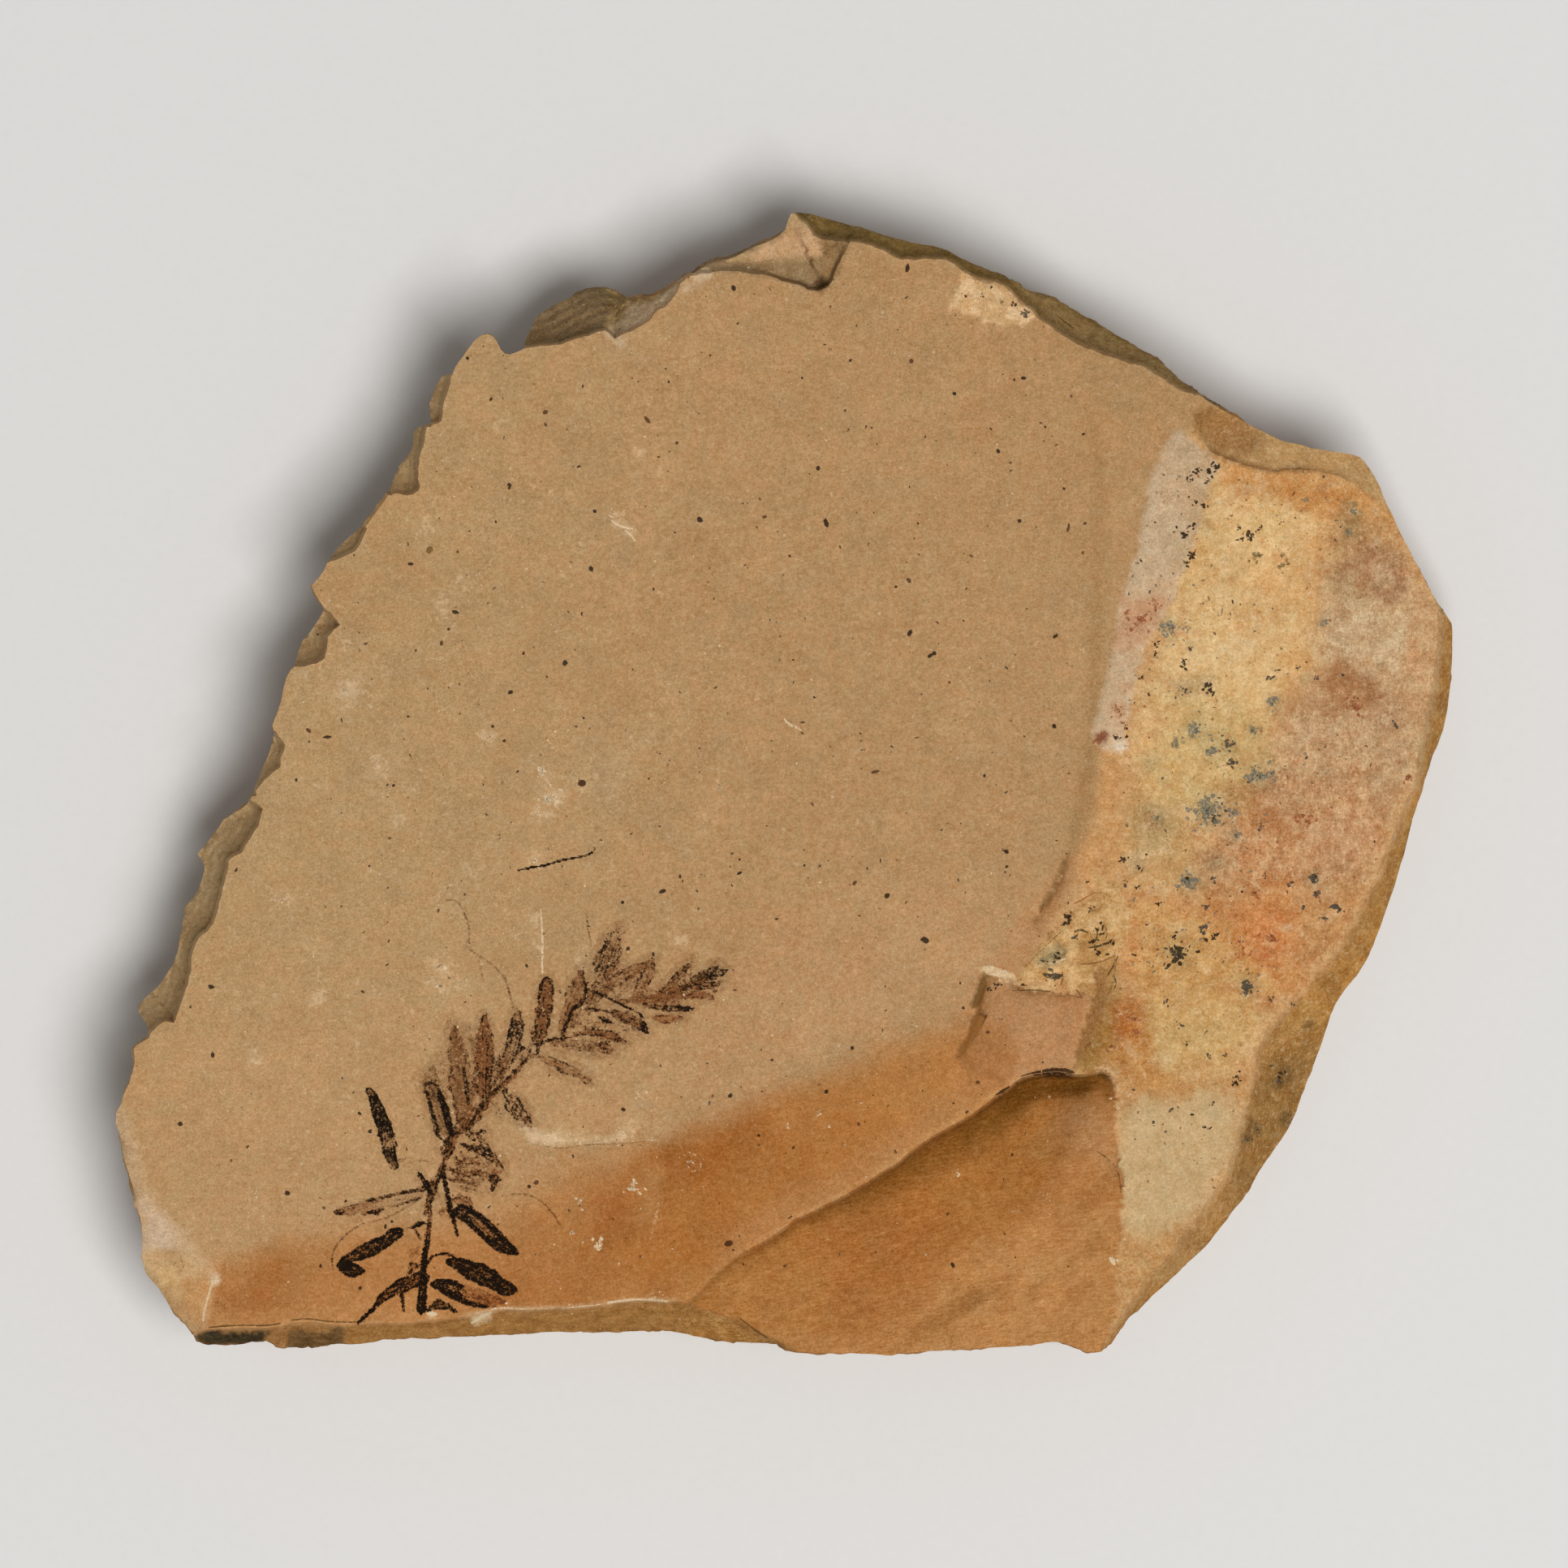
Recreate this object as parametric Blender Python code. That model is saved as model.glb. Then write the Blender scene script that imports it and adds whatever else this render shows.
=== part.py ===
"""Fossil leaf plate: a hand-sized slab of fine tan mudstone, split along its
bedding, with a carbonised conifer twig pressed on the upper bedding plane.

The slab, with the film of the twig on it, is one natural piece, so it is one
solid.  It lies on its parting plane, with the fossil up.  The upper surface is
a height over the plan: the bedding plane, less what has broken or worn away
beyond each of the lines listed below.  The rim and those lines are positions in
the photograph.  Metres, +Z up, origin at the middle of the underside.
"""
import math

import bmesh
import bpy
import numpy as np
from mathutils import Vector
from mathutils.geometry import delaunay_2d_cdt

# ---------------------------------------------------------------- positions
# Plan positions are read off the photograph, in its 1932 x 1932 pixels, with
# the eye straight above the plate.  One pixel is PX millimetres on the level of
# the upper bedding plane, and the middle pixel is over the origin.
PX = 0.1                 # mm for one pixel
MID = 966.0              # pixel over the origin, across and down
THICK = 26.0             # mm, underside to upper bedding plane
EYE = 2000.0             # mm, height of the eye above the upper bedding plane
LOWEST_RIM = 7.5         # mm, least height of the rim seen from above
CENTRE = (0.25, 0.03)    # mm, middle of the stone's box, from the middle pixel


def mm(points):
    """Pixel pairs to plan millimetres, +X right and +Y up the photograph."""
    p = np.array(points, float)
    return np.stack([(p[:, 0] - MID) * PX, (MID - p[:, 1]) * PX], 1)


# Rim of the stone as seen from above, clockwise from the peak at the top.
RIM = mm([
    (982, 261), (1000, 263), (1025, 270), (1050, 277), (1075, 284), (1100, 292),
    (1125, 298), (1150, 303), (1168, 308), (1180, 315), (1200, 325), (1225, 336),
    (1250, 349), (1275, 360), (1300, 371), (1325, 383), (1350, 396), (1375, 412),
    (1400, 427), (1425, 441), (1440, 453), (1455, 468), (1470, 481), (1485, 492),
    (1500, 501), (1520, 512), (1540, 523), (1560, 533), (1580, 542), (1600, 547),
    (1620, 552), (1645, 556), (1665, 559), (1676, 562), (1682, 568), (1690, 580),
    (1699, 595), (1706, 613), (1715, 632), (1725, 653), (1735, 673), (1745, 693),
    (1755, 712), (1765, 731), (1775, 748), (1783, 758), (1788, 768), (1790, 780),
    (1790, 800), (1789, 825), (1787, 850), (1785, 870), (1782, 885), (1779, 900),
    (1773, 915), (1766, 930), (1762, 945), (1757, 960), (1753, 975), (1746, 995),
    (1741, 1010), (1735, 1035), (1730, 1055), (1724, 1075), (1718, 1095),
    (1710, 1118), (1702, 1140), (1694, 1162), (1685, 1182), (1673, 1202),
    (1662, 1215), (1652, 1228), (1645, 1240), (1640, 1252), (1634, 1270),
    (1628, 1290), (1620, 1310), (1612, 1330), (1605, 1350), (1598, 1370),
    (1588, 1390), (1578, 1407), (1565, 1425), (1552, 1443), (1543, 1460),
    (1532, 1478), (1518, 1495), (1505, 1512), (1490, 1532), (1475, 1547),
    (1458, 1562), (1440, 1580), (1425, 1593), (1410, 1605), (1398, 1617),
    (1385, 1632), (1374, 1648), (1363, 1661), (1357, 1666), (1348, 1667),
    (1340, 1667), (1330, 1662), (1318, 1657), (1305, 1654), (1290, 1655),
    (1275, 1658), (1250, 1660), (1225, 1661), (1200, 1662), (1175, 1664),
    (1150, 1665), (1125, 1667), (1110, 1668), (1100, 1671), (1090, 1671),
    (1080, 1670), (1068, 1669), (1050, 1668), (1025, 1668), (1000, 1667),
    (980, 1665), (968, 1661), (960, 1657), (950, 1656), (930, 1655), (900, 1654),
    (885, 1653), (870, 1650), (855, 1647), (840, 1643), (820, 1640), (800, 1641),
    (780, 1641), (760, 1642), (730, 1642), (700, 1642), (675, 1642), (650, 1644),
    (620, 1645), (600, 1646), (570, 1648), (540, 1648), (510, 1649), (490, 1650),
    (475, 1651), (460, 1654), (445, 1657), (430, 1657), (415, 1657), (400, 1658),
    (380, 1659), (360, 1661), (350, 1661), (340, 1660), (334, 1656), (328, 1653),
    (310, 1653), (290, 1654), (270, 1655), (258, 1654), (250, 1652), (243, 1650),
    (237, 1642), (228, 1632), (218, 1621), (210, 1612), (203, 1601), (195, 1588),
    (185, 1577), (180, 1571), (176, 1560), (174, 1548), (174, 1530), (174, 1515),
    (172, 1500), (168, 1485), (165, 1470), (160, 1452), (153, 1430), (149, 1410),
    (146, 1395), (142, 1385), (142, 1372), (148, 1360), (152, 1348), (158, 1335),
    (163, 1320), (165, 1305), (164, 1292), (168, 1287), (180, 1280), (182, 1270),
    (180, 1263), (174, 1254), (170, 1247), (169, 1240), (172, 1235), (182, 1226),
    (192, 1217), (202, 1205), (211, 1190), (218, 1173), (222, 1155), (225, 1135),
    (227, 1118), (230, 1115), (240, 1103), (248, 1085), (251, 1072), (250, 1065),
    (243, 1052), (250, 1043), (262, 1030), (275, 1010), (285, 1003), (300, 994),
    (308, 985), (315, 965), (323, 945), (332, 925), (338, 903), (335, 893),
    (340, 880), (345, 865), (348, 850), (352, 835), (357, 825), (362, 821),
    (366, 805), (372, 790), (382, 778), (392, 763), (400, 750), (394, 742),
    (388, 733), (383, 722), (388, 716), (398, 703), (404, 690), (415, 675),
    (430, 660), (441, 653), (450, 649), (460, 635), (472, 618), (480, 606),
    (487, 590), (495, 576), (503, 565), (509, 555), (511, 545), (510, 533),
    (514, 527), (524, 523), (531, 520), (529, 508), (529, 498), (533, 483),
    (538, 471), (543, 464), (550, 461), (557, 461), (560, 453), (566, 443),
    (574, 433), (582, 421), (592, 413), (600, 411), (607, 413), (612, 420),
    (617, 430), (622, 435), (628, 436), (636, 433), (645, 429), (646, 420),
    (652, 408), (660, 392), (668, 384), (685, 374), (700, 367), (710, 359),
    (722, 355), (735, 354), (748, 355), (760, 359), (770, 366), (778, 370),
    (790, 367), (805, 364), (815, 361), (825, 354), (835, 345), (845, 338),
    (855, 336), (862, 331), (880, 324), (900, 318), (915, 311), (930, 303),
    (950, 295), (960, 289), (967, 282), (970, 271), (974, 263),
])

# Edge of the uppermost layer along the top left and the left.  Where this layer
# itself is the rim, the line runs just outside the rim.
LEFT_EDGE = mm([
    (1047, 297), (1042, 306), (1037, 317), (1031, 332), (1026, 345), (1021, 353),
    (1008, 358), (995, 357), (987, 352), (975, 349), (963, 347), (955, 342),
    (935, 338), (910, 335), (885, 335), (870, 338), (857, 337), (848, 340),
    (838, 350), (836, 360), (828, 370), (820, 378), (810, 382), (800, 395),
    (790, 401), (778, 408), (765, 413), (757, 418), (752, 412), (745, 407),
    (735, 410), (725, 415), (712, 417), (703, 420), (690, 425), (670, 426),
    (650, 428), (636, 432), (626, 428), (618, 415), (608, 402), (590, 401),
    (575, 412), (560, 433), (551, 452), (556, 464), (553, 478), (550, 490),
    (547, 500), (545, 510), (543, 518), (538, 522), (530, 523), (526, 526),
    (524, 535), (522, 545), (519, 560), (516, 575), (515, 590), (518, 600),
    (516, 605), (508, 609), (498, 610), (488, 608), (481, 610), (472, 604),
    (460, 618), (448, 636), (441, 646), (452, 651), (449, 660), (444, 670),
    (438, 680), (425, 685), (412, 690), (404, 692), (394, 692), (380, 708),
    (373, 722), (380, 740), (390, 754), (401, 751), (410, 758), (419, 770),
    (412, 776), (404, 785), (403, 800), (401, 811), (390, 818), (375, 821),
    (362, 822), (352, 818), (340, 835), (332, 865), (325, 893), (330, 905),
    (340, 901), (346, 910), (350, 917), (348, 930), (345, 945), (338, 951),
    (330, 958), (323, 966), (316, 975), (307, 986), (316, 990), (324, 997),
    (322, 1005), (319, 1018), (312, 1027), (304, 1038), (298, 1050), (288, 1055),
    (282, 1061), (280, 1075), (276, 1090), (272, 1108), (268, 1122), (262, 1138),
    (256, 1147), (246, 1155), (240, 1165), (236, 1180), (236, 1195), (232, 1210),
    (227, 1225), (222, 1240), (218, 1253), (214, 1260), (205, 1258), (196, 1262),
    (188, 1270), (180, 1281), (164, 1277), (154, 1290), (156, 1310), (148, 1335),
    (136, 1355), (130, 1385),
])
LEFT_EDGE_AROUND = mm([(130, 1700), (0, 1700), (0, 100), (1047, 100)])
# Photograph position along the edge: how far the layer drops at once, in mm, and
# how steeply the broken face then falls away to the rim.
LEFT_EDGE_DROPS = [
    ((1047, 297), 0.5, 0.30), ((1008, 358), 3.0, -0.25), ((955, 342), 2.2, 0.10),
    ((885, 335), 1.6, 0.90), ((838, 350), 0.6, 1.50), ((790, 401), 0.8, 1.40),
    ((725, 415), 3.0, 0.95), ((650, 428), 4.5, 0.95), ((553, 478), 3.2, 1.25),
    ((515, 590), 3.4, 1.30), ((444, 670), 3.0, 1.30), ((410, 758), 3.6, 1.20),
    ((403, 800), 4.0, 1.20), ((348, 930), 3.2, 1.40), ((322, 1005), 4.2, 1.10),
    ((276, 1090), 4.6, 1.20), ((240, 1165), 4.2, 1.20), ((222, 1240), 5.0, 1.10),
    ((196, 1262), 4.2, 1.20), ((130, 1385), 3.0, 1.20),
]

# Lower edge of the steep dark face along the top right.
TOP_EDGE = mm([
    (974, 254), (986, 272), (997, 281), (1003, 289), (1012, 294), (1028, 297),
    (1047, 297), (1062, 299), (1076, 303), (1088, 309), (1099, 315), (1112, 319),
    (1130, 321), (1148, 319), (1165, 319), (1176, 325), (1186, 333), (1200, 341),
    (1213, 346), (1225, 348), (1240, 355), (1252, 365), (1260, 374), (1268, 381),
    (1277, 390), (1290, 400), (1302, 409), (1320, 420), (1340, 430), (1360, 437),
    (1380, 443), (1400, 449), (1420, 458), (1435, 468), (1447, 477), (1462, 483),
    (1476, 487), (1488, 493), (1502, 498),
])
TOP_EDGE_AROUND = mm([(1560, 480), (1560, 100), (960, 100)])

# Inner line of the brown bevel at the upper right corner.
BEVEL_EDGE = mm([
    (1497, 492), (1488, 506), (1480, 520), (1478, 535), (1484, 547), (1496, 557),
    (1510, 566), (1530, 572), (1550, 576), (1575, 580), (1600, 579), (1625, 581),
    (1650, 587), (1672, 598), (1688, 612), (1710, 632),
])
BEVEL_EDGE_AROUND = mm([(1800, 600), (1700, 400), (1520, 420)])

# Line where the upper bedding plane turns down into the old weathered face that
# makes the right third of the plate.
TURN = mm([
    (1505, 478), (1478, 505), (1450, 530), (1428, 585), (1410, 640), (1397, 700),
    (1380, 770), (1362, 840), (1350, 890), (1343, 935), (1347, 985), (1338, 1030),
    (1318, 1060), (1297, 1105), (1272, 1155), (1252, 1200), (1248, 1260),
    (1235, 1330), (1238, 1400), (1250, 1500), (1270, 1580), (1290, 1720),
])
TURN_AROUND = mm([(1950, 1720), (1950, 380), (1505, 380)])

# Ridge between the weathered face and the broken face along the right side.
RIDGE = mm([
    (1752, 690), (1762, 715), (1770, 742), (1773, 770), (1771, 800), (1767, 835),
    (1762, 860), (1755, 885), (1750, 915), (1747, 945), (1742, 968), (1732, 990),
    (1722, 1012), (1712, 1040), (1702, 1062), (1697, 1078), (1688, 1090),
    (1680, 1103), (1674, 1120), (1666, 1140), (1650, 1165), (1630, 1190),
    (1605, 1215), (1582, 1243), (1562, 1268), (1550, 1293), (1544, 1325),
    (1534, 1358), (1525, 1392), (1515, 1420), (1508, 1448), (1495, 1472),
    (1480, 1495), (1462, 1515), (1445, 1538), (1425, 1562), (1408, 1583),
    (1392, 1605), (1377, 1628), (1364, 1648), (1355, 1668), (1350, 1690),
])
RIDGE_AROUND = mm([(1950, 1720), (1950, 690)])
RIDGE_FALLS = [
    ((1752, 690), 1.2), ((1767, 835), 1.9), ((1747, 945), 2.2), ((1702, 1062), 2.0),
    ((1666, 1140), 1.1), ((1605, 1215), 0.85), ((1550, 1293), 1.3),
    ((1525, 1392), 1.6), ((1480, 1495), 1.9), ((1408, 1583), 2.4),
    ((1350, 1690), 2.6),
]

# Worn pale corner at the lower left.
CORNER = mm([
    (146, 1345), (155, 1375), (163, 1405), (170, 1435), (176, 1462), (184, 1485),
    (198, 1500), (215, 1515), (232, 1535), (248, 1553), (262, 1572), (258, 1590),
    (254, 1610), (251, 1632), (248, 1645), (244, 1670),
])
CORNER_AROUND = mm([(100, 1700), (60, 1345)])

# Lower edge of the bedding plane along the bottom of the photograph.
FOOT_EDGE = mm([
    (236, 1652), (243, 1642), (255, 1638), (275, 1637), (300, 1636), (330, 1636),
    (345, 1634), (356, 1630), (380, 1628), (402, 1631), (428, 1632), (470, 1630),
    (510, 1628), (545, 1625), (575, 1622), (598, 1616), (615, 1613), (650, 1613),
    (700, 1611), (730, 1609), (760, 1604), (785, 1601), (805, 1601), (830, 1603),
    (850, 1606), (870, 1613), (890, 1619), (905, 1624), (918, 1632), (935, 1641),
    (952, 1649), (966, 1656), (975, 1670), (985, 1700),
])
FOOT_EDGE_AROUND = mm([(985, 1760), (200, 1760)])
FOOT_FALLS = [
    ((236, 1652), 1.2, 2.6), ((345, 1634), 0.7, 2.4), ((428, 1632), 0.3, 2.2),
    ((575, 1622), 0.5, 2.2), ((700, 1611), 0.7, 2.2), ((805, 1601), 0.7, 2.0),
    ((850, 1606), 0.5, 1.4), ((905, 1624), 0.5, 1.1), ((966, 1656), 1.0, 1.6),
]

# Deep scar at the lower right: the layer above it has broken away along SCAR.
SCAR = mm([
    (845, 1606), (850, 1600), (857, 1594), (866, 1584), (876, 1573), (890, 1561),
    (905, 1549), (918, 1541), (933, 1534), (950, 1524), (965, 1513), (978, 1503),
    (1000, 1493), (1015, 1485), (1030, 1478), (1050, 1467), (1066, 1458),
    (1080, 1448), (1098, 1437), (1110, 1428), (1121, 1419), (1135, 1409),
    (1150, 1399), (1165, 1391), (1180, 1382), (1195, 1374), (1210, 1363),
    (1225, 1352), (1240, 1343), (1250, 1334), (1260, 1327), (1275, 1323),
    (1292, 1321), (1310, 1321), (1325, 1323), (1345, 1323), (1358, 1319),
    (1366, 1322), (1372, 1330), (1376, 1343),
])
SCAR_SIDE = mm([
    (1376, 1343), (1375, 1370), (1374, 1400), (1377, 1425), (1381, 1450),
    (1382, 1480), (1382, 1510), (1379, 1540), (1376, 1570), (1376, 1600),
    (1372, 1630), (1362, 1660), (1360, 1690),
])
SCAR_AROUND = mm([(1360, 1760), (870, 1760), (846, 1700), (838, 1640), (840, 1612)])
# Photograph position along SCAR: depth in mm, and the reach in mm of the hollow
# curve from the edge down to the floor.
SCAR_DEPTHS = [
    ((845, 1606), 0.1, 1.4), ((890, 1561), 1.2, 1.6), ((950, 1524), 2.3, 1.8),
    ((1000, 1493), 3.2, 2.0), ((1098, 1437), 4.2, 2.4), ((1180, 1382), 5.0, 2.4),
    ((1225, 1352), 5.4, 1.6), ((1260, 1327), 5.6, 0.9), ((1325, 1323), 5.4, 0.8),
    ((1358, 1319), 3.8, 0.8), ((1376, 1343), 1.8, 0.8),
]

# Short steps within the open faces: photograph line (the surface is lower on
# its left-hand side, walking along it), deepest drop in mm, plan width of the
# riser in mm, and how far to the side the drop fades out in mm.
STEPS = [
    # two risers where the bedding plane breaks down towards the weathered face
    ([(1319, 1048), (1313, 1060), (1306, 1078), (1298, 1096), (1288, 1112),
      (1279, 1127), (1270, 1142)], 1.0, 0.75, 5.0),
    ([(1218, 1192), (1216, 1202), (1209, 1220), (1203, 1236), (1199, 1252),
      (1191, 1272), (1184, 1290), (1176, 1306)], 1.3, 0.85, 9.0),
    ([(1219, 1244), (1212, 1256), (1204, 1268), (1197, 1280)], 0.35, 0.45, 3.0),
    # crumbled rind above the lower right scar
    ([(1343, 1222), (1330, 1226), (1312, 1225), (1290, 1222), (1268, 1221),
      (1249, 1214), (1243, 1200)], 0.8, 0.6, 5.0),
    ([(1356, 1098), (1341, 1112), (1328, 1122), (1314, 1134), (1301, 1147),
      (1285, 1163), (1270, 1180), (1258, 1198)], 0.4, 0.4, 3.0),
    # steeper strip beside the scar's upper corner
    ([(1352, 1186), (1349, 1206), (1346, 1226), (1340, 1250), (1335, 1270),
      (1327, 1298), (1322, 1320)], 1.0, 2.4, 8.0),
    # slight break of slope across the scar's floor
    ([(1290, 1474), (1268, 1502), (1240, 1530), (1205, 1566), (1170, 1590),
      (1130, 1618), (1096, 1648)], 0.45, 2.5, 9.0),
    # shallow lip crossing the bedding plane right of the twig
    ([(804, 1402), (770, 1405), (735, 1409), (700, 1412), (670, 1411),
      (652, 1405), (640, 1394)], 0.25, 0.5, 9.0),
    # flake missing in the scar's upper right corner
    ([(1381, 1474), (1380, 1452), (1374, 1438), (1362, 1428), (1350, 1418)],
     0.45, 0.5, 3.0),
]


# ---------------------------------------------------------------- measuring
def along(line):
    """Running length at each point of a line."""
    return np.concatenate([[0], np.cumsum(np.hypot(*np.diff(line, axis=0).T))])


def nearest(points, line):
    """Distance from each point to a line, and how far along it that is."""
    runs = along(line)
    best = np.full(len(points), 1e9)
    where = np.zeros(len(points))
    for a, b, run in zip(line[:-1], line[1:], runs[:-1]):
        ab = b - a
        length = math.hypot(*ab)
        if length < 1e-9:
            continue
        t = np.clip(((points - a) @ ab) / length**2, 0, 1)
        gap = np.hypot(*(points - a - t[:, None] * ab).T)
        closer = gap < best
        best[closer] = gap[closer]
        where[closer] = run + t[closer] * length
    return best, where


def inside(points, polygon):
    """True for the points inside a closed polygon."""
    x, y = points.T
    result = np.zeros(len(points), bool)
    for (x0, y0), (x1, y1) in zip(polygon, np.roll(polygon, -1, axis=0)):
        if y0 == y1:
            continue
        crosses = (y0 > y) != (y1 > y)
        result ^= crosses & (x < (x1 - x0) * (y - y0) / (y1 - y0) + x0)
    return result


def beyond(points, line, around):
    """How far each point lies past a line, 0 on its near side, and how far along."""
    gap, where = nearest(points, line)
    return np.where(inside(points, np.concatenate([line, around])), gap, 0.0), where


def table(line, rows, column):
    """A value listed at some points of a line, as a function of running length."""
    spots = mm([r[0] for r in rows])
    at = nearest(spots, line)[1]
    order = np.argsort(at)
    values = np.array([r[column] for r in rows], float)
    return lambda where: np.interp(where, at[order], values[order])


def ease(t):
    t = np.clip(t, 0, 1)
    return t * t * (3 - 2 * t)


CLIFF = 0.3              # mm, plan width of a sudden drop


def step(points, line, drop, width, fade):
    """How far a short step lowers the surface at each point."""
    line = mm(line)
    gap, where = nearest(points, line)
    low, high = line.min(0) - 4 * fade, line.max(0) + 4 * fade
    near = ((points > low) & (points < high)).all(1)
    runs = along(line)
    k = np.clip(np.searchsorted(runs, where, side="right") - 1, 0, len(line) - 2)
    ab = line[k + 1] - line[k]
    ap = points - line[k]
    left = ab[:, 0] * ap[:, 1] - ab[:, 1] * ap[:, 0] > 0
    t = where / runs[-1]
    taper = np.sqrt(np.clip(4 * t * (1 - t), 0, 1))
    return np.where(near & left,
                    drop * taper * ease(gap / width) * np.exp(-(gap / fade) ** 1.5), 0.0)


def height(points):
    """Height in mm of the stone's upper surface at plan points in mm."""
    x, y = points.T
    z = THICK + 0.12 * np.sin(x / 19 + 0.6) * np.cos(y / 23) - 0.00006 * (x + 20) ** 2
    # weathered face on the right
    d, _ = beyond(points, TURN, TURN_AROUND)
    z -= 0.25 * d * d / (d + 4.0)
    # bevel at the upper right corner
    d, _ = beyond(points, BEVEL_EDGE, BEVEL_EDGE_AROUND)
    z -= 0.25 * ease(d / CLIFF) + 0.62 * d
    # scar at the lower right
    d, s = beyond(points, SCAR, np.concatenate([SCAR_SIDE, SCAR_AROUND]))
    side, _ = nearest(points, SCAR_SIDE)
    depth = table(SCAR, SCAR_DEPTHS, 1)(s)
    fade = 0.1 + 0.9 * ease(side / 10.0)
    hollow = table(SCAR, SCAR_DEPTHS, 2)(s)
    z -= depth * fade * (1 - np.exp(-d / hollow)) * (1 - 0.25 * ease((d - 5) / 18))
    near_scar, _ = nearest(points, SCAR)
    z -= 0.3 * np.exp(-near_scar / 1.2)
    # broken face along the right side
    d, s = beyond(points, RIDGE, RIDGE_AROUND)
    z -= table(RIDGE, RIDGE_FALLS, 1)(s) * d
    # worn corner at the lower left
    d, _ = beyond(points, CORNER, CORNER_AROUND)
    z -= 0.55 * d + 0.03 * d * d
    # edge along the bottom
    d, s = beyond(points, FOOT_EDGE, FOOT_EDGE_AROUND)
    z -= table(FOOT_EDGE, FOOT_FALLS, 1)(s) * ease(d / CLIFF)
    z -= table(FOOT_EDGE, FOOT_FALLS, 2)(s) * d
    # steep face along the top right
    d, s = beyond(points, TOP_EDGE, TOP_EDGE_AROUND)
    z -= 0.8 * ease(d / CLIFF) + 2.3 * d
    for line, drop, width, reach in STEPS:
        z -= step(points, line, drop, width, reach)
    # layers broken back along the top left and the left
    d, s = beyond(points, LEFT_EDGE, LEFT_EDGE_AROUND)
    z -= table(LEFT_EDGE, LEFT_EDGE_DROPS, 1)(s) * ease(d / CLIFF)
    z -= table(LEFT_EDGE, LEFT_EDGE_DROPS, 2)(s) * d
    return np.maximum(z, LOWEST_RIM)


# The underside is the parting plane that the plate lies on, with two shallow
# scars where a flake has come away.
UNDER_SCARS = [
    (mm([(520, 700), (610, 640), (700, 655), (760, 600), (860, 590), (900, 480),
         (860, 300), (500, 300), (300, 600), (330, 860), (420, 800), (455, 730)]), 0.9),
    (mm([(1290, 1120), (1360, 1060), (1440, 1075), (1500, 1010), (1620, 1000),
         (1760, 940), (1800, 1300), (1600, 1500), (1400, 1600), (1180, 1700),
         (1150, 1520), (1200, 1440), (1190, 1340), (1250, 1260), (1245, 1180)]), 1.3),
]


def underside(points):
    """Height in mm of the underside: 0 on the parting plane."""
    z = np.zeros(len(points))
    for scar, depth in UNDER_SCARS:
        closed = np.concatenate([scar, scar[:1]])
        d = np.where(inside(points, scar), nearest(points, closed)[0], 0.0)
        z = np.maximum(z, depth * ease(d / 0.5) * (0.75 + 0.25 * ease(d / 12)))
    return z


def resample(line, step, closed=False):
    """The line with a point about every step mm, its own corners kept."""
    if closed:
        line = np.concatenate([line, line[:1]])
    made = []
    for a, b in zip(line[:-1], line[1:]):
        n = max(1, round(math.hypot(*(b - a)) / step))
        made += [a + (b - a) * k / n for k in range(n)]
    if not closed:
        made.append(line[-1])
    return np.array(made)


def smooth_closed(ring, reach, count=720):
    """A closed ring at even spacing, rounded over reach mm, and its total length."""
    closed = np.concatenate([ring, ring[:1]])
    runs = along(closed)
    even = np.linspace(0, runs[-1], count, endpoint=False)
    curve = np.stack([np.interp(even, runs, closed[:, k]) for k in (0, 1)], 1)
    step = runs[-1] / count
    half = int(3 * reach / step)
    weights = np.exp(-0.5 * (np.arange(-half, half + 1) * step / reach) ** 2)
    weights /= weights.sum()
    return np.stack([
        sum(w * np.roll(curve[:, k], j) for j, w in zip(range(-half, half + 1), weights))
        for k in (0, 1)], 1), runs[-1]


# The broken side.  Below the rim the stone is cut back, more at some beds than at
# others.  A bed starts at a height in mm, and is cut back by up to so many mm, in
# a way that changes round the rim: waves round the rim, and their phase.
BEDS = [
    (22.6, 0.55, 9, 0.3), (20.3, -0.35, 5, 1.9), (17.9, 0.80, 7, 2.6),
    (15.2, 0.45, 13, 4.4), (12.4, -0.55, 6, 0.9), (10.1, 0.85, 8, 3.7),
    (7.2, 0.50, 11, 5.6), (4.6, -0.40, 5, 2.2),
]
# Scoops broken out of the side: share of the way round the rim, height in mm,
# half width and half height in mm, depth in mm.
SCOOPS = [
    (0.035, 12, 13, 10, 1.6), (0.095, 6, 9, 7, 1.3), (0.16, 14, 12, 8, 1.8),
    (0.225, 5, 14, 8, 1.5), (0.33, 8, 13, 7, 1.4), (0.385, 4, 9, 6, 1.2),
    (0.445, 10, 15, 9, 2.0), (0.53, 13, 12, 9, 1.7), (0.575, 6, 10, 8, 1.4),
    (0.64, 12, 16, 10, 2.1), (0.70, 5, 10, 7, 1.4), (0.745, 11, 11, 8, 1.6),
    (0.80, 6, 13, 8, 1.8), (0.86, 12, 10, 9, 1.5), (0.915, 5, 12, 8, 1.5),
    (0.965, 9, 9, 8, 1.3),
]
CUT_BACK = 3.0           # mm, how far the underside's edge is within the rounded rim


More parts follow.
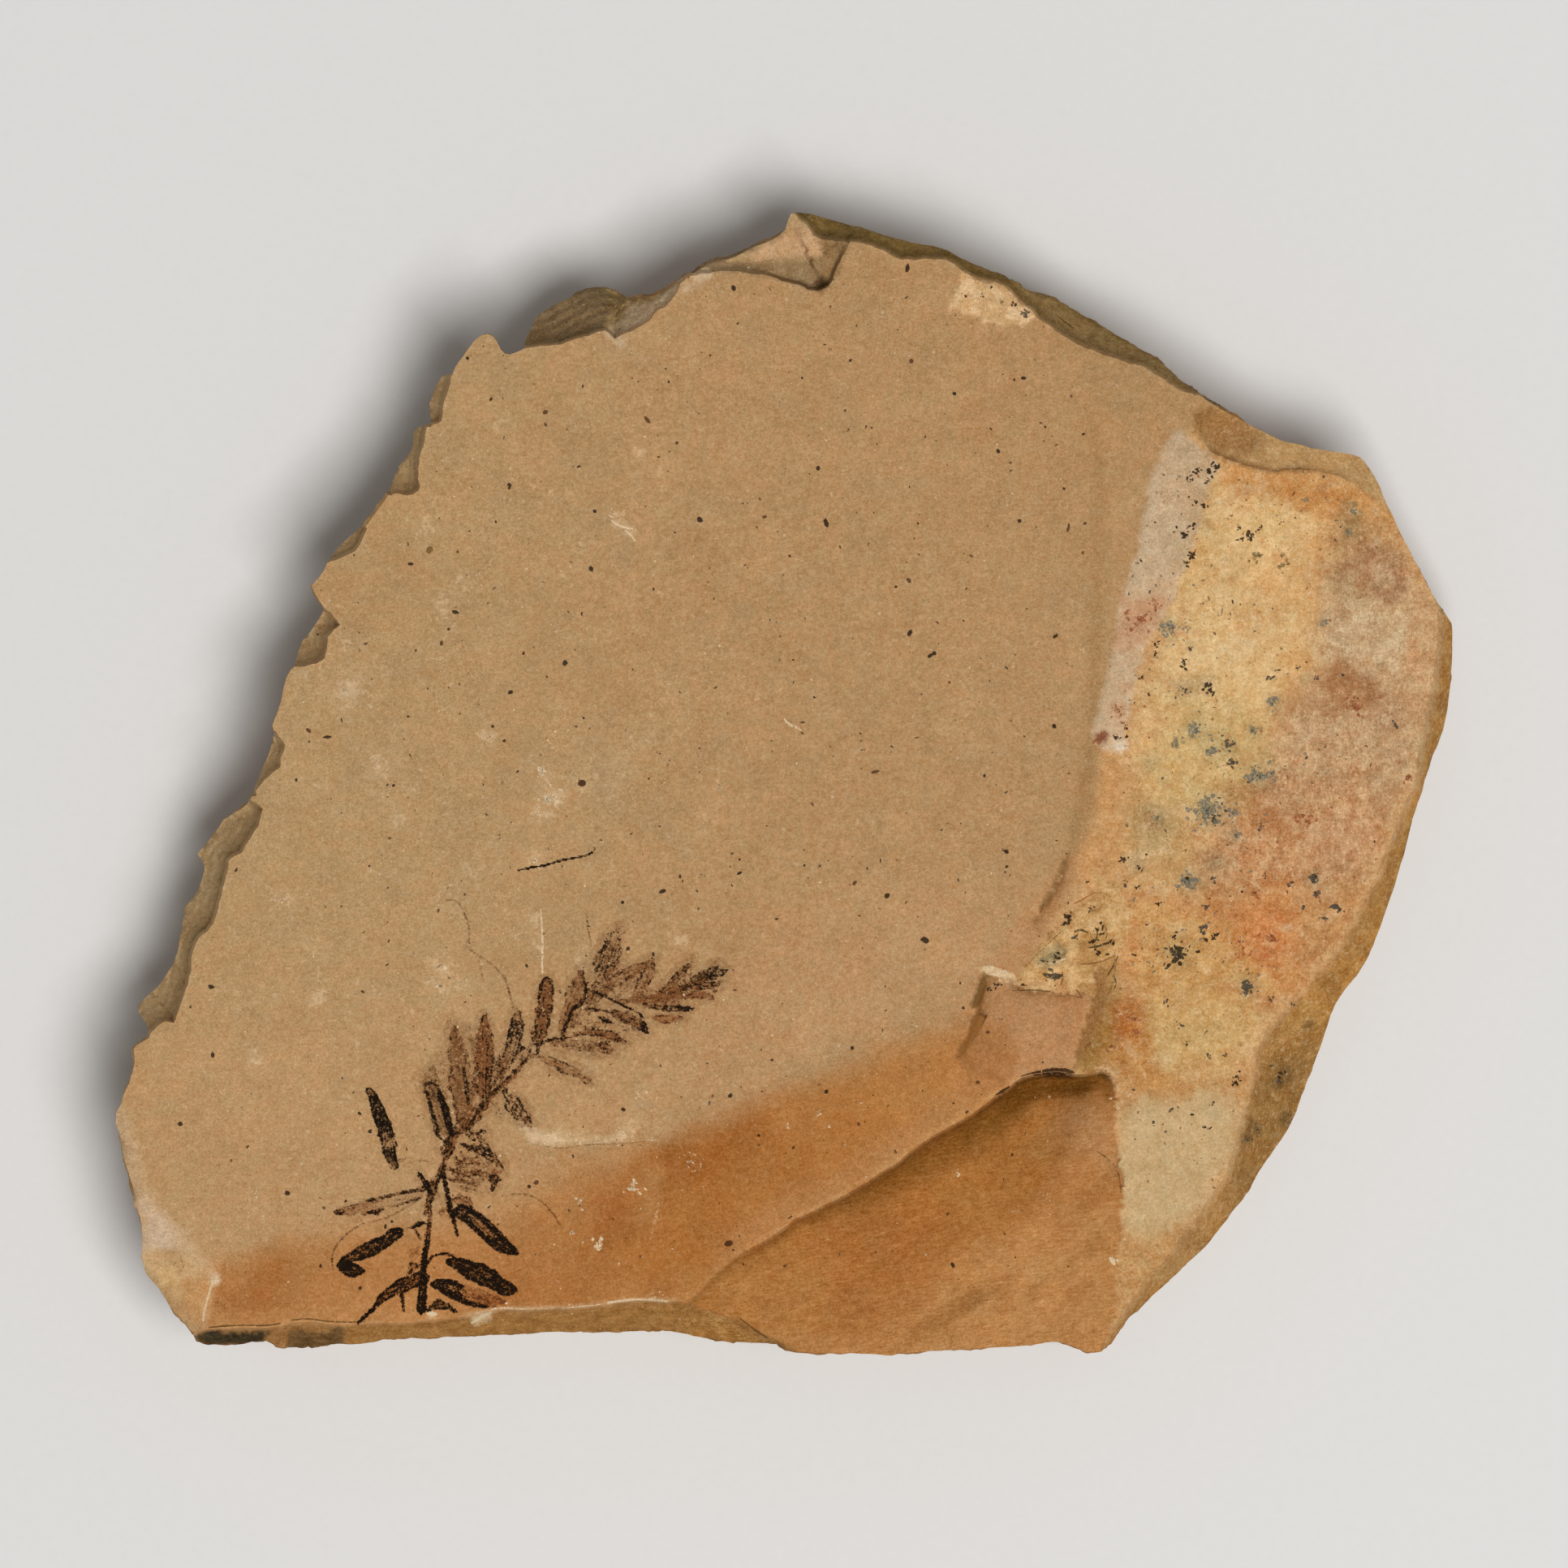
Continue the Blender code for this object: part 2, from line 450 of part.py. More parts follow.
def cut_back(turn, z):
    """How many mm the side is cut back at a share of the way round and a height."""
    angle = 2 * math.pi * turn
    out = np.zeros(np.broadcast(turn, z).shape)
    for level, depth, waves, phase in BEDS:
        tilt = 0.9 * np.sin(angle * 2 + level) + 0.35 * np.sin(angle * 17 + 3 * level)
        amount = 0.5 + 0.5 * np.sin(angle * waves + phase)
        out = out + depth * amount * ease((level + tilt - z) / 0.7)
    for at, level, wide, tall, depth in SCOOPS:
        around = (turn - at + 0.5) % 1 - 0.5
        r2 = (around * 540 / wide) ** 2 + ((z - level) / tall) ** 2
        out = out + depth * np.clip(1 - r2, 0, 1) ** 1.2
    return out


def side_frame(ring):
    """For each rim point: share of the way round, and its underside point."""
    curve, total = smooth_closed(ring, 5.0)
    tangent = np.roll(curve, -1, axis=0) - np.roll(curve, 1, axis=0)
    tangent /= np.hypot(*tangent.T)[:, None]
    inward = np.stack([tangent[:, 1], -tangent[:, 0]], 1)     # the rim runs clockwise
    even = np.linspace(0, 1, len(curve) + 1)
    angle = even[:-1] * 2 * math.pi
    inset = CUT_BACK * (1.0 + 0.35 * np.sin(7 * angle + 1.0) + 0.25 * np.sin(11 * angle))
    base = curve + inward * inset[:, None]
    base = np.concatenate([base, base[:1]])
    facing = np.concatenate([inward, inward[:1]])
    runs = along(np.concatenate([ring, ring[:1]]))
    turn = runs[:-1] / runs[-1]
    pick = lambda rows: np.stack([np.interp(turn, even, rows[:, k]) for k in (0, 1)], 1)
    return turn, pick(base), pick(facing)


def foot_height(turn):
    """Height in mm at which the side meets the broken lower arris."""
    angle = 2 * math.pi * turn
    return 2.0 + 0.8 * np.sin(5 * angle + 0.4) + 0.5 * np.sin(13 * angle)


def side(ring, top, turn, base, facing, share):
    """Plan and height of the side, share of the way down from the rim to its foot."""
    z = top * (1 - share) + foot_height(turn) * share
    fall = (top - z) / THICK
    at = ring + (base - ring) * (share**1.3)[:, None]
    hide = ease((top - z) / 2.0)
    return at + facing * (cut_back(turn, z) * hide * (0.35 + 0.65 * (1 - share)) + 0.6 * fall)[:, None], z


def placed(x, y, z):
    """A position in metres.  What lies lower looks smaller to the eye above, so
    its plan position is a little further out than it looks."""
    out = 1 + (THICK - z) / EYE
    return (x * out - CENTRE[0]) * 0.001, (y * out - CENTRE[1]) * 0.001, z * 0.001


# ---------------------------------------------------------------- meshing
GRID = 4.6               # mm, spacing of points on the open surfaces
LINE_STEP = 2.4          # mm, spacing of points on the lines
CLEAR = 1.5              # mm, grid points keep this far from lines and rim
WALL_LEVELS = (0.16, 0.34, 0.52, 0.70, 0.86, 1.0)   # share of the way down the side
ARRIS = 1.5              # mm, plan width of the broken lower arris


def hexagonal(low, high, step):
    rows = np.arange(low[1], high[1], step * math.sqrt(3) / 2)
    return np.array([
        (x + (step / 2 if k % 2 else 0), y)
        for k, y in enumerate(rows) for x in np.arange(low[0], high[0], step)])


def offset(line, gap, away):
    """The line moved gap mm sideways, to the side where away says True."""
    tangent = np.gradient(line, axis=0)
    tangent /= np.hypot(*tangent.T)[:, None]
    normal = np.stack([-tangent[:, 1], tangent[:, 0]], 1)
    probe = away(line + normal * gap)
    return line + normal * gap * np.where(probe, 1, -1)[:, None]


def field(rim, lines, step):
    """Plan points and triangles filling the rim, with edges along the lines."""
    points, edges = [tuple(p) for p in rim], []
    edges += [(k, (k + 1) % len(rim)) for k in range(len(rim))]
    closed = np.concatenate([rim, rim[:1]])
    taken = [rim]
    for line in lines:
        line = resample(line, LINE_STEP)
        fits = inside(line, rim) & (nearest(line, closed)[0] > 0.5)
        for k, p in enumerate(line):
            if not fits[k]:
                continue
            if k and fits[k - 1]:
                edges.append((len(points) - 1, len(points)))
            points.append(tuple(p))
        taken.append(line[fits])
    grid = hexagonal(rim.min(0), rim.max(0), step)
    grid = grid[inside(grid, rim) & (nearest(grid, closed)[0] > CLEAR)]
    for line in taken[1:]:
        if len(line) > 1:
            grid = grid[nearest(grid, line)[0] > CLEAR]
    points += [tuple(p) for p in grid]
    made = delaunay_2d_cdt([Vector(p) for p in points], edges, [], 0, 1e-5, True)
    plan = np.array([tuple(v) for v in made[0]], float)
    middles = np.array([plan[list(f)].mean(0) for f in made[2]])
    keep = inside(middles, rim)
    came_from = {k: out for out, sources in enumerate(made[3]) for k in sources}
    return plan, [tuple(f) for f, k in zip(made[2], keep) if k], came_from


def border(faces):
    """The outer loop of a patch of faces, in the order of its faces' edges."""
    used = {}
    for f in faces:
        for a, b in zip(f, f[1:] + f[:1]):
            used[a, b] = True
    step = {a: b for a, b in used if (b, a) not in used}
    start = min(step)
    loop, at = [start], step[start]
    while at != start:
        loop.append(at)
        at = step[at]
    return loop


def build_slab():
    def beside(line, around):
        polygon = np.concatenate([line, around])
        return lambda p: inside(p, polygon)

    scar_around = np.concatenate([SCAR_SIDE, SCAR_AROUND])
    lines = [
        LEFT_EDGE, offset(LEFT_EDGE, 0.45, beside(LEFT_EDGE, LEFT_EDGE_AROUND)),
        TOP_EDGE, offset(TOP_EDGE, 0.45, beside(TOP_EDGE, TOP_EDGE_AROUND)),
        FOOT_EDGE, offset(FOOT_EDGE, 0.45, beside(FOOT_EDGE, FOOT_EDGE_AROUND)),
        SCAR, offset(SCAR, 0.9, beside(SCAR, scar_around)),
        offset(SCAR, 2.4, beside(SCAR, scar_around)),
        SCAR_SIDE, BEVEL_EDGE, TURN, RIDGE, CORNER,
    ]
    plan, faces, _ = field(RIM, lines, GRID)
    top = height(plan)
    mesh = bmesh.new()
    upper = [mesh.verts.new(placed(x, y, z)) for (x, y), z in zip(plan, top)]
    for f in faces:
        mesh.faces.new([upper[k] for k in f])

    # The broken side: rings from the rim down to the underside's edge.
    loop = border(faces)
    if sum(plan[a][0] * plan[b][1] - plan[b][0] * plan[a][1]
           for a, b in zip(loop, loop[1:] + loop[:1])) > 0:
        loop.reverse()                       # clockwise, as the rim is listed
    start = min(range(len(loop)), key=lambda k: math.dist(plan[loop[k]], RIM[0]))
    loop = loop[start:] + loop[:start]
    ring = plan[loop]
    turn, base, facing = side_frame(ring)
    above = [upper[k] for k in loop]
    for share in WALL_LEVELS:
        at, z = side(ring, top[loop], turn, base, facing, np.full(len(ring), share))
        below = [mesh.verts.new(placed(*p, h)) for p, h in zip(at, z)]
        for k in range(len(loop)):
            n = (k + 1) % len(loop)
            mesh.faces.new([above[k], above[n], below[n], below[k]])
        above = below
    arris = at + facing * ARRIS

    # The underside, from its broken arris in.
    scars = [offset(np.concatenate([s, s[:1]]), 0.5, lambda p, s=s: inside(p, s))
             for s, _ in UNDER_SCARS]
    scars += [np.concatenate([s, s[:1]]) for s, _ in UNDER_SCARS]
    under_plan, under_faces, came_from = field(arris, scars, 9.0)
    under_z = underside(under_plan)
    under = [mesh.verts.new(placed(x, y, z)) for (x, y), z in zip(under_plan, under_z)]
    for f in under_faces:
        mesh.faces.new([under[k] for k in reversed(f)])
    inner = [under[came_from[k]] for k in range(len(arris))]
    for k in range(len(loop)):
        n = (k + 1) % len(loop)
        mesh.faces.new([above[k], above[n], inner[n], inner[k]])

    bmesh.ops.triangulate(mesh, faces=mesh.faces[:])
    bmesh.ops.recalc_face_normals(mesh, faces=mesh.faces[:])
    data = bpy.data.meshes.new("fossil_slab")
    mesh.to_mesh(data)
    mesh.free()
    return data


def stone():
    material = bpy.data.materials.new("tan_mudstone")
    material.use_nodes = True
    shader = material.node_tree.nodes["Principled BSDF"]
    shader.inputs["Base Color"].default_value = (0.47, 0.29, 0.14, 1)
    shader.inputs["Roughness"].default_value = 0.88
    shader.inputs["Metallic"].default_value = 0.0
    return material


def main():
    for obj in list(bpy.data.objects):
        bpy.data.objects.remove(obj)
    slab = bpy.data.objects.new("fossil_slab", build_slab())
    bpy.context.scene.collection.objects.link(slab)
    slab.data.shade_smooth()
    slab.data.set_sharp_from_angle(angle=math.radians(28))
    slab.data.materials.append(stone())


main()
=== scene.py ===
"""Finished surface of the fossil leaf plate: one slab of tan mudstone, broken all
round, with a carbonised conifer twig on its upper bedding plane.

Plan positions are written in millimetres or in pixels of a 1932 x 1932 picture
taken from straight above; everything is turned into metres by placed().
"""
import math

import bpy
import numpy as np
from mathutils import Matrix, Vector
from mathutils.bvhtree import BVHTree
from mathutils.geometry import delaunay_2d_cdt
from mathutils.kdtree import KDTree


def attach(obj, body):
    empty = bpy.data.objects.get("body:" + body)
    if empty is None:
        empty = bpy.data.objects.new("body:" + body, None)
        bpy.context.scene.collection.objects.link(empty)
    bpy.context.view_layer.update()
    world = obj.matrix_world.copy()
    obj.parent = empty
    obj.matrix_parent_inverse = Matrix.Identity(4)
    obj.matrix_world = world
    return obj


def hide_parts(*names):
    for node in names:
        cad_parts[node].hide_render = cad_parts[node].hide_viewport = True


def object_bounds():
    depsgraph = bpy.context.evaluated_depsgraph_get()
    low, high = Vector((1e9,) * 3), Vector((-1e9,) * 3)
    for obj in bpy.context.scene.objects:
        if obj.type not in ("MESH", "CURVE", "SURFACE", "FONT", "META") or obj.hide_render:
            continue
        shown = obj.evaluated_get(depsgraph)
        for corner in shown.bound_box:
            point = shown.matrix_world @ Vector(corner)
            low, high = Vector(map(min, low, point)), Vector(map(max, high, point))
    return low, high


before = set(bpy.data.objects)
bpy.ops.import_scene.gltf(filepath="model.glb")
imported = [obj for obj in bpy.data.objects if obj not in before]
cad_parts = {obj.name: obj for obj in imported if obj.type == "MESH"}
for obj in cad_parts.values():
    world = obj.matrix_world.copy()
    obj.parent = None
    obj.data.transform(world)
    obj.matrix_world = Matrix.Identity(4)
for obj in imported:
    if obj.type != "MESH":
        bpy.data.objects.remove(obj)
CAD_BOX = [list(map(float, corner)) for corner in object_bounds()]

# ---------------------------------------------------------------- positions
# Plan positions are read off the photograph, in its 1932 x 1932 pixels, with
# the eye straight above the plate.  One pixel is PX millimetres on the level of
# the upper bedding plane, and the middle pixel is over the origin.
PX = 0.1                 # mm for one pixel
MID = 966.0              # pixel over the origin, across and down
THICK = 26.0             # mm, underside to upper bedding plane
EYE = 2000.0             # mm, height of the eye above the upper bedding plane
LOWEST_RIM = 7.5         # mm, least height of the rim seen from above
CENTRE = (0.25, 0.03)    # mm, middle of the stone's box, from the middle pixel


def mm(points):
    """Pixel pairs to plan millimetres, +X right and +Y up the photograph."""
    p = np.array(points, float)
    return np.stack([(p[:, 0] - MID) * PX, (MID - p[:, 1]) * PX], 1)


# Rim of the stone as seen from above, clockwise from the peak at the top.
RIM = mm([
    (982, 261), (1000, 263), (1025, 270), (1050, 277), (1075, 284), (1100, 292),
    (1125, 298), (1150, 303), (1168, 308), (1180, 315), (1200, 325), (1225, 336),
    (1250, 349), (1275, 360), (1300, 371), (1325, 383), (1350, 396), (1375, 412),
    (1400, 427), (1425, 441), (1440, 453), (1455, 468), (1470, 481), (1485, 492),
    (1500, 501), (1520, 512), (1540, 523), (1560, 533), (1580, 542), (1600, 547),
    (1620, 552), (1645, 556), (1665, 559), (1676, 562), (1682, 568), (1690, 580),
    (1699, 595), (1706, 613), (1715, 632), (1725, 653), (1735, 673), (1745, 693),
    (1755, 712), (1765, 731), (1775, 748), (1783, 758), (1788, 768), (1790, 780),
    (1790, 800), (1789, 825), (1787, 850), (1785, 870), (1782, 885), (1779, 900),
    (1773, 915), (1766, 930), (1762, 945), (1757, 960), (1753, 975), (1746, 995),
    (1741, 1010), (1735, 1035), (1730, 1055), (1724, 1075), (1718, 1095),
    (1710, 1118), (1702, 1140), (1694, 1162), (1685, 1182), (1673, 1202),
    (1662, 1215), (1652, 1228), (1645, 1240), (1640, 1252), (1634, 1270),
    (1628, 1290), (1620, 1310), (1612, 1330), (1605, 1350), (1598, 1370),
    (1588, 1390), (1578, 1407), (1565, 1425), (1552, 1443), (1543, 1460),
    (1532, 1478), (1518, 1495), (1505, 1512), (1490, 1532), (1475, 1547),
    (1458, 1562), (1440, 1580), (1425, 1593), (1410, 1605), (1398, 1617),
    (1385, 1632), (1374, 1648), (1363, 1661), (1357, 1666), (1348, 1667),
    (1340, 1667), (1330, 1662), (1318, 1657), (1305, 1654), (1290, 1655),
    (1275, 1658), (1250, 1660), (1225, 1661), (1200, 1662), (1175, 1664),
    (1150, 1665), (1125, 1667), (1110, 1668), (1100, 1671), (1090, 1671),
    (1080, 1670), (1068, 1669), (1050, 1668), (1025, 1668), (1000, 1667),
    (980, 1665), (968, 1661), (960, 1657), (950, 1656), (930, 1655), (900, 1654),
    (885, 1653), (870, 1650), (855, 1647), (840, 1643), (820, 1640), (800, 1641),
    (780, 1641), (760, 1642), (730, 1642), (700, 1642), (675, 1642), (650, 1644),
    (620, 1645), (600, 1646), (570, 1648), (540, 1648), (510, 1649), (490, 1650),
    (475, 1651), (460, 1654), (445, 1657), (430, 1657), (415, 1657), (400, 1658),
    (380, 1659), (360, 1661), (350, 1661), (340, 1660), (334, 1656), (328, 1653),
    (310, 1653), (290, 1654), (270, 1655), (258, 1654), (250, 1652), (243, 1650),
    (237, 1642), (228, 1632), (218, 1621), (210, 1612), (203, 1601), (195, 1588),
    (185, 1577), (180, 1571), (176, 1560), (174, 1548), (174, 1530), (174, 1515),
    (172, 1500), (168, 1485), (165, 1470), (160, 1452), (153, 1430), (149, 1410),
    (146, 1395), (142, 1385), (142, 1372), (148, 1360), (152, 1348), (158, 1335),
    (163, 1320), (165, 1305), (164, 1292), (168, 1287), (180, 1280), (182, 1270),
    (180, 1263), (174, 1254), (170, 1247), (169, 1240), (172, 1235), (182, 1226),
    (192, 1217), (202, 1205), (211, 1190), (218, 1173), (222, 1155), (225, 1135),
    (227, 1118), (230, 1115), (240, 1103), (248, 1085), (251, 1072), (250, 1065),
    (243, 1052), (250, 1043), (262, 1030), (275, 1010), (285, 1003), (300, 994),
    (308, 985), (315, 965), (323, 945), (332, 925), (338, 903), (335, 893),
    (340, 880), (345, 865), (348, 850), (352, 835), (357, 825), (362, 821),
    (366, 805), (372, 790), (382, 778), (392, 763), (400, 750), (394, 742),
    (388, 733), (383, 722), (388, 716), (398, 703), (404, 690), (415, 675),
    (430, 660), (441, 653), (450, 649), (460, 635), (472, 618), (480, 606),
    (487, 590), (495, 576), (503, 565), (509, 555), (511, 545), (510, 533),
    (514, 527), (524, 523), (531, 520), (529, 508), (529, 498), (533, 483),
    (538, 471), (543, 464), (550, 461), (557, 461), (560, 453), (566, 443),
    (574, 433), (582, 421), (592, 413), (600, 411), (607, 413), (612, 420),
    (617, 430), (622, 435), (628, 436), (636, 433), (645, 429), (646, 420),
    (652, 408), (660, 392), (668, 384), (685, 374), (700, 367), (710, 359),
    (722, 355), (735, 354), (748, 355), (760, 359), (770, 366), (778, 370),
    (790, 367), (805, 364), (815, 361), (825, 354), (835, 345), (845, 338),
    (855, 336), (862, 331), (880, 324), (900, 318), (915, 311), (930, 303),
    (950, 295), (960, 289), (967, 282), (970, 271), (974, 263),
])

# Edge of the uppermost layer along the top left and the left.  Where this layer
# itself is the rim, the line runs just outside the rim.
LEFT_EDGE = mm([
    (1047, 297), (1042, 306), (1037, 317), (1031, 332), (1026, 345), (1021, 353),
    (1008, 358), (995, 357), (987, 352), (975, 349), (963, 347), (955, 342),
    (935, 338), (910, 335), (885, 335), (870, 338), (857, 337), (848, 340),
    (838, 350), (836, 360), (828, 370), (820, 378), (810, 382), (800, 395),
    (790, 401), (778, 408), (765, 413), (757, 418), (752, 412), (745, 407),
    (735, 410), (725, 415), (712, 417), (703, 420), (690, 425), (670, 426),
    (650, 428), (636, 432), (626, 428), (618, 415), (608, 402), (590, 401),
    (575, 412), (560, 433), (551, 452), (556, 464), (553, 478), (550, 490),
    (547, 500), (545, 510), (543, 518), (538, 522), (530, 523), (526, 526),
    (524, 535), (522, 545), (519, 560), (516, 575), (515, 590), (518, 600),
    (516, 605), (508, 609), (498, 610), (488, 608), (481, 610), (472, 604),
    (460, 618), (448, 636), (441, 646), (452, 651), (449, 660), (444, 670),
    (438, 680), (425, 685), (412, 690), (404, 692), (394, 692), (380, 708),
    (373, 722), (380, 740), (390, 754), (401, 751), (410, 758), (419, 770),
    (412, 776), (404, 785), (403, 800), (401, 811), (390, 818), (375, 821),
    (362, 822), (352, 818), (340, 835), (332, 865), (325, 893), (330, 905),
    (340, 901), (346, 910), (350, 917), (348, 930), (345, 945), (338, 951),
    (330, 958), (323, 966), (316, 975), (307, 986), (316, 990), (324, 997),
    (322, 1005), (319, 1018), (312, 1027), (304, 1038), (298, 1050), (288, 1055),
    (282, 1061), (280, 1075), (276, 1090), (272, 1108), (268, 1122), (262, 1138),
    (256, 1147), (246, 1155), (240, 1165), (236, 1180), (236, 1195), (232, 1210),
    (227, 1225), (222, 1240), (218, 1253), (214, 1260), (205, 1258), (196, 1262),
    (188, 1270), (180, 1281), (164, 1277), (154, 1290), (156, 1310), (148, 1335),
    (136, 1355), (130, 1385),
])
LEFT_EDGE_AROUND = mm([(130, 1700), (0, 1700), (0, 100), (1047, 100)])
# Photograph position along the edge: how far the layer drops at once, in mm, and
# how steeply the broken face then falls away to the rim.
LEFT_EDGE_DROPS = [
    ((1047, 297), 0.5, 0.30), ((1008, 358), 3.0, -0.25), ((955, 342), 2.2, 0.10),
    ((885, 335), 1.6, 0.90), ((838, 350), 0.6, 1.50), ((790, 401), 0.8, 1.40),
    ((725, 415), 3.0, 0.95), ((650, 428), 4.5, 0.95), ((553, 478), 3.2, 1.25),
    ((515, 590), 3.4, 1.30), ((444, 670), 3.0, 1.30), ((410, 758), 3.6, 1.20),
    ((403, 800), 4.0, 1.20), ((348, 930), 3.2, 1.40), ((322, 1005), 4.2, 1.10),
    ((276, 1090), 4.6, 1.20), ((240, 1165), 4.2, 1.20), ((222, 1240), 5.0, 1.10),
    ((196, 1262), 4.2, 1.20), ((130, 1385), 3.0, 1.20),
]

# Lower edge of the steep dark face along the top right.
TOP_EDGE = mm([
    (974, 254), (986, 272), (997, 281), (1003, 289), (1012, 294), (1028, 297),
    (1047, 297), (1062, 299), (1076, 303), (1088, 309), (1099, 315), (1112, 319),
    (1130, 321), (1148, 319), (1165, 319), (1176, 325), (1186, 333), (1200, 341),
    (1213, 346), (1225, 348), (1240, 355), (1252, 365), (1260, 374), (1268, 381),
    (1277, 390), (1290, 400), (1302, 409), (1320, 420), (1340, 430), (1360, 437),
    (1380, 443), (1400, 449), (1420, 458), (1435, 468), (1447, 477), (1462, 483),
    (1476, 487), (1488, 493), (1502, 498),
])
TOP_EDGE_AROUND = mm([(1560, 480), (1560, 100), (960, 100)])

# Inner line of the brown bevel at the upper right corner.
BEVEL_EDGE = mm([
    (1497, 492), (1488, 506), (1480, 520), (1478, 535), (1484, 547), (1496, 557),
    (1510, 566), (1530, 572), (1550, 576), (1575, 580), (1600, 579), (1625, 581),
    (1650, 587), (1672, 598), (1688, 612), (1710, 632),
])
BEVEL_EDGE_AROUND = mm([(1800, 600), (1700, 400), (1520, 420)])

# Line where the upper bedding plane turns down into the old weathered face that
# makes the right third of the plate.
TURN = mm([
    (1505, 478), (1478, 505), (1450, 530), (1428, 585), (1410, 640), (1397, 700),
    (1380, 770), (1362, 840), (1350, 890), (1343, 935), (1347, 985), (1338, 1030),
    (1318, 1060), (1297, 1105), (1272, 1155), (1252, 1200), (1248, 1260),
    (1235, 1330), (1238, 1400), (1250, 1500), (1270, 1580), (1290, 1720),
])
TURN_AROUND = mm([(1950, 1720), (1950, 380), (1505, 380)])

# Ridge between the weathered face and the broken face along the right side.
RIDGE = mm([
    (1752, 690), (1762, 715), (1770, 742), (1773, 770), (1771, 800), (1767, 835),
    (1762, 860), (1755, 885), (1750, 915), (1747, 945), (1742, 968), (1732, 990),
    (1722, 1012), (1712, 1040), (1702, 1062), (1697, 1078), (1688, 1090),
    (1680, 1103), (1674, 1120), (1666, 1140), (1650, 1165), (1630, 1190),
    (1605, 1215), (1582, 1243), (1562, 1268), (1550, 1293), (1544, 1325),
    (1534, 1358), (1525, 1392), (1515, 1420), (1508, 1448), (1495, 1472),
    (1480, 1495), (1462, 1515), (1445, 1538), (1425, 1562), (1408, 1583),
    (1392, 1605), (1377, 1628), (1364, 1648), (1355, 1668), (1350, 1690),
])
RIDGE_AROUND = mm([(1950, 1720), (1950, 690)])
RIDGE_FALLS = [
    ((1752, 690), 1.2), ((1767, 835), 1.9), ((1747, 945), 2.2), ((1702, 1062), 2.0),
    ((1666, 1140), 1.1), ((1605, 1215), 0.85), ((1550, 1293), 1.3),
    ((1525, 1392), 1.6), ((1480, 1495), 1.9), ((1408, 1583), 2.4),
    ((1350, 1690), 2.6),
]

# Worn pale corner at the lower left.
CORNER = mm([
    (146, 1345), (155, 1375), (163, 1405), (170, 1435), (176, 1462), (184, 1485),
    (198, 1500), (215, 1515), (232, 1535), (248, 1553), (262, 1572), (258, 1590),
    (254, 1610), (251, 1632), (248, 1645), (244, 1670),
])
CORNER_AROUND = mm([(100, 1700), (60, 1345)])

# Lower edge of the bedding plane along the bottom of the photograph.
FOOT_EDGE = mm([
    (236, 1652), (243, 1642), (255, 1638), (275, 1637), (300, 1636), (330, 1636),
    (345, 1634), (356, 1630), (380, 1628), (402, 1631), (428, 1632), (470, 1630),
    (510, 1628), (545, 1625), (575, 1622), (598, 1616), (615, 1613), (650, 1613),
    (700, 1611), (730, 1609), (760, 1604), (785, 1601), (805, 1601), (830, 1603),
    (850, 1606), (870, 1613), (890, 1619), (905, 1624), (918, 1632), (935, 1641),
    (952, 1649), (966, 1656), (975, 1670), (985, 1700),
])
FOOT_EDGE_AROUND = mm([(985, 1760), (200, 1760)])
FOOT_FALLS = [
    ((236, 1652), 1.2, 2.6), ((345, 1634), 0.7, 2.4), ((428, 1632), 0.3, 2.2),
    ((575, 1622), 0.5, 2.2), ((700, 1611), 0.7, 2.2), ((805, 1601), 0.7, 2.0),
    ((850, 1606), 0.5, 1.4), ((905, 1624), 0.5, 1.1), ((966, 1656), 1.0, 1.6),
]

# Deep scar at the lower right: the layer above it has broken away along SCAR.
SCAR = mm([
    (845, 1606), (850, 1600), (857, 1594), (866, 1584), (876, 1573), (890, 1561),
    (905, 1549), (918, 1541), (933, 1534), (950, 1524), (965, 1513), (978, 1503),
    (1000, 1493), (1015, 1485), (1030, 1478), (1050, 1467), (1066, 1458),
    (1080, 1448), (1098, 1437), (1110, 1428), (1121, 1419), (1135, 1409),
    (1150, 1399), (1165, 1391), (1180, 1382), (1195, 1374), (1210, 1363),
    (1225, 1352), (1240, 1343), (1250, 1334), (1260, 1327), (1275, 1323),
    (1292, 1321), (1310, 1321), (1325, 1323), (1345, 1323), (1358, 1319),
    (1366, 1322), (1372, 1330), (1376, 1343),
])
SCAR_SIDE = mm([
    (1376, 1343), (1375, 1370), (1374, 1400), (1377, 1425), (1381, 1450),
    (1382, 1480), (1382, 1510), (1379, 1540), (1376, 1570), (1376, 1600),
    (1372, 1630), (1362, 1660), (1360, 1690),
])
SCAR_AROUND = mm([(1360, 1760), (870, 1760), (846, 1700), (838, 1640), (840, 1612)])
# Photograph position along SCAR: depth in mm, and the reach in mm of the hollow
# curve from the edge down to the floor.
SCAR_DEPTHS = [
    ((845, 1606), 0.1, 1.4), ((890, 1561), 1.2, 1.6), ((950, 1524), 2.3, 1.8),
    ((1000, 1493), 3.2, 2.0), ((1098, 1437), 4.2, 2.4), ((1180, 1382), 5.0, 2.4),
    ((1225, 1352), 5.4, 1.6), ((1260, 1327), 5.6, 0.9), ((1325, 1323), 5.4, 0.8),
    ((1358, 1319), 3.8, 0.8), ((1376, 1343), 1.8, 0.8),
]

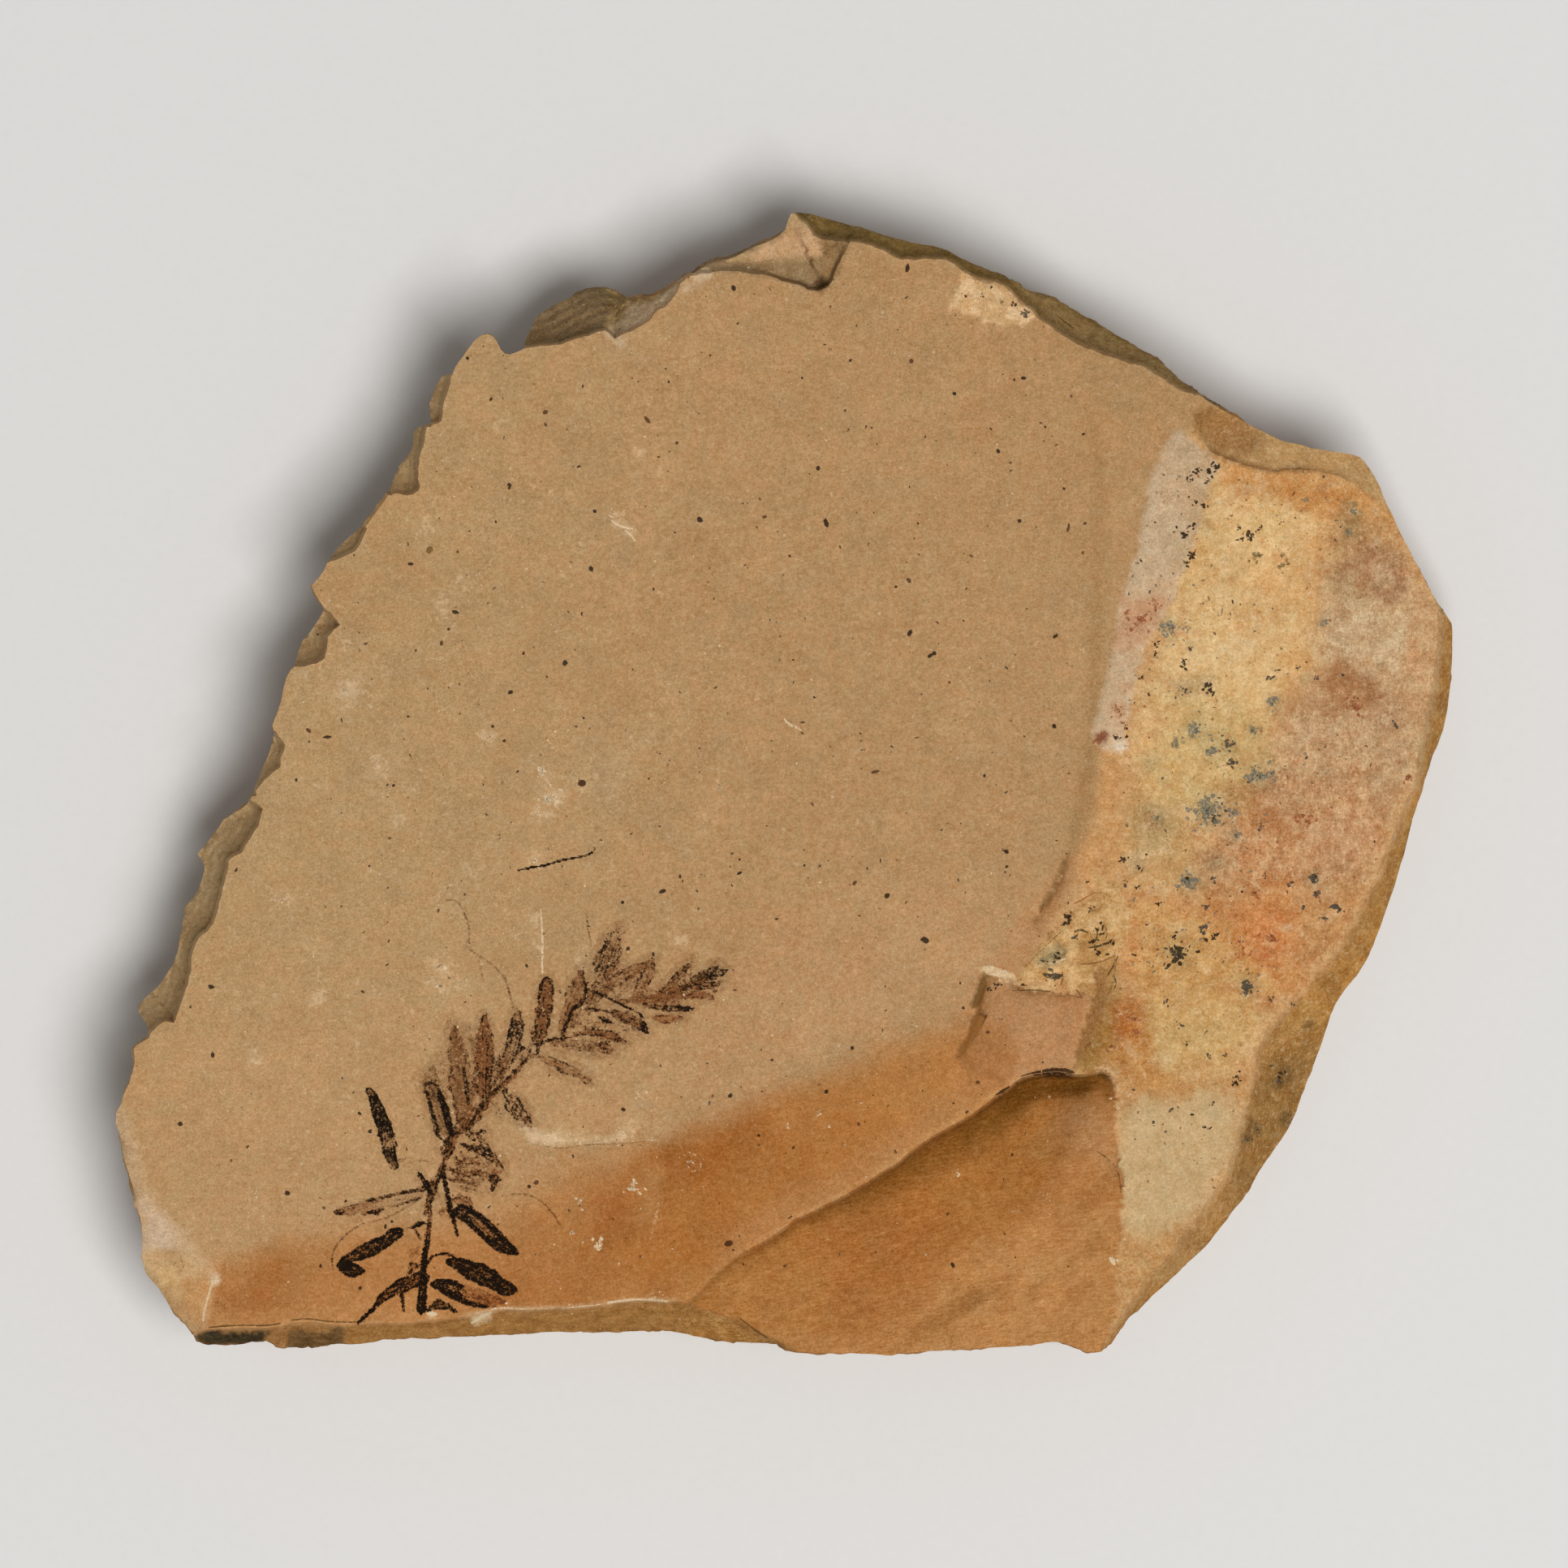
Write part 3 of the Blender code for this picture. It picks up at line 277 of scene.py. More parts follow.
# Short steps within the open faces: photograph line (the surface is lower on
# its left-hand side, walking along it), deepest drop in mm, plan width of the
# riser in mm, and how far to the side the drop fades out in mm.
STEPS = [
    # two risers where the bedding plane breaks down towards the weathered face
    ([(1319, 1048), (1313, 1060), (1306, 1078), (1298, 1096), (1288, 1112),
      (1279, 1127), (1270, 1142)], 1.0, 0.75, 5.0),
    ([(1218, 1192), (1216, 1202), (1209, 1220), (1203, 1236), (1199, 1252),
      (1191, 1272), (1184, 1290), (1176, 1306)], 1.3, 0.85, 9.0),
    ([(1219, 1244), (1212, 1256), (1204, 1268), (1197, 1280)], 0.35, 0.45, 3.0),
    # crumbled rind above the lower right scar
    ([(1343, 1222), (1330, 1226), (1312, 1225), (1290, 1222), (1268, 1221),
      (1249, 1214), (1243, 1200)], 0.8, 0.6, 5.0),
    ([(1356, 1098), (1341, 1112), (1328, 1122), (1314, 1134), (1301, 1147),
      (1285, 1163), (1270, 1180), (1258, 1198)], 0.4, 0.4, 3.0),
    # steeper strip beside the scar's upper corner
    ([(1352, 1186), (1349, 1206), (1346, 1226), (1340, 1250), (1335, 1270),
      (1327, 1298), (1322, 1320)], 1.0, 2.4, 8.0),
    # slight break of slope across the scar's floor
    ([(1290, 1474), (1268, 1502), (1240, 1530), (1205, 1566), (1170, 1590),
      (1130, 1618), (1096, 1648)], 0.45, 2.5, 9.0),
    # shallow lip crossing the bedding plane right of the twig
    ([(804, 1402), (770, 1405), (735, 1409), (700, 1412), (670, 1411),
      (652, 1405), (640, 1394)], 0.25, 0.5, 9.0),
    # flake missing in the scar's upper right corner
    ([(1381, 1474), (1380, 1452), (1374, 1438), (1362, 1428), (1350, 1418)],
     0.45, 0.5, 3.0),
]


# ---------------------------------------------------------------- measuring
def along(line):
    """Running length at each point of a line."""
    return np.concatenate([[0], np.cumsum(np.hypot(*np.diff(line, axis=0).T))])


def nearest(points, line):
    """Distance from each point to a line, and how far along it that is."""
    runs = along(line)
    best = np.full(len(points), 1e9)
    where = np.zeros(len(points))
    for a, b, run in zip(line[:-1], line[1:], runs[:-1]):
        ab = b - a
        length = math.hypot(*ab)
        if length < 1e-9:
            continue
        t = np.clip(((points - a) @ ab) / length**2, 0, 1)
        gap = np.hypot(*(points - a - t[:, None] * ab).T)
        closer = gap < best
        best[closer] = gap[closer]
        where[closer] = run + t[closer] * length
    return best, where


def inside(points, polygon):
    """True for the points inside a closed polygon."""
    x, y = points.T
    result = np.zeros(len(points), bool)
    for (x0, y0), (x1, y1) in zip(polygon, np.roll(polygon, -1, axis=0)):
        if y0 == y1:
            continue
        crosses = (y0 > y) != (y1 > y)
        result ^= crosses & (x < (x1 - x0) * (y - y0) / (y1 - y0) + x0)
    return result


def beyond(points, line, around):
    """How far each point lies past a line, 0 on its near side, and how far along."""
    gap, where = nearest(points, line)
    return np.where(inside(points, np.concatenate([line, around])), gap, 0.0), where


def table(line, rows, column):
    """A value listed at some points of a line, as a function of running length."""
    spots = mm([r[0] for r in rows])
    at = nearest(spots, line)[1]
    order = np.argsort(at)
    values = np.array([r[column] for r in rows], float)
    return lambda where: np.interp(where, at[order], values[order])


def ease(t):
    t = np.clip(t, 0, 1)
    return t * t * (3 - 2 * t)


CLIFF = 0.3              # mm, plan width of a sudden drop


def step(points, line, drop, width, fade):
    """How far a short step lowers the surface at each point."""
    line = mm(line)
    gap, where = nearest(points, line)
    low, high = line.min(0) - 4 * fade, line.max(0) + 4 * fade
    near = ((points > low) & (points < high)).all(1)
    runs = along(line)
    k = np.clip(np.searchsorted(runs, where, side="right") - 1, 0, len(line) - 2)
    ab = line[k + 1] - line[k]
    ap = points - line[k]
    left = ab[:, 0] * ap[:, 1] - ab[:, 1] * ap[:, 0] > 0
    t = where / runs[-1]
    taper = np.sqrt(np.clip(4 * t * (1 - t), 0, 1))
    return np.where(near & left,
                    drop * taper * ease(gap / width) * np.exp(-(gap / fade) ** 1.5), 0.0)


def height(points):
    """Height in mm of the stone's upper surface at plan points in mm."""
    x, y = points.T
    z = THICK + 0.12 * np.sin(x / 19 + 0.6) * np.cos(y / 23) - 0.00006 * (x + 20) ** 2
    # weathered face on the right
    d, _ = beyond(points, TURN, TURN_AROUND)
    z -= 0.25 * d * d / (d + 4.0)
    # bevel at the upper right corner
    d, _ = beyond(points, BEVEL_EDGE, BEVEL_EDGE_AROUND)
    z -= 0.25 * ease(d / CLIFF) + 0.62 * d
    # scar at the lower right
    d, s = beyond(points, SCAR, np.concatenate([SCAR_SIDE, SCAR_AROUND]))
    side, _ = nearest(points, SCAR_SIDE)
    depth = table(SCAR, SCAR_DEPTHS, 1)(s)
    fade = 0.1 + 0.9 * ease(side / 10.0)
    hollow = table(SCAR, SCAR_DEPTHS, 2)(s)
    z -= depth * fade * (1 - np.exp(-d / hollow)) * (1 - 0.25 * ease((d - 5) / 18))
    near_scar, _ = nearest(points, SCAR)
    z -= 0.3 * np.exp(-near_scar / 1.2)
    # broken face along the right side
    d, s = beyond(points, RIDGE, RIDGE_AROUND)
    z -= table(RIDGE, RIDGE_FALLS, 1)(s) * d
    # worn corner at the lower left
    d, _ = beyond(points, CORNER, CORNER_AROUND)
    z -= 0.55 * d + 0.03 * d * d
    # edge along the bottom
    d, s = beyond(points, FOOT_EDGE, FOOT_EDGE_AROUND)
    z -= table(FOOT_EDGE, FOOT_FALLS, 1)(s) * ease(d / CLIFF)
    z -= table(FOOT_EDGE, FOOT_FALLS, 2)(s) * d
    # steep face along the top right
    d, s = beyond(points, TOP_EDGE, TOP_EDGE_AROUND)
    z -= 0.8 * ease(d / CLIFF) + 2.3 * d
    for line, drop, width, reach in STEPS:
        z -= step(points, line, drop, width, reach)
    # layers broken back along the top left and the left
    d, s = beyond(points, LEFT_EDGE, LEFT_EDGE_AROUND)
    z -= table(LEFT_EDGE, LEFT_EDGE_DROPS, 1)(s) * ease(d / CLIFF)
    z -= table(LEFT_EDGE, LEFT_EDGE_DROPS, 2)(s) * d
    return np.maximum(z, LOWEST_RIM)


# The underside is the parting plane that the plate lies on, with two shallow
# scars where a flake has come away.
UNDER_SCARS = [
    (mm([(520, 700), (610, 640), (700, 655), (760, 600), (860, 590), (900, 480),
         (860, 300), (500, 300), (300, 600), (330, 860), (420, 800), (455, 730)]), 0.9),
    (mm([(1290, 1120), (1360, 1060), (1440, 1075), (1500, 1010), (1620, 1000),
         (1760, 940), (1800, 1300), (1600, 1500), (1400, 1600), (1180, 1700),
         (1150, 1520), (1200, 1440), (1190, 1340), (1250, 1260), (1245, 1180)]), 1.3),
]


def underside(points):
    """Height in mm of the underside: 0 on the parting plane."""
    z = np.zeros(len(points))
    for scar, depth in UNDER_SCARS:
        closed = np.concatenate([scar, scar[:1]])
        d = np.where(inside(points, scar), nearest(points, closed)[0], 0.0)
        z = np.maximum(z, depth * ease(d / 0.5) * (0.75 + 0.25 * ease(d / 12)))
    return z


def resample(line, step, closed=False):
    """The line with a point about every step mm, its own corners kept."""
    if closed:
        line = np.concatenate([line, line[:1]])
    made = []
    for a, b in zip(line[:-1], line[1:]):
        n = max(1, round(math.hypot(*(b - a)) / step))
        made += [a + (b - a) * k / n for k in range(n)]
    if not closed:
        made.append(line[-1])
    return np.array(made)


def smooth_closed(ring, reach, count=720):
    """A closed ring at even spacing, rounded over reach mm, and its total length."""
    closed = np.concatenate([ring, ring[:1]])
    runs = along(closed)
    even = np.linspace(0, runs[-1], count, endpoint=False)
    curve = np.stack([np.interp(even, runs, closed[:, k]) for k in (0, 1)], 1)
    step = runs[-1] / count
    half = int(3 * reach / step)
    weights = np.exp(-0.5 * (np.arange(-half, half + 1) * step / reach) ** 2)
    weights /= weights.sum()
    return np.stack([
        sum(w * np.roll(curve[:, k], j) for j, w in zip(range(-half, half + 1), weights))
        for k in (0, 1)], 1), runs[-1]


# The broken side.  Below the rim the stone is cut back, more at some beds than at
# others.  A bed starts at a height in mm, and is cut back by up to so many mm, in
# a way that changes round the rim: waves round the rim, and their phase.
BEDS = [
    (22.6, 0.55, 9, 0.3), (20.3, -0.35, 5, 1.9), (17.9, 0.80, 7, 2.6),
    (15.2, 0.45, 13, 4.4), (12.4, -0.55, 6, 0.9), (10.1, 0.85, 8, 3.7),
    (7.2, 0.50, 11, 5.6), (4.6, -0.40, 5, 2.2),
]
# Scoops broken out of the side: share of the way round the rim, height in mm,
# half width and half height in mm, depth in mm.
SCOOPS = [
    (0.035, 12, 13, 10, 1.6), (0.095, 6, 9, 7, 1.3), (0.16, 14, 12, 8, 1.8),
    (0.225, 5, 14, 8, 1.5), (0.33, 8, 13, 7, 1.4), (0.385, 4, 9, 6, 1.2),
    (0.445, 10, 15, 9, 2.0), (0.53, 13, 12, 9, 1.7), (0.575, 6, 10, 8, 1.4),
    (0.64, 12, 16, 10, 2.1), (0.70, 5, 10, 7, 1.4), (0.745, 11, 11, 8, 1.6),
    (0.80, 6, 13, 8, 1.8), (0.86, 12, 10, 9, 1.5), (0.915, 5, 12, 8, 1.5),
    (0.965, 9, 9, 8, 1.3),
]
CUT_BACK = 3.0           # mm, how far the underside's edge is within the rounded rim


def cut_back(turn, z):
    """How many mm the side is cut back at a share of the way round and a height."""
    angle = 2 * math.pi * turn
    out = np.zeros(np.broadcast(turn, z).shape)
    for level, depth, waves, phase in BEDS:
        tilt = 0.9 * np.sin(angle * 2 + level) + 0.35 * np.sin(angle * 17 + 3 * level)
        amount = 0.5 + 0.5 * np.sin(angle * waves + phase)
        out = out + depth * amount * ease((level + tilt - z) / 0.7)
    for at, level, wide, tall, depth in SCOOPS:
        around = (turn - at + 0.5) % 1 - 0.5
        r2 = (around * 540 / wide) ** 2 + ((z - level) / tall) ** 2
        out = out + depth * np.clip(1 - r2, 0, 1) ** 1.2
    return out


def side_frame(ring):
    """For each rim point: share of the way round, and its underside point."""
    curve, total = smooth_closed(ring, 5.0)
    tangent = np.roll(curve, -1, axis=0) - np.roll(curve, 1, axis=0)
    tangent /= np.hypot(*tangent.T)[:, None]
    inward = np.stack([tangent[:, 1], -tangent[:, 0]], 1)     # the rim runs clockwise
    even = np.linspace(0, 1, len(curve) + 1)
    angle = even[:-1] * 2 * math.pi
    inset = CUT_BACK * (1.0 + 0.35 * np.sin(7 * angle + 1.0) + 0.25 * np.sin(11 * angle))
    base = curve + inward * inset[:, None]
    base = np.concatenate([base, base[:1]])
    facing = np.concatenate([inward, inward[:1]])
    runs = along(np.concatenate([ring, ring[:1]]))
    turn = runs[:-1] / runs[-1]
    pick = lambda rows: np.stack([np.interp(turn, even, rows[:, k]) for k in (0, 1)], 1)
    return turn, pick(base), pick(facing)


def foot_height(turn):
    """Height in mm at which the side meets the broken lower arris."""
    angle = 2 * math.pi * turn
    return 2.0 + 0.8 * np.sin(5 * angle + 0.4) + 0.5 * np.sin(13 * angle)


def side(ring, top, turn, base, facing, share):
    """Plan and height of the side, share of the way down from the rim to its foot."""
    z = top * (1 - share) + foot_height(turn) * share
    fall = (top - z) / THICK
    at = ring + (base - ring) * (share**1.3)[:, None]
    hide = ease((top - z) / 2.0)
    return at + facing * (cut_back(turn, z) * hide * (0.35 + 0.65 * (1 - share)) + 0.6 * fall)[:, None], z


def placed(x, y, z):
    """A position in metres.  What lies lower looks smaller to the eye above, so
    its plan position is a little further out than it looks."""
    out = 1 + (THICK - z) / EYE
    return (x * out - CENTRE[0]) * 0.001, (y * out - CENTRE[1]) * 0.001, z * 0.001


# ---------------------------------------------------------------- noise
LATTICE = np.random.default_rng(11).random((64, 64, 64)) * 2 - 1


def noise(points, size, seed=0):
    """Smooth noise from -1 to 1 with features about size mm across."""
    p = np.zeros((len(points), 3))
    p[:, :points.shape[1]] = points
    p = p / size + np.array([17.31, 5.93, 11.17]) * (seed + 1)
    k = np.floor(p).astype(int)
    f = p - k
    f = f * f * (3 - 2 * f)
    out = np.zeros(len(p))
    for dx in (0, 1):
        for dy in (0, 1):
            for dz in (0, 1):
                w = ((f[:, 0] if dx else 1 - f[:, 0]) * (f[:, 1] if dy else 1 - f[:, 1])
                     * (f[:, 2] if dz else 1 - f[:, 2]))
                out += w * LATTICE[(k[:, 0] + dx) % 64, (k[:, 1] + dy) % 64, (k[:, 2] + dz) % 64]
    return out


def fractal(points, size, octaves=3, seed=0, gain=0.55):
    """Noise with finer and finer detail, still about -1 to 1."""
    total, weight, share = 0.0, 0.0, 1.0
    for k in range(octaves):
        total = total + share * noise(points, size / 2.03**k, seed + 31 * k)
        weight += share
        share *= gain
    return total / weight * 1.5


# ---------------------------------------------------------------- fine lines
def quick_nearest(points, line):
    """nearest() for a finely divided line, by way of its nearest division."""
    if len(line) < 24 or len(points) < 400:
        return nearest(points, line)
    tree = KDTree(len(line))
    for k, (x, y) in enumerate(line):
        tree.insert((x, y, 0), k)
    tree.balance()
    near = np.array([tree.find((x, y, 0))[1] for x, y in points])
    runs = along(line)
    best = np.full(len(points), 1e9)
    where = np.zeros(len(points))
    for shift in (-1, 0):
        k = np.clip(near + shift, 0, len(line) - 2)
        a, ab = line[k], line[k + 1] - line[k]
        length2 = np.maximum((ab**2).sum(1), 1e-12)
        t = np.clip(((points - a) * ab).sum(1) / length2, 0, 1)
        gap = np.hypot(*(points - a - t[:, None] * ab).T)
        closer = gap < best
        best[closer] = gap[closer]
        where[closer] = runs[k][closer] + (t * np.sqrt(length2))[closer]
    return best, where


FINE = 0.4     # mm, spacing of points along the broken edges


def rough(line, amount, seed, size=1.8, inward=False, closed=False, step=FINE):
    """The line finely divided, and made ragged sideways by up to amount mm."""
    fine = resample(line, step, closed)
    if closed:
        tangent = np.roll(fine, -1, axis=0) - np.roll(fine, 1, axis=0)
    else:
        tangent = np.gradient(fine, axis=0)
    tangent /= np.maximum(np.hypot(*tangent.T), 1e-9)[:, None]
    normal = np.stack([tangent[:, 1], -tangent[:, 0]], 1)
    wave = fractal(fine, size, 3, seed)
    if inward:
        wave = 0.5 + 0.5 * np.clip(wave, -1, 1)
    return fine + normal * (wave * amount)[:, None]


RIM = rough(RIM, 0.16, 1, 1.5, inward=True, closed=True)
LEFT_EDGE = rough(LEFT_EDGE, 0.17, 2, 1.4)
TOP_EDGE = rough(TOP_EDGE, 0.20, 3, 1.6)
BEVEL_EDGE = rough(BEVEL_EDGE, 0.22, 4, 1.8)
TURN = rough(TURN, 0.25, 5, 3.0)
RIDGE = rough(RIDGE, 0.38, 6, 2.4)
CORNER = rough(CORNER, 0.30, 7, 2.4)
FOOT_EDGE = rough(FOOT_EDGE, 0.13, 8, 1.5)
SCAR = rough(SCAR, 0.08, 9, 2.0)
SCAR_SIDE = rough(SCAR_SIDE, 0.05, 10, 3.0)
FINE_STEPS = [(rough(mm(line), 0.16, 20 + k, 1.2), drop, width, fade)
              for k, (line, drop, width, fade) in enumerate(STEPS)]

# The worn crust between the bedding plane and the weathered face: a pale strip.
CRUST = mm([
    (1450, 530), (1470, 545), (1490, 560), (1500, 572), (1490, 600), (1480, 640),
    (1462, 700), (1445, 740), (1428, 770), (1415, 790), (1405, 820), (1398, 850),
    (1390, 890), (1385, 925), (1362, 928), (1342, 905), (1350, 890), (1360, 850),
    (1368, 820), (1378, 790), (1375, 760), (1380, 745), (1392, 715), (1402, 680),
    (1410, 640), (1418, 600), (1425, 570), (1435, 545),
])
# Crumbled yellow rind above the scar, and the cream crumbs left at two edges.
CRUMBLE = mm([
    (1360, 1082), (1352, 1100), (1328, 1122), (1300, 1148), (1270, 1180), (1256, 1198),
    (1246, 1214), (1290, 1224), (1345, 1226), (1362, 1200), (1384, 1165), (1392, 1120),
    (1380, 1090),
])
TOP_CREAM = mm([
    (1185, 335), (1213, 346), (1240, 355), (1260, 374), (1275, 388), (1255, 400),
    (1210, 398), (1195, 388), (1165, 378), (1180, 350),
])
MID_CREAM = mm([
    (1208, 1193), (1218, 1191), (1230, 1194), (1245, 1197), (1252, 1202), (1250, 1210),
    (1235, 1210), (1215, 1198),
])
PINK_FACET = mm([
    (1228, 1212), (1260, 1222), (1300, 1226), (1340, 1228), (1346, 1240), (1338, 1262),
    (1330, 1290), (1324, 1318), (1290, 1320), (1262, 1325), (1244, 1336), (1210, 1350),
    (1200, 1320), (1206, 1290), (1216, 1250),
])


# Open cracks: line, half width and depth in mm.
CRACKS = [
    ([(1274, 1320), (1290, 1318), (1306, 1317), (1320, 1320)], 0.24, 0.45),
    ([(1228, 1349), (1235, 1344), (1242, 1340)], 0.22, 0.4),
]


# Low swells on the scar's floor: line, height and half width in mm.
SWELLS = [
    ([(1330, 1395), (1316, 1425), (1300, 1460), (1270, 1510), (1240, 1552)], 0.30, 1.7),
    ([(1190, 1588), (1225, 1577), (1262, 1574), (1296, 1588)], 0.15, 0.55),
    ([(1180, 1610), (1215, 1598), (1255, 1596), (1292, 1611)], 0.15, 0.55),
    ([(1196, 1632), (1240, 1619), (1284, 1630)], 0.12, 0.5),
    ([(1120, 1560), (1090, 1590), (1056, 1630)], 0.16, 1.2),
    ([(1010, 1580), (980, 1610), (958, 1640)], 0.12, 1.0),
]


def within(points, polygon, soft, ragged=0.0, size=2.0, seed=0):
    """1 well inside a polygon, 0 well outside, over soft mm and a ragged border."""
    out = np.zeros(len(points))
    margin = soft + ragged * 1.6 + 0.1
    near = ((points > polygon.min(0) - margin) & (points < polygon.max(0) + margin)).all(1)
    if not near.any():
        return out
    p = points[near]
    gap, _ = nearest(p, np.concatenate([polygon, polygon[:1]]))
    d = np.where(inside(p, polygon), gap, -gap)
    if ragged:
        d = d + ragged * fractal(p, size, 4, 60 + seed)
    out[near] = ease(0.5 + d / soft)
    return out


def terraces(z, tall, sharp):
    """Heights gathered into layers tall mm thick."""
    k = np.floor(z / tall)
    f = z / tall - k
    return tall * (k + np.clip((f - 0.5) * sharp + 0.5, 0, 1))


def spread(points, rows, column):
    """A value listed at some places, blended over the plane between them."""
    total, weight = 0.0, 0.0
    for row in rows:
        d2 = ((points - mm([row[0]])[0]) ** 2).sum(1) + 1.0
        total = total + row[column] / d2**1.5
        weight = weight + 1 / d2**1.5
    return total / weight


def survey(points):
    """Height in mm and how far past each edge, for plan points in mm."""
    x, y = points.T
    s = {"x": x, "y": y, "px": x / PX + MID, "py": MID - y / PX}

    def past(name, line, around):
        gap, where = quick_nearest(points, line)
        s[name + "_gap"] = gap
        s[name] = np.where(inside(points, np.concatenate([line, around])), gap, 0.0)
        return s[name], where

    z = THICK - 0.05 + 0.12 * np.sin(x / 19 + 0.6) * np.cos(y / 23) - 0.00006 * (x + 20) ** 2
    d, _ = past("turn", TURN, TURN_AROUND)
    z -= 0.25 * d * d / (d + 4.0)
    d, _ = past("bevel", BEVEL_EDGE, BEVEL_EDGE_AROUND)
    z -= 0.25 * ease(d / CLIFF) + 0.62 * d
    d, at = past("scar", SCAR, np.concatenate([SCAR_SIDE, SCAR_AROUND]))
    side_gap, _ = quick_nearest(points, SCAR_SIDE)
    s["scar_side_gap"] = side_gap
    depth, hollow = spread(points, SCAR_DEPTHS, 1), spread(points, SCAR_DEPTHS, 2)
    fade = 0.02 + 0.98 * ease(side_gap / 9.0)
    z -= depth * fade * (1 - np.exp(-d / (0.40 * hollow))) * (1 - 0.42 * ease((d - 1) / 22))
    s["scar_at"] = at
    z -= 0.3 * np.exp(-s["scar_gap"] / 1.2)
    for line, wide, deep in CRACKS:
        z -= deep * np.exp(-(quick_nearest(points, mm(line))[0] / wide) ** 2)
    d, at = past("ridge", RIDGE, RIDGE_AROUND)
    z -= table(RIDGE, RIDGE_FALLS, 1)(at) * d
    d, _ = past("corner", CORNER, CORNER_AROUND)
    z -= 0.55 * d + 0.03 * d * d
    d, at = past("foot", FOOT_EDGE, FOOT_EDGE_AROUND)
    z -= table(FOOT_EDGE, FOOT_FALLS, 1)(at) * ease(d / CLIFF)
    z -= table(FOOT_EDGE, FOOT_FALLS, 2)(at) * d
    d, _ = past("top", TOP_EDGE, TOP_EDGE_AROUND)
    z -= 0.8 * ease(d / CLIFF) + 2.3 * d
    s["riser"] = np.zeros(len(points))
    for line, drop, width, reach in FINE_STEPS:
        gap, where = quick_nearest(points, line)
        low, high = line.min(0) - 4 * reach, line.max(0) + 4 * reach
        near = ((points > low) & (points < high)).all(1)
        runs = along(line)
        k = np.clip(np.searchsorted(runs, where, side="right") - 1, 0, len(line) - 2)
        ab, ap = line[k + 1] - line[k], points - line[k]
        left = near & (ab[:, 0] * ap[:, 1] - ab[:, 1] * ap[:, 0] > 0)
        t = where / runs[-1]
        taper = np.sqrt(np.clip(4 * t * (1 - t), 0, 1))
        z -= np.where(left, drop * taper * ease(gap / width) * np.exp(-(gap / reach) ** 1.5), 0)
        s["riser"] = np.maximum(s["riser"], np.where(left, taper * drop * np.exp(-gap / width), 0))
    d, at = past("left", LEFT_EDGE, LEFT_EDGE_AROUND)
    z -= table(LEFT_EDGE, LEFT_EDGE_DROPS, 1)(at) * ease(d / CLIFF)
    z -= table(LEFT_EDGE, LEFT_EDGE_DROPS, 2)(at) * d
    s["left_at"] = at

    # ------------------------------------------------ fine relief
    p3 = np.stack([x, y, z], 1)
    weathered = ease(s["turn"] / 2.5) * (1 - ease(s["scar"] / 1.0))
    s["weathered"] = weathered
    s["crust"] = within(points, CRUST, 0.5, 0.45, 1.6, 1)
    s["crumble"] = within(points, CRUMBLE, 1.0, 0.8, 1.8, 2)
    s["cream"] = np.maximum(within(points, TOP_CREAM, 0.35, 0.45, 1.0, 3),
                            within(points, MID_CREAM, 0.3, 0.3, 0.8, 4))
    s["facet"] = within(points, PINK_FACET, 0.8, 0.2, 1.5, 5)
    # the bedding plane: nearly smooth, with shallow waves and a few pits
    z += 0.05 * fractal(points, 9, 2, 3) + 0.028 * fractal(points, 1.7, 2, 4)
    pits = np.clip(noise(points, 1.6, 5) - 0.62, 0, 1) * (noise(points, 9, 6) > 0)
    z -= 0.25 * pits
    # the weathered face: pitted and uneven
    z += weathered * (0.30 * noise(points, 11, 7) + 0.16 * fractal(points, 3.2, 3, 8)
                      + 0.09 * fractal(points, 1.1, 2, 9))
    z -= weathered * 0.45 * np.clip(noise(points, 2.3, 10) - 0.55, 0, 1)
    # crust, crumbs and crumbled rind
    z += s["crust"] * (0.10 + 0.13 * fractal(points, 1.2, 3, 11))
    z += s["cream"] * (0.16 + 0.22 * fractal(points, 1.1, 3, 12))
    ridged = 1 - 2 * np.abs(noise(points, 2.4, 13))
    z += s["crumble"] * (0.32 * ridged + 0.30 * fractal(points, 1.2, 2, 14))
    # the scar: ripples round the place where the break began, and a gentle grain
    inside_scar = ease(s["scar"] / 0.8)
    swells = np.zeros(len(points))
    for line, tall, wide in SWELLS:
        gap, where = quick_nearest(points, mm(line))
        t = where / along(mm(line))[-1]
        swells += tall * np.sqrt(np.clip(4 * t * (1 - t), 0, 1)) * np.exp(-(gap / wide) ** 2)
    z += inside_scar * (swells + 0.22 * noise(points, 10, 16) + 0.07 * fractal(points, 2.2, 3, 17)
                        + 0.05 * noise(np.stack([(points @ [0.80, 0.60]) / 6,
                                                 points @ [-0.60, 0.80]], 1), 1.3, 132))
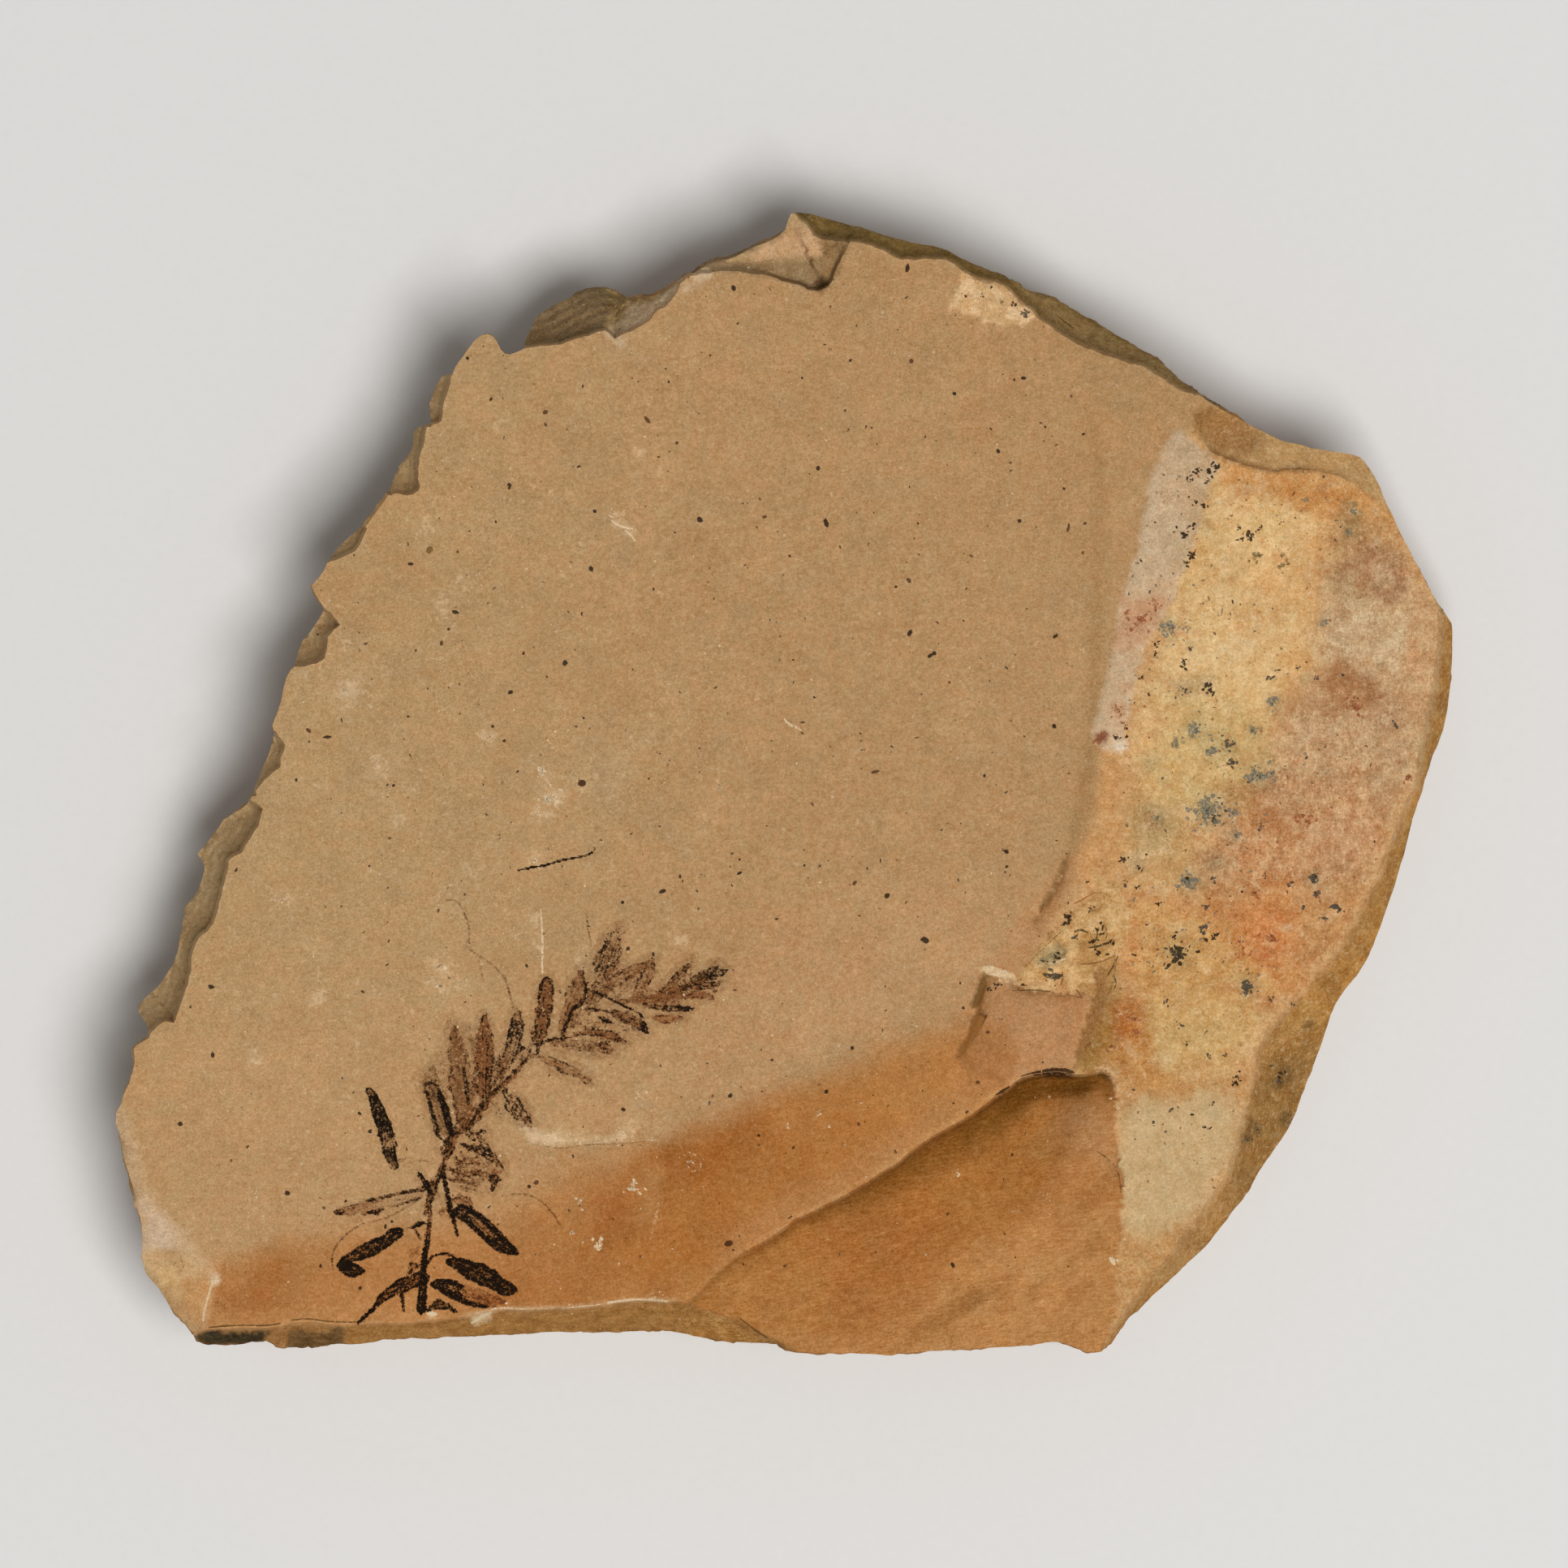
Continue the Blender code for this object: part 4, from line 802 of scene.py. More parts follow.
    # broken layers: ledges on the left and top, the faces on the right and below
    ledge = ease(s["left"] / 0.5)
    laid = terraces(z + 0.25 * noise(points, 6, 18), 1.15, 2.6) - z
    z += ledge * (0.75 * laid + 0.22 * fractal(points, 2.6, 3, 19))
    steep = np.maximum(ease(s["top"] / 0.6), ease(s["foot"] / 0.5))
    laid = terraces(z + 0.3 * noise(points, 7, 21), 0.9, 2.2) - z
    z += steep * (0.6 * laid + 0.25 * fractal(points, 2.4, 3, 22))
    broken = ease(s["ridge"] / 1.2)
    facets = np.abs(noise(points, 6.5, 23)) + 0.5 * np.abs(noise(points, 3.1, 24))
    laid = terraces(z + 0.4 * noise(points, 8, 25), 1.7, 1.9) - z
    z += broken * (0.5 * laid - 0.9 * facets + 0.22 * fractal(points, 1.8, 2, 26))
    worn = np.maximum(ease(s["corner"] / 1.2), ease(s["bevel"] / 0.8))
    z += worn * (0.28 * noise(points, 4.5, 27) + 0.16 * fractal(points, 1.6, 3, 28))
    s["ledge"], s["steep"], s["broken"], s["worn"] = ledge, steep, broken, worn
    s["inside_scar"] = inside_scar
    s["z"] = np.maximum(z, LOWEST_RIM)
    return s


# ---------------------------------------------------------------- meshing
def hexagonal(low, high, step, seed):
    """Points in a triangular pattern, each moved a little from its place."""
    rows = np.arange(low[1], high[1], step * math.sqrt(3) / 2)
    cols = np.arange(low[0], high[0], step)
    x = cols[None, :] + np.where(np.arange(len(rows)) % 2, step / 2, 0)[:, None]
    y = np.repeat(rows[:, None], len(cols), 1)
    made = np.stack([x.ravel(), y.ravel()], 1)
    return made + (np.random.default_rng(seed).random(made.shape) - 0.5) * step * 0.42


def offset(line, gap, away):
    """The line moved gap mm sideways, to the side where away says True."""
    tangent = np.gradient(line, axis=0)
    tangent /= np.maximum(np.hypot(*tangent.T), 1e-9)[:, None]
    normal = np.stack([-tangent[:, 1], tangent[:, 0]], 1)
    side_one = away(line + normal * gap)
    return line + normal * gap * np.where(side_one, 1, -1)[:, None]


def clear_of(points, taken, gap):
    """The points that are at least gap mm from every point already taken."""
    tree = KDTree(len(taken))
    for k, (x, y) in enumerate(taken):
        tree.insert((x, y, 0), k)
    tree.balance()
    return points[[tree.find((x, y, 0))[2] > gap for x, y in points]]


def field(rim, lines, zones):
    """Plan points and triangles filling the rim, with edges along the lines.
    zones: spacing in mm and, for plan points, whether they want that spacing."""
    points = [rim]
    edges = [(k, (k + 1) % len(rim)) for k in range(len(rim))]
    closed = np.concatenate([rim, rim[:1]])
    count = len(rim)
    for line in lines:
        fits = inside(line, rim) & (quick_nearest(line, closed)[0] > 0.22)
        if count:
            fits &= np.isin(np.arange(len(line)), keep_clear(line, np.concatenate(points), 0.16))
        index = np.cumsum(fits) - 1 + count
        edges += [(int(index[k - 1]), int(index[k])) for k in range(1, len(line))
                  if fits[k] and fits[k - 1]]
        points.append(line[fits])
        count += int(fits.sum())
    for n, (step, wanted) in enumerate(zones):
        grid = hexagonal(rim.min(0), rim.max(0), step, 900 + n)
        grid = grid[inside(grid, rim)]
        grid = grid[wanted(grid)]
        grid = clear_of(grid, np.concatenate(points), 0.62 * step)
        points.append(grid)
    plan = np.concatenate(points)
    made = delaunay_2d_cdt([Vector(p) for p in plan.tolist()], edges, [], 0, 1e-6, True)
    out = np.array([tuple(v) for v in made[0]], float)
    faces = np.array([f for f in made[2] if len(f) == 3])
    middles = out[faces].mean(1)
    faces = faces[inside(middles, rim)]
    came_from = np.full(len(plan), -1)
    for k, sources in enumerate(made[3]):
        for source in sources:
            came_from[source] = k
    return out, faces, came_from


def keep_clear(line, taken, gap):
    """Indices of the line's points at least gap mm from the points taken."""
    tree = KDTree(len(taken))
    for k, (x, y) in enumerate(taken):
        tree.insert((x, y, 0), k)
    tree.balance()
    return [k for k, (x, y) in enumerate(line) if tree.find((x, y, 0))[2] > gap]


def beside(line, around):
    polygon = np.concatenate([line, around])
    return lambda p: inside(p, polygon)


def close_to(points, lines, gap):
    """True where a point is within gap mm of any of the lines."""
    result = np.zeros(len(points), bool)
    for line in lines:
        todo = ~result & ((points > line.min(0) - gap) & (points < line.max(0) + gap)).all(1)
        if todo.any():
            result[todo] = quick_nearest(points[todo], line)[0] < gap
    return result


COARSEN = 1.0
EDGES = [LEFT_EDGE, TOP_EDGE, FOOT_EDGE, SCAR, SCAR_SIDE, BEVEL_EDGE, RIDGE] + [
    line for line, *_ in FINE_STEPS]
CLOSED_RIM = np.concatenate([RIM, RIM[:1]])
ROUGH_GROUND = [CRUST, CRUMBLE, TOP_CREAM, MID_CREAM]


def want_finest(p):
    fine = close_to(p, EDGES + [CLOSED_RIM], 1.3)
    for polygon in (CRUMBLE, TOP_CREAM, MID_CREAM):
        fine |= within(p, polygon, 0.6) > 0
    outside = np.zeros(len(p), bool)
    for line, around in ((LEFT_EDGE, LEFT_EDGE_AROUND), (TOP_EDGE, TOP_EDGE_AROUND),
                         (FOOT_EDGE, FOOT_EDGE_AROUND)):
        outside |= inside(p, np.concatenate([line, around]))
    return fine | outside


def want_fine(p):
    return (inside(p, np.concatenate([TURN, TURN_AROUND]))
            | inside(p, np.concatenate([SCAR, SCAR_SIDE, SCAR_AROUND]))
            | close_to(p, EDGES + [CLOSED_RIM, CORNER, TURN], 2.6)
            | inside(p, np.concatenate([CORNER, CORNER_AROUND])))


def build_slab():
    """Plan, height and triangles of the whole closed stone, and what lies where."""
    scar_around = np.concatenate([SCAR_SIDE, SCAR_AROUND])
    lines = [
        LEFT_EDGE, offset(LEFT_EDGE, 0.42, beside(LEFT_EDGE, LEFT_EDGE_AROUND)),
        TOP_EDGE, offset(TOP_EDGE, 0.42, beside(TOP_EDGE, TOP_EDGE_AROUND)),
        FOOT_EDGE, offset(FOOT_EDGE, 0.42, beside(FOOT_EDGE, FOOT_EDGE_AROUND)),
        SCAR, offset(SCAR, 0.45, beside(SCAR, scar_around)),
        SCAR_SIDE, BEVEL_EDGE, RIDGE,
    ] + [line for line, *_ in FINE_STEPS]
    zones = [(0.40 * COARSEN, want_finest), (0.60 * COARSEN, want_fine),
             (0.88 * COARSEN, lambda p: np.ones(len(p), bool))]
    plan, faces, came_from = field(RIM, lines, zones)
    found = survey(plan)
    top = found["z"]
    loop = came_from[:len(RIM)]
    ring = plan[loop]
    turn, base, facing = side_frame(ring)
    start = len(plan)
    parts = [np.column_stack([plan, top])]
    triangles = [faces]
    kind = [np.zeros(len(plan), int)]
    around = [np.zeros(len(plan))]
    levels = 27
    above = loop
    n = len(loop)
    rim_z = top[loop]
    circle = np.stack([np.cos(turn * 2 * math.pi), np.sin(turn * 2 * math.pi)], 1) * 86
    for level in range(1, levels + 1):
        share = level / levels
        at, z = side(ring, rim_z, turn, base, facing, np.full(n, share))
        spot = np.column_stack([circle, z])
        hide = ease((rim_z - z) / 1.0) * (1 - 0.6 * share**6)
        layer = z + 0.5 * noise(spot * [1, 1, 0.3], 14, 40)
        bed = np.floor(layer / 1.05)
        stack = np.column_stack([circle, bed * 9.0])
        out = 0.42 * noise(stack, 8, 41) + 0.35 * fractal(spot, 3.4, 3, 42)
        out += 0.16 * fractal(spot * [1, 1, 2.2], 1.3, 2, 43)
        out += 0.5 * np.abs(noise(spot, 7.5, 44))
        out -= 0.25
        at = at + facing * (out * hide)[:, None]
        parts.append(np.column_stack([at, z]))
        kind.append(np.ones(n, int))
        around.append(turn)
        below = start + np.arange(n)
        start += n
        nxt = np.roll(np.arange(n), -1)
        triangles.append(np.column_stack([above, above[nxt], below[nxt]]))
        triangles.append(np.column_stack([above, below[nxt], below]))
        above = below
    # the broken lower arris, and the underside
    foot_z = z
    arris = at + facing * 1.5
    for t in (0.35, 0.7):
        spot = np.column_stack([circle, np.full(n, -3.0 * t)])
        mid = at + (arris - at) * t + facing * (0.18 * fractal(spot, 1.6, 2, 45))[:, None]
        z = foot_z * (1 - t) ** 1.25 + 0.12 * fractal(spot, 2.2, 2, 46) * (1 - t)
        parts.append(np.column_stack([mid, np.maximum(z, 0.05)]))
        kind.append(np.ones(n, int))
        around.append(turn)
        below = start + np.arange(n)
        start += n
        triangles.append(np.column_stack([above, above[nxt], below[nxt]]))
        triangles.append(np.column_stack([above, below[nxt], below]))
        above = below
    scars = []
    for scar, _ in UNDER_SCARS:
        closed = rough(np.concatenate([scar, scar[:1]]), 0.5, 47, 3.0, step=1.0 * COARSEN)
        scars += [closed, offset(closed, 0.6, lambda p, c=closed: inside(p, c))]
    low_plan, low_faces, low_from = field(
        arris, scars, [(1.9 * COARSEN, lambda p: np.ones(len(p), bool))])
    low_z = 0.0
    for (scar, depth), closed in zip(UNDER_SCARS, scars[::2]):
        d = np.where(inside(low_plan, closed), quick_nearest(low_plan, closed)[0], 0.0)
        low_z = np.maximum(low_z, depth * ease(d / 0.6) * (0.75 + 0.25 * ease(d / 12)
                                                           + 0.2 * noise(low_plan, 7, 48)))
    worn = np.clip(0.30 * fractal(low_plan, 8, 4, 49) - 0.02, 0, None)
    edge_gap = quick_nearest(low_plan, np.concatenate([arris, arris[:1]]))[0]
    low_z = low_z + worn + 0.35 * np.clip(1 - edge_gap / 2.5, 0, 1) * np.clip(
        noise(low_plan, 4, 50), 0, 1)
    parts.append(np.column_stack([low_plan, low_z]))
    kind.append(np.full(len(low_plan), 2))
    around.append(np.zeros(len(low_plan)))
    triangles.append(low_faces[:, ::-1] + start)
    inner = low_from[:n] + start
    triangles.append(np.column_stack([above, above[nxt], inner[nxt]]))
    triangles.append(np.column_stack([above, inner[nxt], inner]))
    return (np.concatenate(parts), np.concatenate(triangles), np.concatenate(kind),
            np.concatenate(around), found, loop)


# ---------------------------------------------------------------- colours
def rgb(r, g, b):
    """A colour written as 0-255 display values, as linear light."""
    v = np.array([r, g, b], float) / 255
    return np.where(v <= 0.04045, v / 12.92, ((v + 0.055) / 1.055) ** 2.4)


class Paint:
    """Two colours for each point, between which the stone is mottled, how crisp
    the mottling is, and how coarse the surface."""

    def __init__(self, points, colour, other):
        self.points = points
        self.a = np.tile(rgb(*colour), (len(points), 1))
        self.b = np.tile(rgb(*other), (len(points), 1))
        self.crisp = np.full(len(points), 0.12)
        self.grit = np.full(len(points), 0.30)
        self.fleck = np.zeros(len(points))
        self.chalk = np.zeros(len(points))
        self.hatch = np.full(len(points), 0.30)

    def lay(self, mask, colour, other=None, crisp=None, grit=None):
        """Lay two colours over what is there, as far as mask says."""
        other = other or tuple(0.94 * c for c in colour)
        m = np.clip(mask, 0, 1)[:, None]
        self.a = self.a * (1 - m) + rgb(*colour) * m
        self.b = self.b * (1 - m) + rgb(*other) * m
        m = m[:, 0]
        if crisp is not None:
            self.crisp = self.crisp * (1 - m) + crisp * m
        if grit is not None:
            self.grit = self.grit * (1 - m) + grit * m

    def shade(self, mask, r, g=None, b=None):
        """Multiply both colours by a factor for each channel, as far as mask says."""
        factor = np.array([r, g or r, b or r])
        m = np.clip(mask, 0, 1)[:, None]
        self.a = self.a * (1 - m + m * factor)
        self.b = self.b * (1 - m + m * factor)

    def area(self, pixels, soft, ragged=0.0, size=3.0, seed=0):
        return within(self.points, mm(pixels), soft, ragged, size, seed)

    def spot(self, px, py, radius, soft=0.5, seed=0):
        """1 inside a round spot given in pixels, its border uneven."""
        c = mm([(px, py)])[0]
        d = np.hypot(*(self.points - c).T) / (radius * PX)
        near = d < 2.2
        d[near] += 0.28 * fractal(self.points[near], max(radius * PX * 0.8, 0.8), 2, seed)
        return ease((1 + soft / 2 - d) / soft)


def paint_top(s, points):
    """Colours of the upper surface, broken faces seen from above included."""
    p = Paint(points, (185, 146, 102), (175, 136, 92))
    px, py = s["px"], s["py"]
    # the bedding plane: greyer and paler to the left, warmer to the lower right
    left = ease((980 - px) / 700)
    p.lay(0.8 * left, (186, 152, 108), (177, 143, 99))
    low = ease((py - 1080) / 260) * ease((900 - px) / 250)
    p.lay(0.8 * low, (189, 149, 104), (181, 141, 96))
    far = ease((px - 1000) / 300) * ease((760 - py) / 400)
    p.lay(0.5 * far, (185, 142, 95), (175, 133, 87))
    # pale clouds in the left half
    cloud = ease((fractal(points, 9, 3, 101) - 0.15) / 0.5)
    cloud *= p.area([(500, 560), (820, 540), (900, 760), (860, 1040), (620, 1260),
                     (340, 1180), (360, 860)], 14)
    p.lay(0.6 * cloud, (190, 158, 116), (180, 145, 101))
    # chalky silt: some over all the bedding plane, more in its left half
    p.chalk += 0.13 + 0.13 * ease((1000 - px) / 500) * ease((fractal(points, 7, 3, 103) + 0.2) / 0.6)
    p.chalk += 0.10 * cloud
    warm = ease((fractal(points, 12, 3, 102) - 0.25) / 0.5)
    p.lay(0.35 * warm, (182, 136, 90), (172, 126, 80))
    p.lay(0.50 * p.area([(800, 1350), (830, 1280), (880, 1220), (970, 1140), (1080, 1110),
                         (1220, 1100), (1230, 1170), (1120, 1240), (1000, 1300), (870, 1360)],
                        6, 1.6, 5, 14), (194, 150, 105), (186, 142, 97))
    # painted shade along the crease where the bedding plane turns down
    crease = np.exp(-((points[:, 0] - np.interp(-points[:, 1], *CREASE)) / 0.9) ** 2)
    crease *= ease((points[:, 1] + 12) / 3) * ease((49 - points[:, 1]) / 5)
    p.lay(0.55 * crease, (163, 124, 79), (156, 117, 72))

    # smudges of pale silt on the left half
    for k, (sx, sy, r) in enumerate(SMUDGES):
        spot_ = p.spot(sx, sy, 1.15 * r, 1.3, 400 + k)
        p.lay(0.14 * spot_, (212, 182, 142), (200, 168, 126))
        p.chalk = np.maximum(p.chalk, 0.62 * spot_)

    # orange band along the bottom: it starts at BAND_TOP, sharply or by degrees
    level = np.interp(points[:, 0], *BAND_TOP)
    past_top = level - points[:, 1] + 1.1 * fractal(points, 6, 4, 110) + 0.5
    width = np.interp(px, [200, 400, 620, 780, 850, 980, 1100, 1230],
                      [3.0, 5.0, 9.0, 3.8, 4.8, 6.0, 6.0, 5.0])
    band = ease(past_top / width) * (1 - ease((px - 1205 - 0.5 * (py - 1250)) / 60))
    deep = np.exp(-((past_top - np.interp(px, [380, 520], [7.0, 4.0])) / 5.5) ** 2)
    stops = [190, 560, 800, 1200]
    shade_a = [(187, 131, 78), (183, 127, 74), (175, 113, 55), (186, 128, 70)]
    linear = np.stack([np.interp(px, stops, [rgb(*c)[k] for c in shade_a]) for k in range(3)], 1)
    share = (0.92 * band)[:, None]
    p.a = p.a * (1 - share) + linear * share
    p.b = p.b * (1 - share) + linear * [0.90, 0.86, 0.82] * share
    p.crisp = p.crisp * (1 - 0.9 * band) + 0.18 * band
    p.chalk *= 1 - 0.55 * band
    stain = band * deep * np.interp(px, [240, 270, 360, 420, 700, 800, 850, 900, 980, 1060],
                                    [0.1, 0.46, 0.42, 0.1, 0.15, 0.6, 0.85, 0.80, 0.3, 0.1])
    p.lay(0.9 * stain * (0.85 + 0.5 * fractal(points, 4, 3, 111)), (148, 84, 28), (142, 78, 26))
    blotch = ease((fractal(points, 7, 4, 112) - 0.05) / 0.6)
    p.lay(0.35 * band * blotch, (160, 98, 44), (152, 92, 40))
    pale = ease((fractal(points, 8, 4, 113) - 0.15) / 0.6)
    p.lay(0.26 * band * pale, (190, 138, 84), (180, 128, 76))
    p.lay(0.30 * band * p.area([(880, 1420), (1040, 1376), (1120, 1380), (1060, 1440), (960, 1500),
                                (880, 1560), (840, 1560), (850, 1480)], 3.0, 1.4, 4.0, 185),
          (164, 102, 44), (154, 92, 36))
    p.lay(0.14 * band * p.area([(700, 1500), (800, 1470), (860, 1470), (850, 1560), (780, 1590),
                                (640, 1596), (640, 1540)], 4.0, 1.6, 4.0, 186),
          (166, 106, 50), (156, 96, 42))
    # ground between the twig and the lip: less stained
    p.lay(0.40 * p.area([(570, 1420), (640, 1408), (740, 1410), (790, 1412), (770, 1450),
                         (700, 1500), (620, 1510), (560, 1480)], 7, 1.6, 5, 12),
          (190, 142, 94), (182, 134, 86))
    p.lay(0.5 * p.area([(736, 1480), (776, 1476), (782, 1520), (742, 1538)], 3.4, 1.2, 2.0, 7),
          (158, 96, 46), (150, 88, 40))
    p.lay(0.45 * p.area([(790, 1440), (812, 1436), (812, 1490), (796, 1520), (786, 1500)],
                        2.2, 0.8, 2.0, 8), (192, 144, 92), (184, 136, 84))
    rim_light = ease((py - 1608) / 14) * ease((850 - px) / 60)
    p.lay(0.55 * rim_light, (190, 136, 84), (182, 126, 74))
    # lighter, pinker strip just above the scar
    strip = np.exp(-((s["scar_gap"] - 1.6) / 1.9) ** 2) * (s["scar"] <= 0) * ease((1240 - px) / 60)
    strip *= ease((px - 860) / 50)
    p.lay(0.6 * strip, (182, 130, 82), (174, 122, 74))
    # pale band along the shallow lip that crosses the bedding plane
    p.lay(0.60 * p.area([(648, 1392), (689, 1392), (734, 1398), (770, 1399), (806, 1402),
                         (762, 1407), (720, 1411), (677, 1413), (649, 1409)],
                        0.8, 0.5, 1.2, 13), (206, 174, 132), (196, 162, 118))
    lip_pale_band = p.area([(642, 1390), (654, 1387), (668, 1393), (684, 1401), (700, 1409),
                       (678, 1412), (656, 1408)], 0.7, 0.5, 1.0, 172)
    p.lay(0.60 * lip_pale_band, (218, 188, 148), (204, 172, 130))
    p.chalk = np.maximum(p.chalk, 0.7 * lip_pale_band)
    p.chalk = np.maximum(p.chalk, 0.45 * p.area([(648, 1396), (700, 1402), (770, 1396), (808, 1340),
                                                 (816, 1350), (790, 1396), (770, 1410),
                                                 (690, 1416), (652, 1412)], 1.0, 0.5, 1.6, 176))
    p.lay(0.65 * p.area([(744, 1404), (756, 1396), (770, 1390), (780, 1376), (788, 1376),
                         (782, 1392), (774, 1404), (758, 1409)], 0.6, 0.4, 1.0, 173),
          (214, 182, 140), (200, 166, 122))
    p.lay(0.35 * p.area([(760, 1380), (790, 1340), (806, 1340), (790, 1366), (776, 1384)],
                        1.6, 0.6, 1.4, 174), (204, 172, 130), (194, 160, 118))
    p.lay(0.4 * p.area([(758, 1403), (766, 1388), (785, 1375), (790, 1379), (772, 1396)],
                       0.7, 0.3, 1.0, 15), (196, 160, 116), (186, 150, 106))

    # pinkish roll towards the crumbled rind
    p.lay(0.75 * p.area([(1322, 1040), (1300, 1070), (1262, 1120), (1236, 1165),
                         (1205, 1195), (1186, 1250), (1206, 1262), (1232, 1232),
                         (1250, 1200), (1290, 1148), (1330, 1100), (1352, 1060)],
                        1.6, 0.5, 2.0, 16), (190, 144, 98), (178, 128, 82), 0.3, 0.45)

    # the weathered face
    w = s["weathered"] * ease(s["turn"] / 1.5)
    p.lay(w, (206, 162, 110), (190, 142, 92), 0.60, 0.70)
    p.fleck = w * ease((s["turn"] - 1) / 4)
    p.chalk *= 1 - w
    soft = lambda pixels, seed, blur=4.5, edge=2.0, size=4.5: p.area(pixels, blur, edge, size, seed)
    p.lay(0.8 * p.area([(1372, 905), (1398, 925), (1410, 1000), (1400, 1090), (1372, 1110),
                        (1340, 1090), (1330, 1060), (1352, 990), (1358, 930)],
                       1.6, 0.8, 3.0, 17), (204, 156, 102), (188, 136, 82), 0.5, 0.6)
    # painted shade along the lower end of the crease
    p.lay(0.45 * p.area([(1340, 915), (1352, 920), (1350, 990), (1338, 1040), (1320, 1062),
                         (1314, 1052), (1330, 990)], 0.9, 0.4, 2.0, 18),
          (164, 126, 82), (156, 116, 72))
    # yellow ground, from the crust across
    yellow = soft([(1480, 560), (1560, 575), (1612, 606), (1640, 660), (1632, 740),
                   (1616, 820), (1570, 890), (1545, 950), (1490, 1000), (1430, 1040),
                   (1396, 1000), (1392, 905), (1404, 830), (1430, 770), (1456, 690),
                   (1476, 610)], 19)
    p.lay(0.95 * yellow, (220, 182, 126), (204, 158, 100), 0.62, 0.6)
    p.lay(0.60 * soft([(1470, 720), (1560, 700), (1600, 760), (1590, 850), (1500, 900),
                       (1440, 860), (1440, 780)], 20), (224, 192, 140), (210, 172, 116))
    p.lay(0.65 * soft([(1530, 610), (1600, 620), (1630, 680), (1600, 730), (1530, 720),
                       (1500, 660)], 21), (226, 190, 136), (214, 174, 116))
    p.lay(0.65 * soft([(1502, 566), (1580, 572), (1668, 588), (1716, 640), (1700, 666),
                       (1620, 624), (1540, 596), (1500, 584)], 23, 2.4, 1.6, 3.0),
          (208, 154, 92), (192, 134, 74), 0.6)
    p.lay(0.45 * soft([(1590, 640), (1640, 660), (1640, 780), (1616, 860), (1590, 830),
                       (1600, 740)], 22, 3.6, 1.8, 3.0), (208, 156, 98), (194, 138, 82), 0.6)
    p.lay(0.40 * soft([(1540, 700), (1580, 690), (1600, 740), (1560, 790), (1530, 770)], 120,
                      3.6, 1.8, 3.0), (212, 156, 96), (200, 142, 84))
    # greyed orange ground to its right
    p.lay(0.75 * soft([(1640, 610), (1700, 640), (1740, 700), (1700, 730), (1650, 720),
                       (1632, 670)], 121, 3.6, 1.8, 3.0), (192, 148, 98), (170, 124, 78), 0.8)
    p.lay(0.60 * soft([(1676, 664), (1716, 678), (1724, 716), (1700, 734), (1672, 716)], 25,
                      3.0, 1.6, 2.6), (164, 124, 84), (152, 112, 74), 0.7)
    mauve = soft([(1640, 700), (1730, 690), (1776, 760), (1770, 860), (1744, 960),
                  (1690, 1000), (1610, 990), (1566, 960), (1580, 890), (1620, 830),
                  (1630, 760)], 24)
    p.lay(0.92 * mauve, (206, 174, 132), (186, 148, 108), 0.85, 0.9)
    p.lay(0.55 * soft([(1630, 700), (1700, 700), (1716, 740), (1660, 752), (1630, 740)], 122,
                      3.0, 1.6, 2.6), (170, 132, 88), (158, 118, 76), 0.7)
    p.lay(0.50 * soft([(1640, 750), (1730, 750), (1750, 820), (1690, 826), (1640, 800)], 123,
                      3.4, 1.8, 3.0), (208, 182, 144), (192, 162, 122), 0.8)
    p.lay(0.45 * soft([(1730, 700), (1772, 760), (1770, 850), (1744, 900), (1728, 840),
                       (1736, 760)], 124, 3.0, 1.4, 3.0), (208, 160, 112), (196, 146, 98), 0.6)
    blob = np.hypot((px - 1664) / 1.15, py - 853)
    blob_mask = ease((52 - blob - 12 * fractal(points, 3, 3, 26)) / 30)
    ring = 0.5 + 0.5 * np.sin(blob / 4.4)
    p.lay(0.86 * blob_mask, (162, 112, 70), (150, 100, 60), 0.7, 0.6)
    p.lay(0.18 * blob_mask * ring, (194, 148, 106), (184, 136, 94))
    p.lay(0.40 * ease((100 - blob) / 40) * (1 - blob_mask) * ease((py - 830) / 40),
          (192, 146, 104), (178, 128, 86), 0.8)
    red = soft([(1500, 960), (1580, 960), (1640, 985), (1710, 990), (1700, 1060),
                (1670, 1120), (1580, 1120), (1500, 1100), (1470, 1060), (1480, 1000)], 27, 5.0)
    p.lay(0.80 * red, (202, 152, 106), (182, 124, 80), 0.9, 0.85)
    p.lay(0.55 * soft([(1526, 970), (1580, 970), (1600, 1010), (1560, 1030), (1520, 1010)], 125,
                      3.2, 1.8, 3.0), (178, 118, 72), (166, 104, 60), 0.7)
    p.lay(0.45 * soft([(1600, 1020), (1680, 1000), (1690, 1050), (1640, 1090), (1600, 1070)],
                      126, 3.6, 1.8, 3.0), (204, 162, 122), (190, 144, 104), 0.9)
    orange = soft([(1390, 1120), (1480, 1095), (1600, 1100), (1680, 1100), (1670, 1160),
                   (1600, 1230), (1500, 1240), (1400, 1250), (1362, 1200)], 28, 5.0)
    p.lay(0.88 * orange, (202, 144, 88), (184, 120, 66), 0.75, 0.7)
    p.lay(0.50 * soft([(1520, 1126), (1580, 1110), (1600, 1150), (1570, 1184), (1530, 1170)],
                      127, 3.0, 2.0, 2.6), (188, 112, 62), (180, 102, 54), 0.8)
    p.lay(0.55 * soft([(1612, 1096), (1680, 1076), (1690, 1130), (1640, 1190), (1600, 1180)],
                      187, 3.0, 1.8, 2.6), (194, 150, 100), (176, 130, 84), 0.8)
    p.lay(0.50 * soft([(1400, 1120), (1500, 1110), (1530, 1150), (1470, 1200), (1400, 1190)],
                      29, 4.0), (206, 158, 102), (192, 138, 82))
    p.lay(0.75 * soft([(1380, 990), (1440, 1000), (1490, 1040), (1470, 1100), (1400, 1100)],
                      30, 4.5), (206, 166, 110), (192, 146, 90), 0.6)
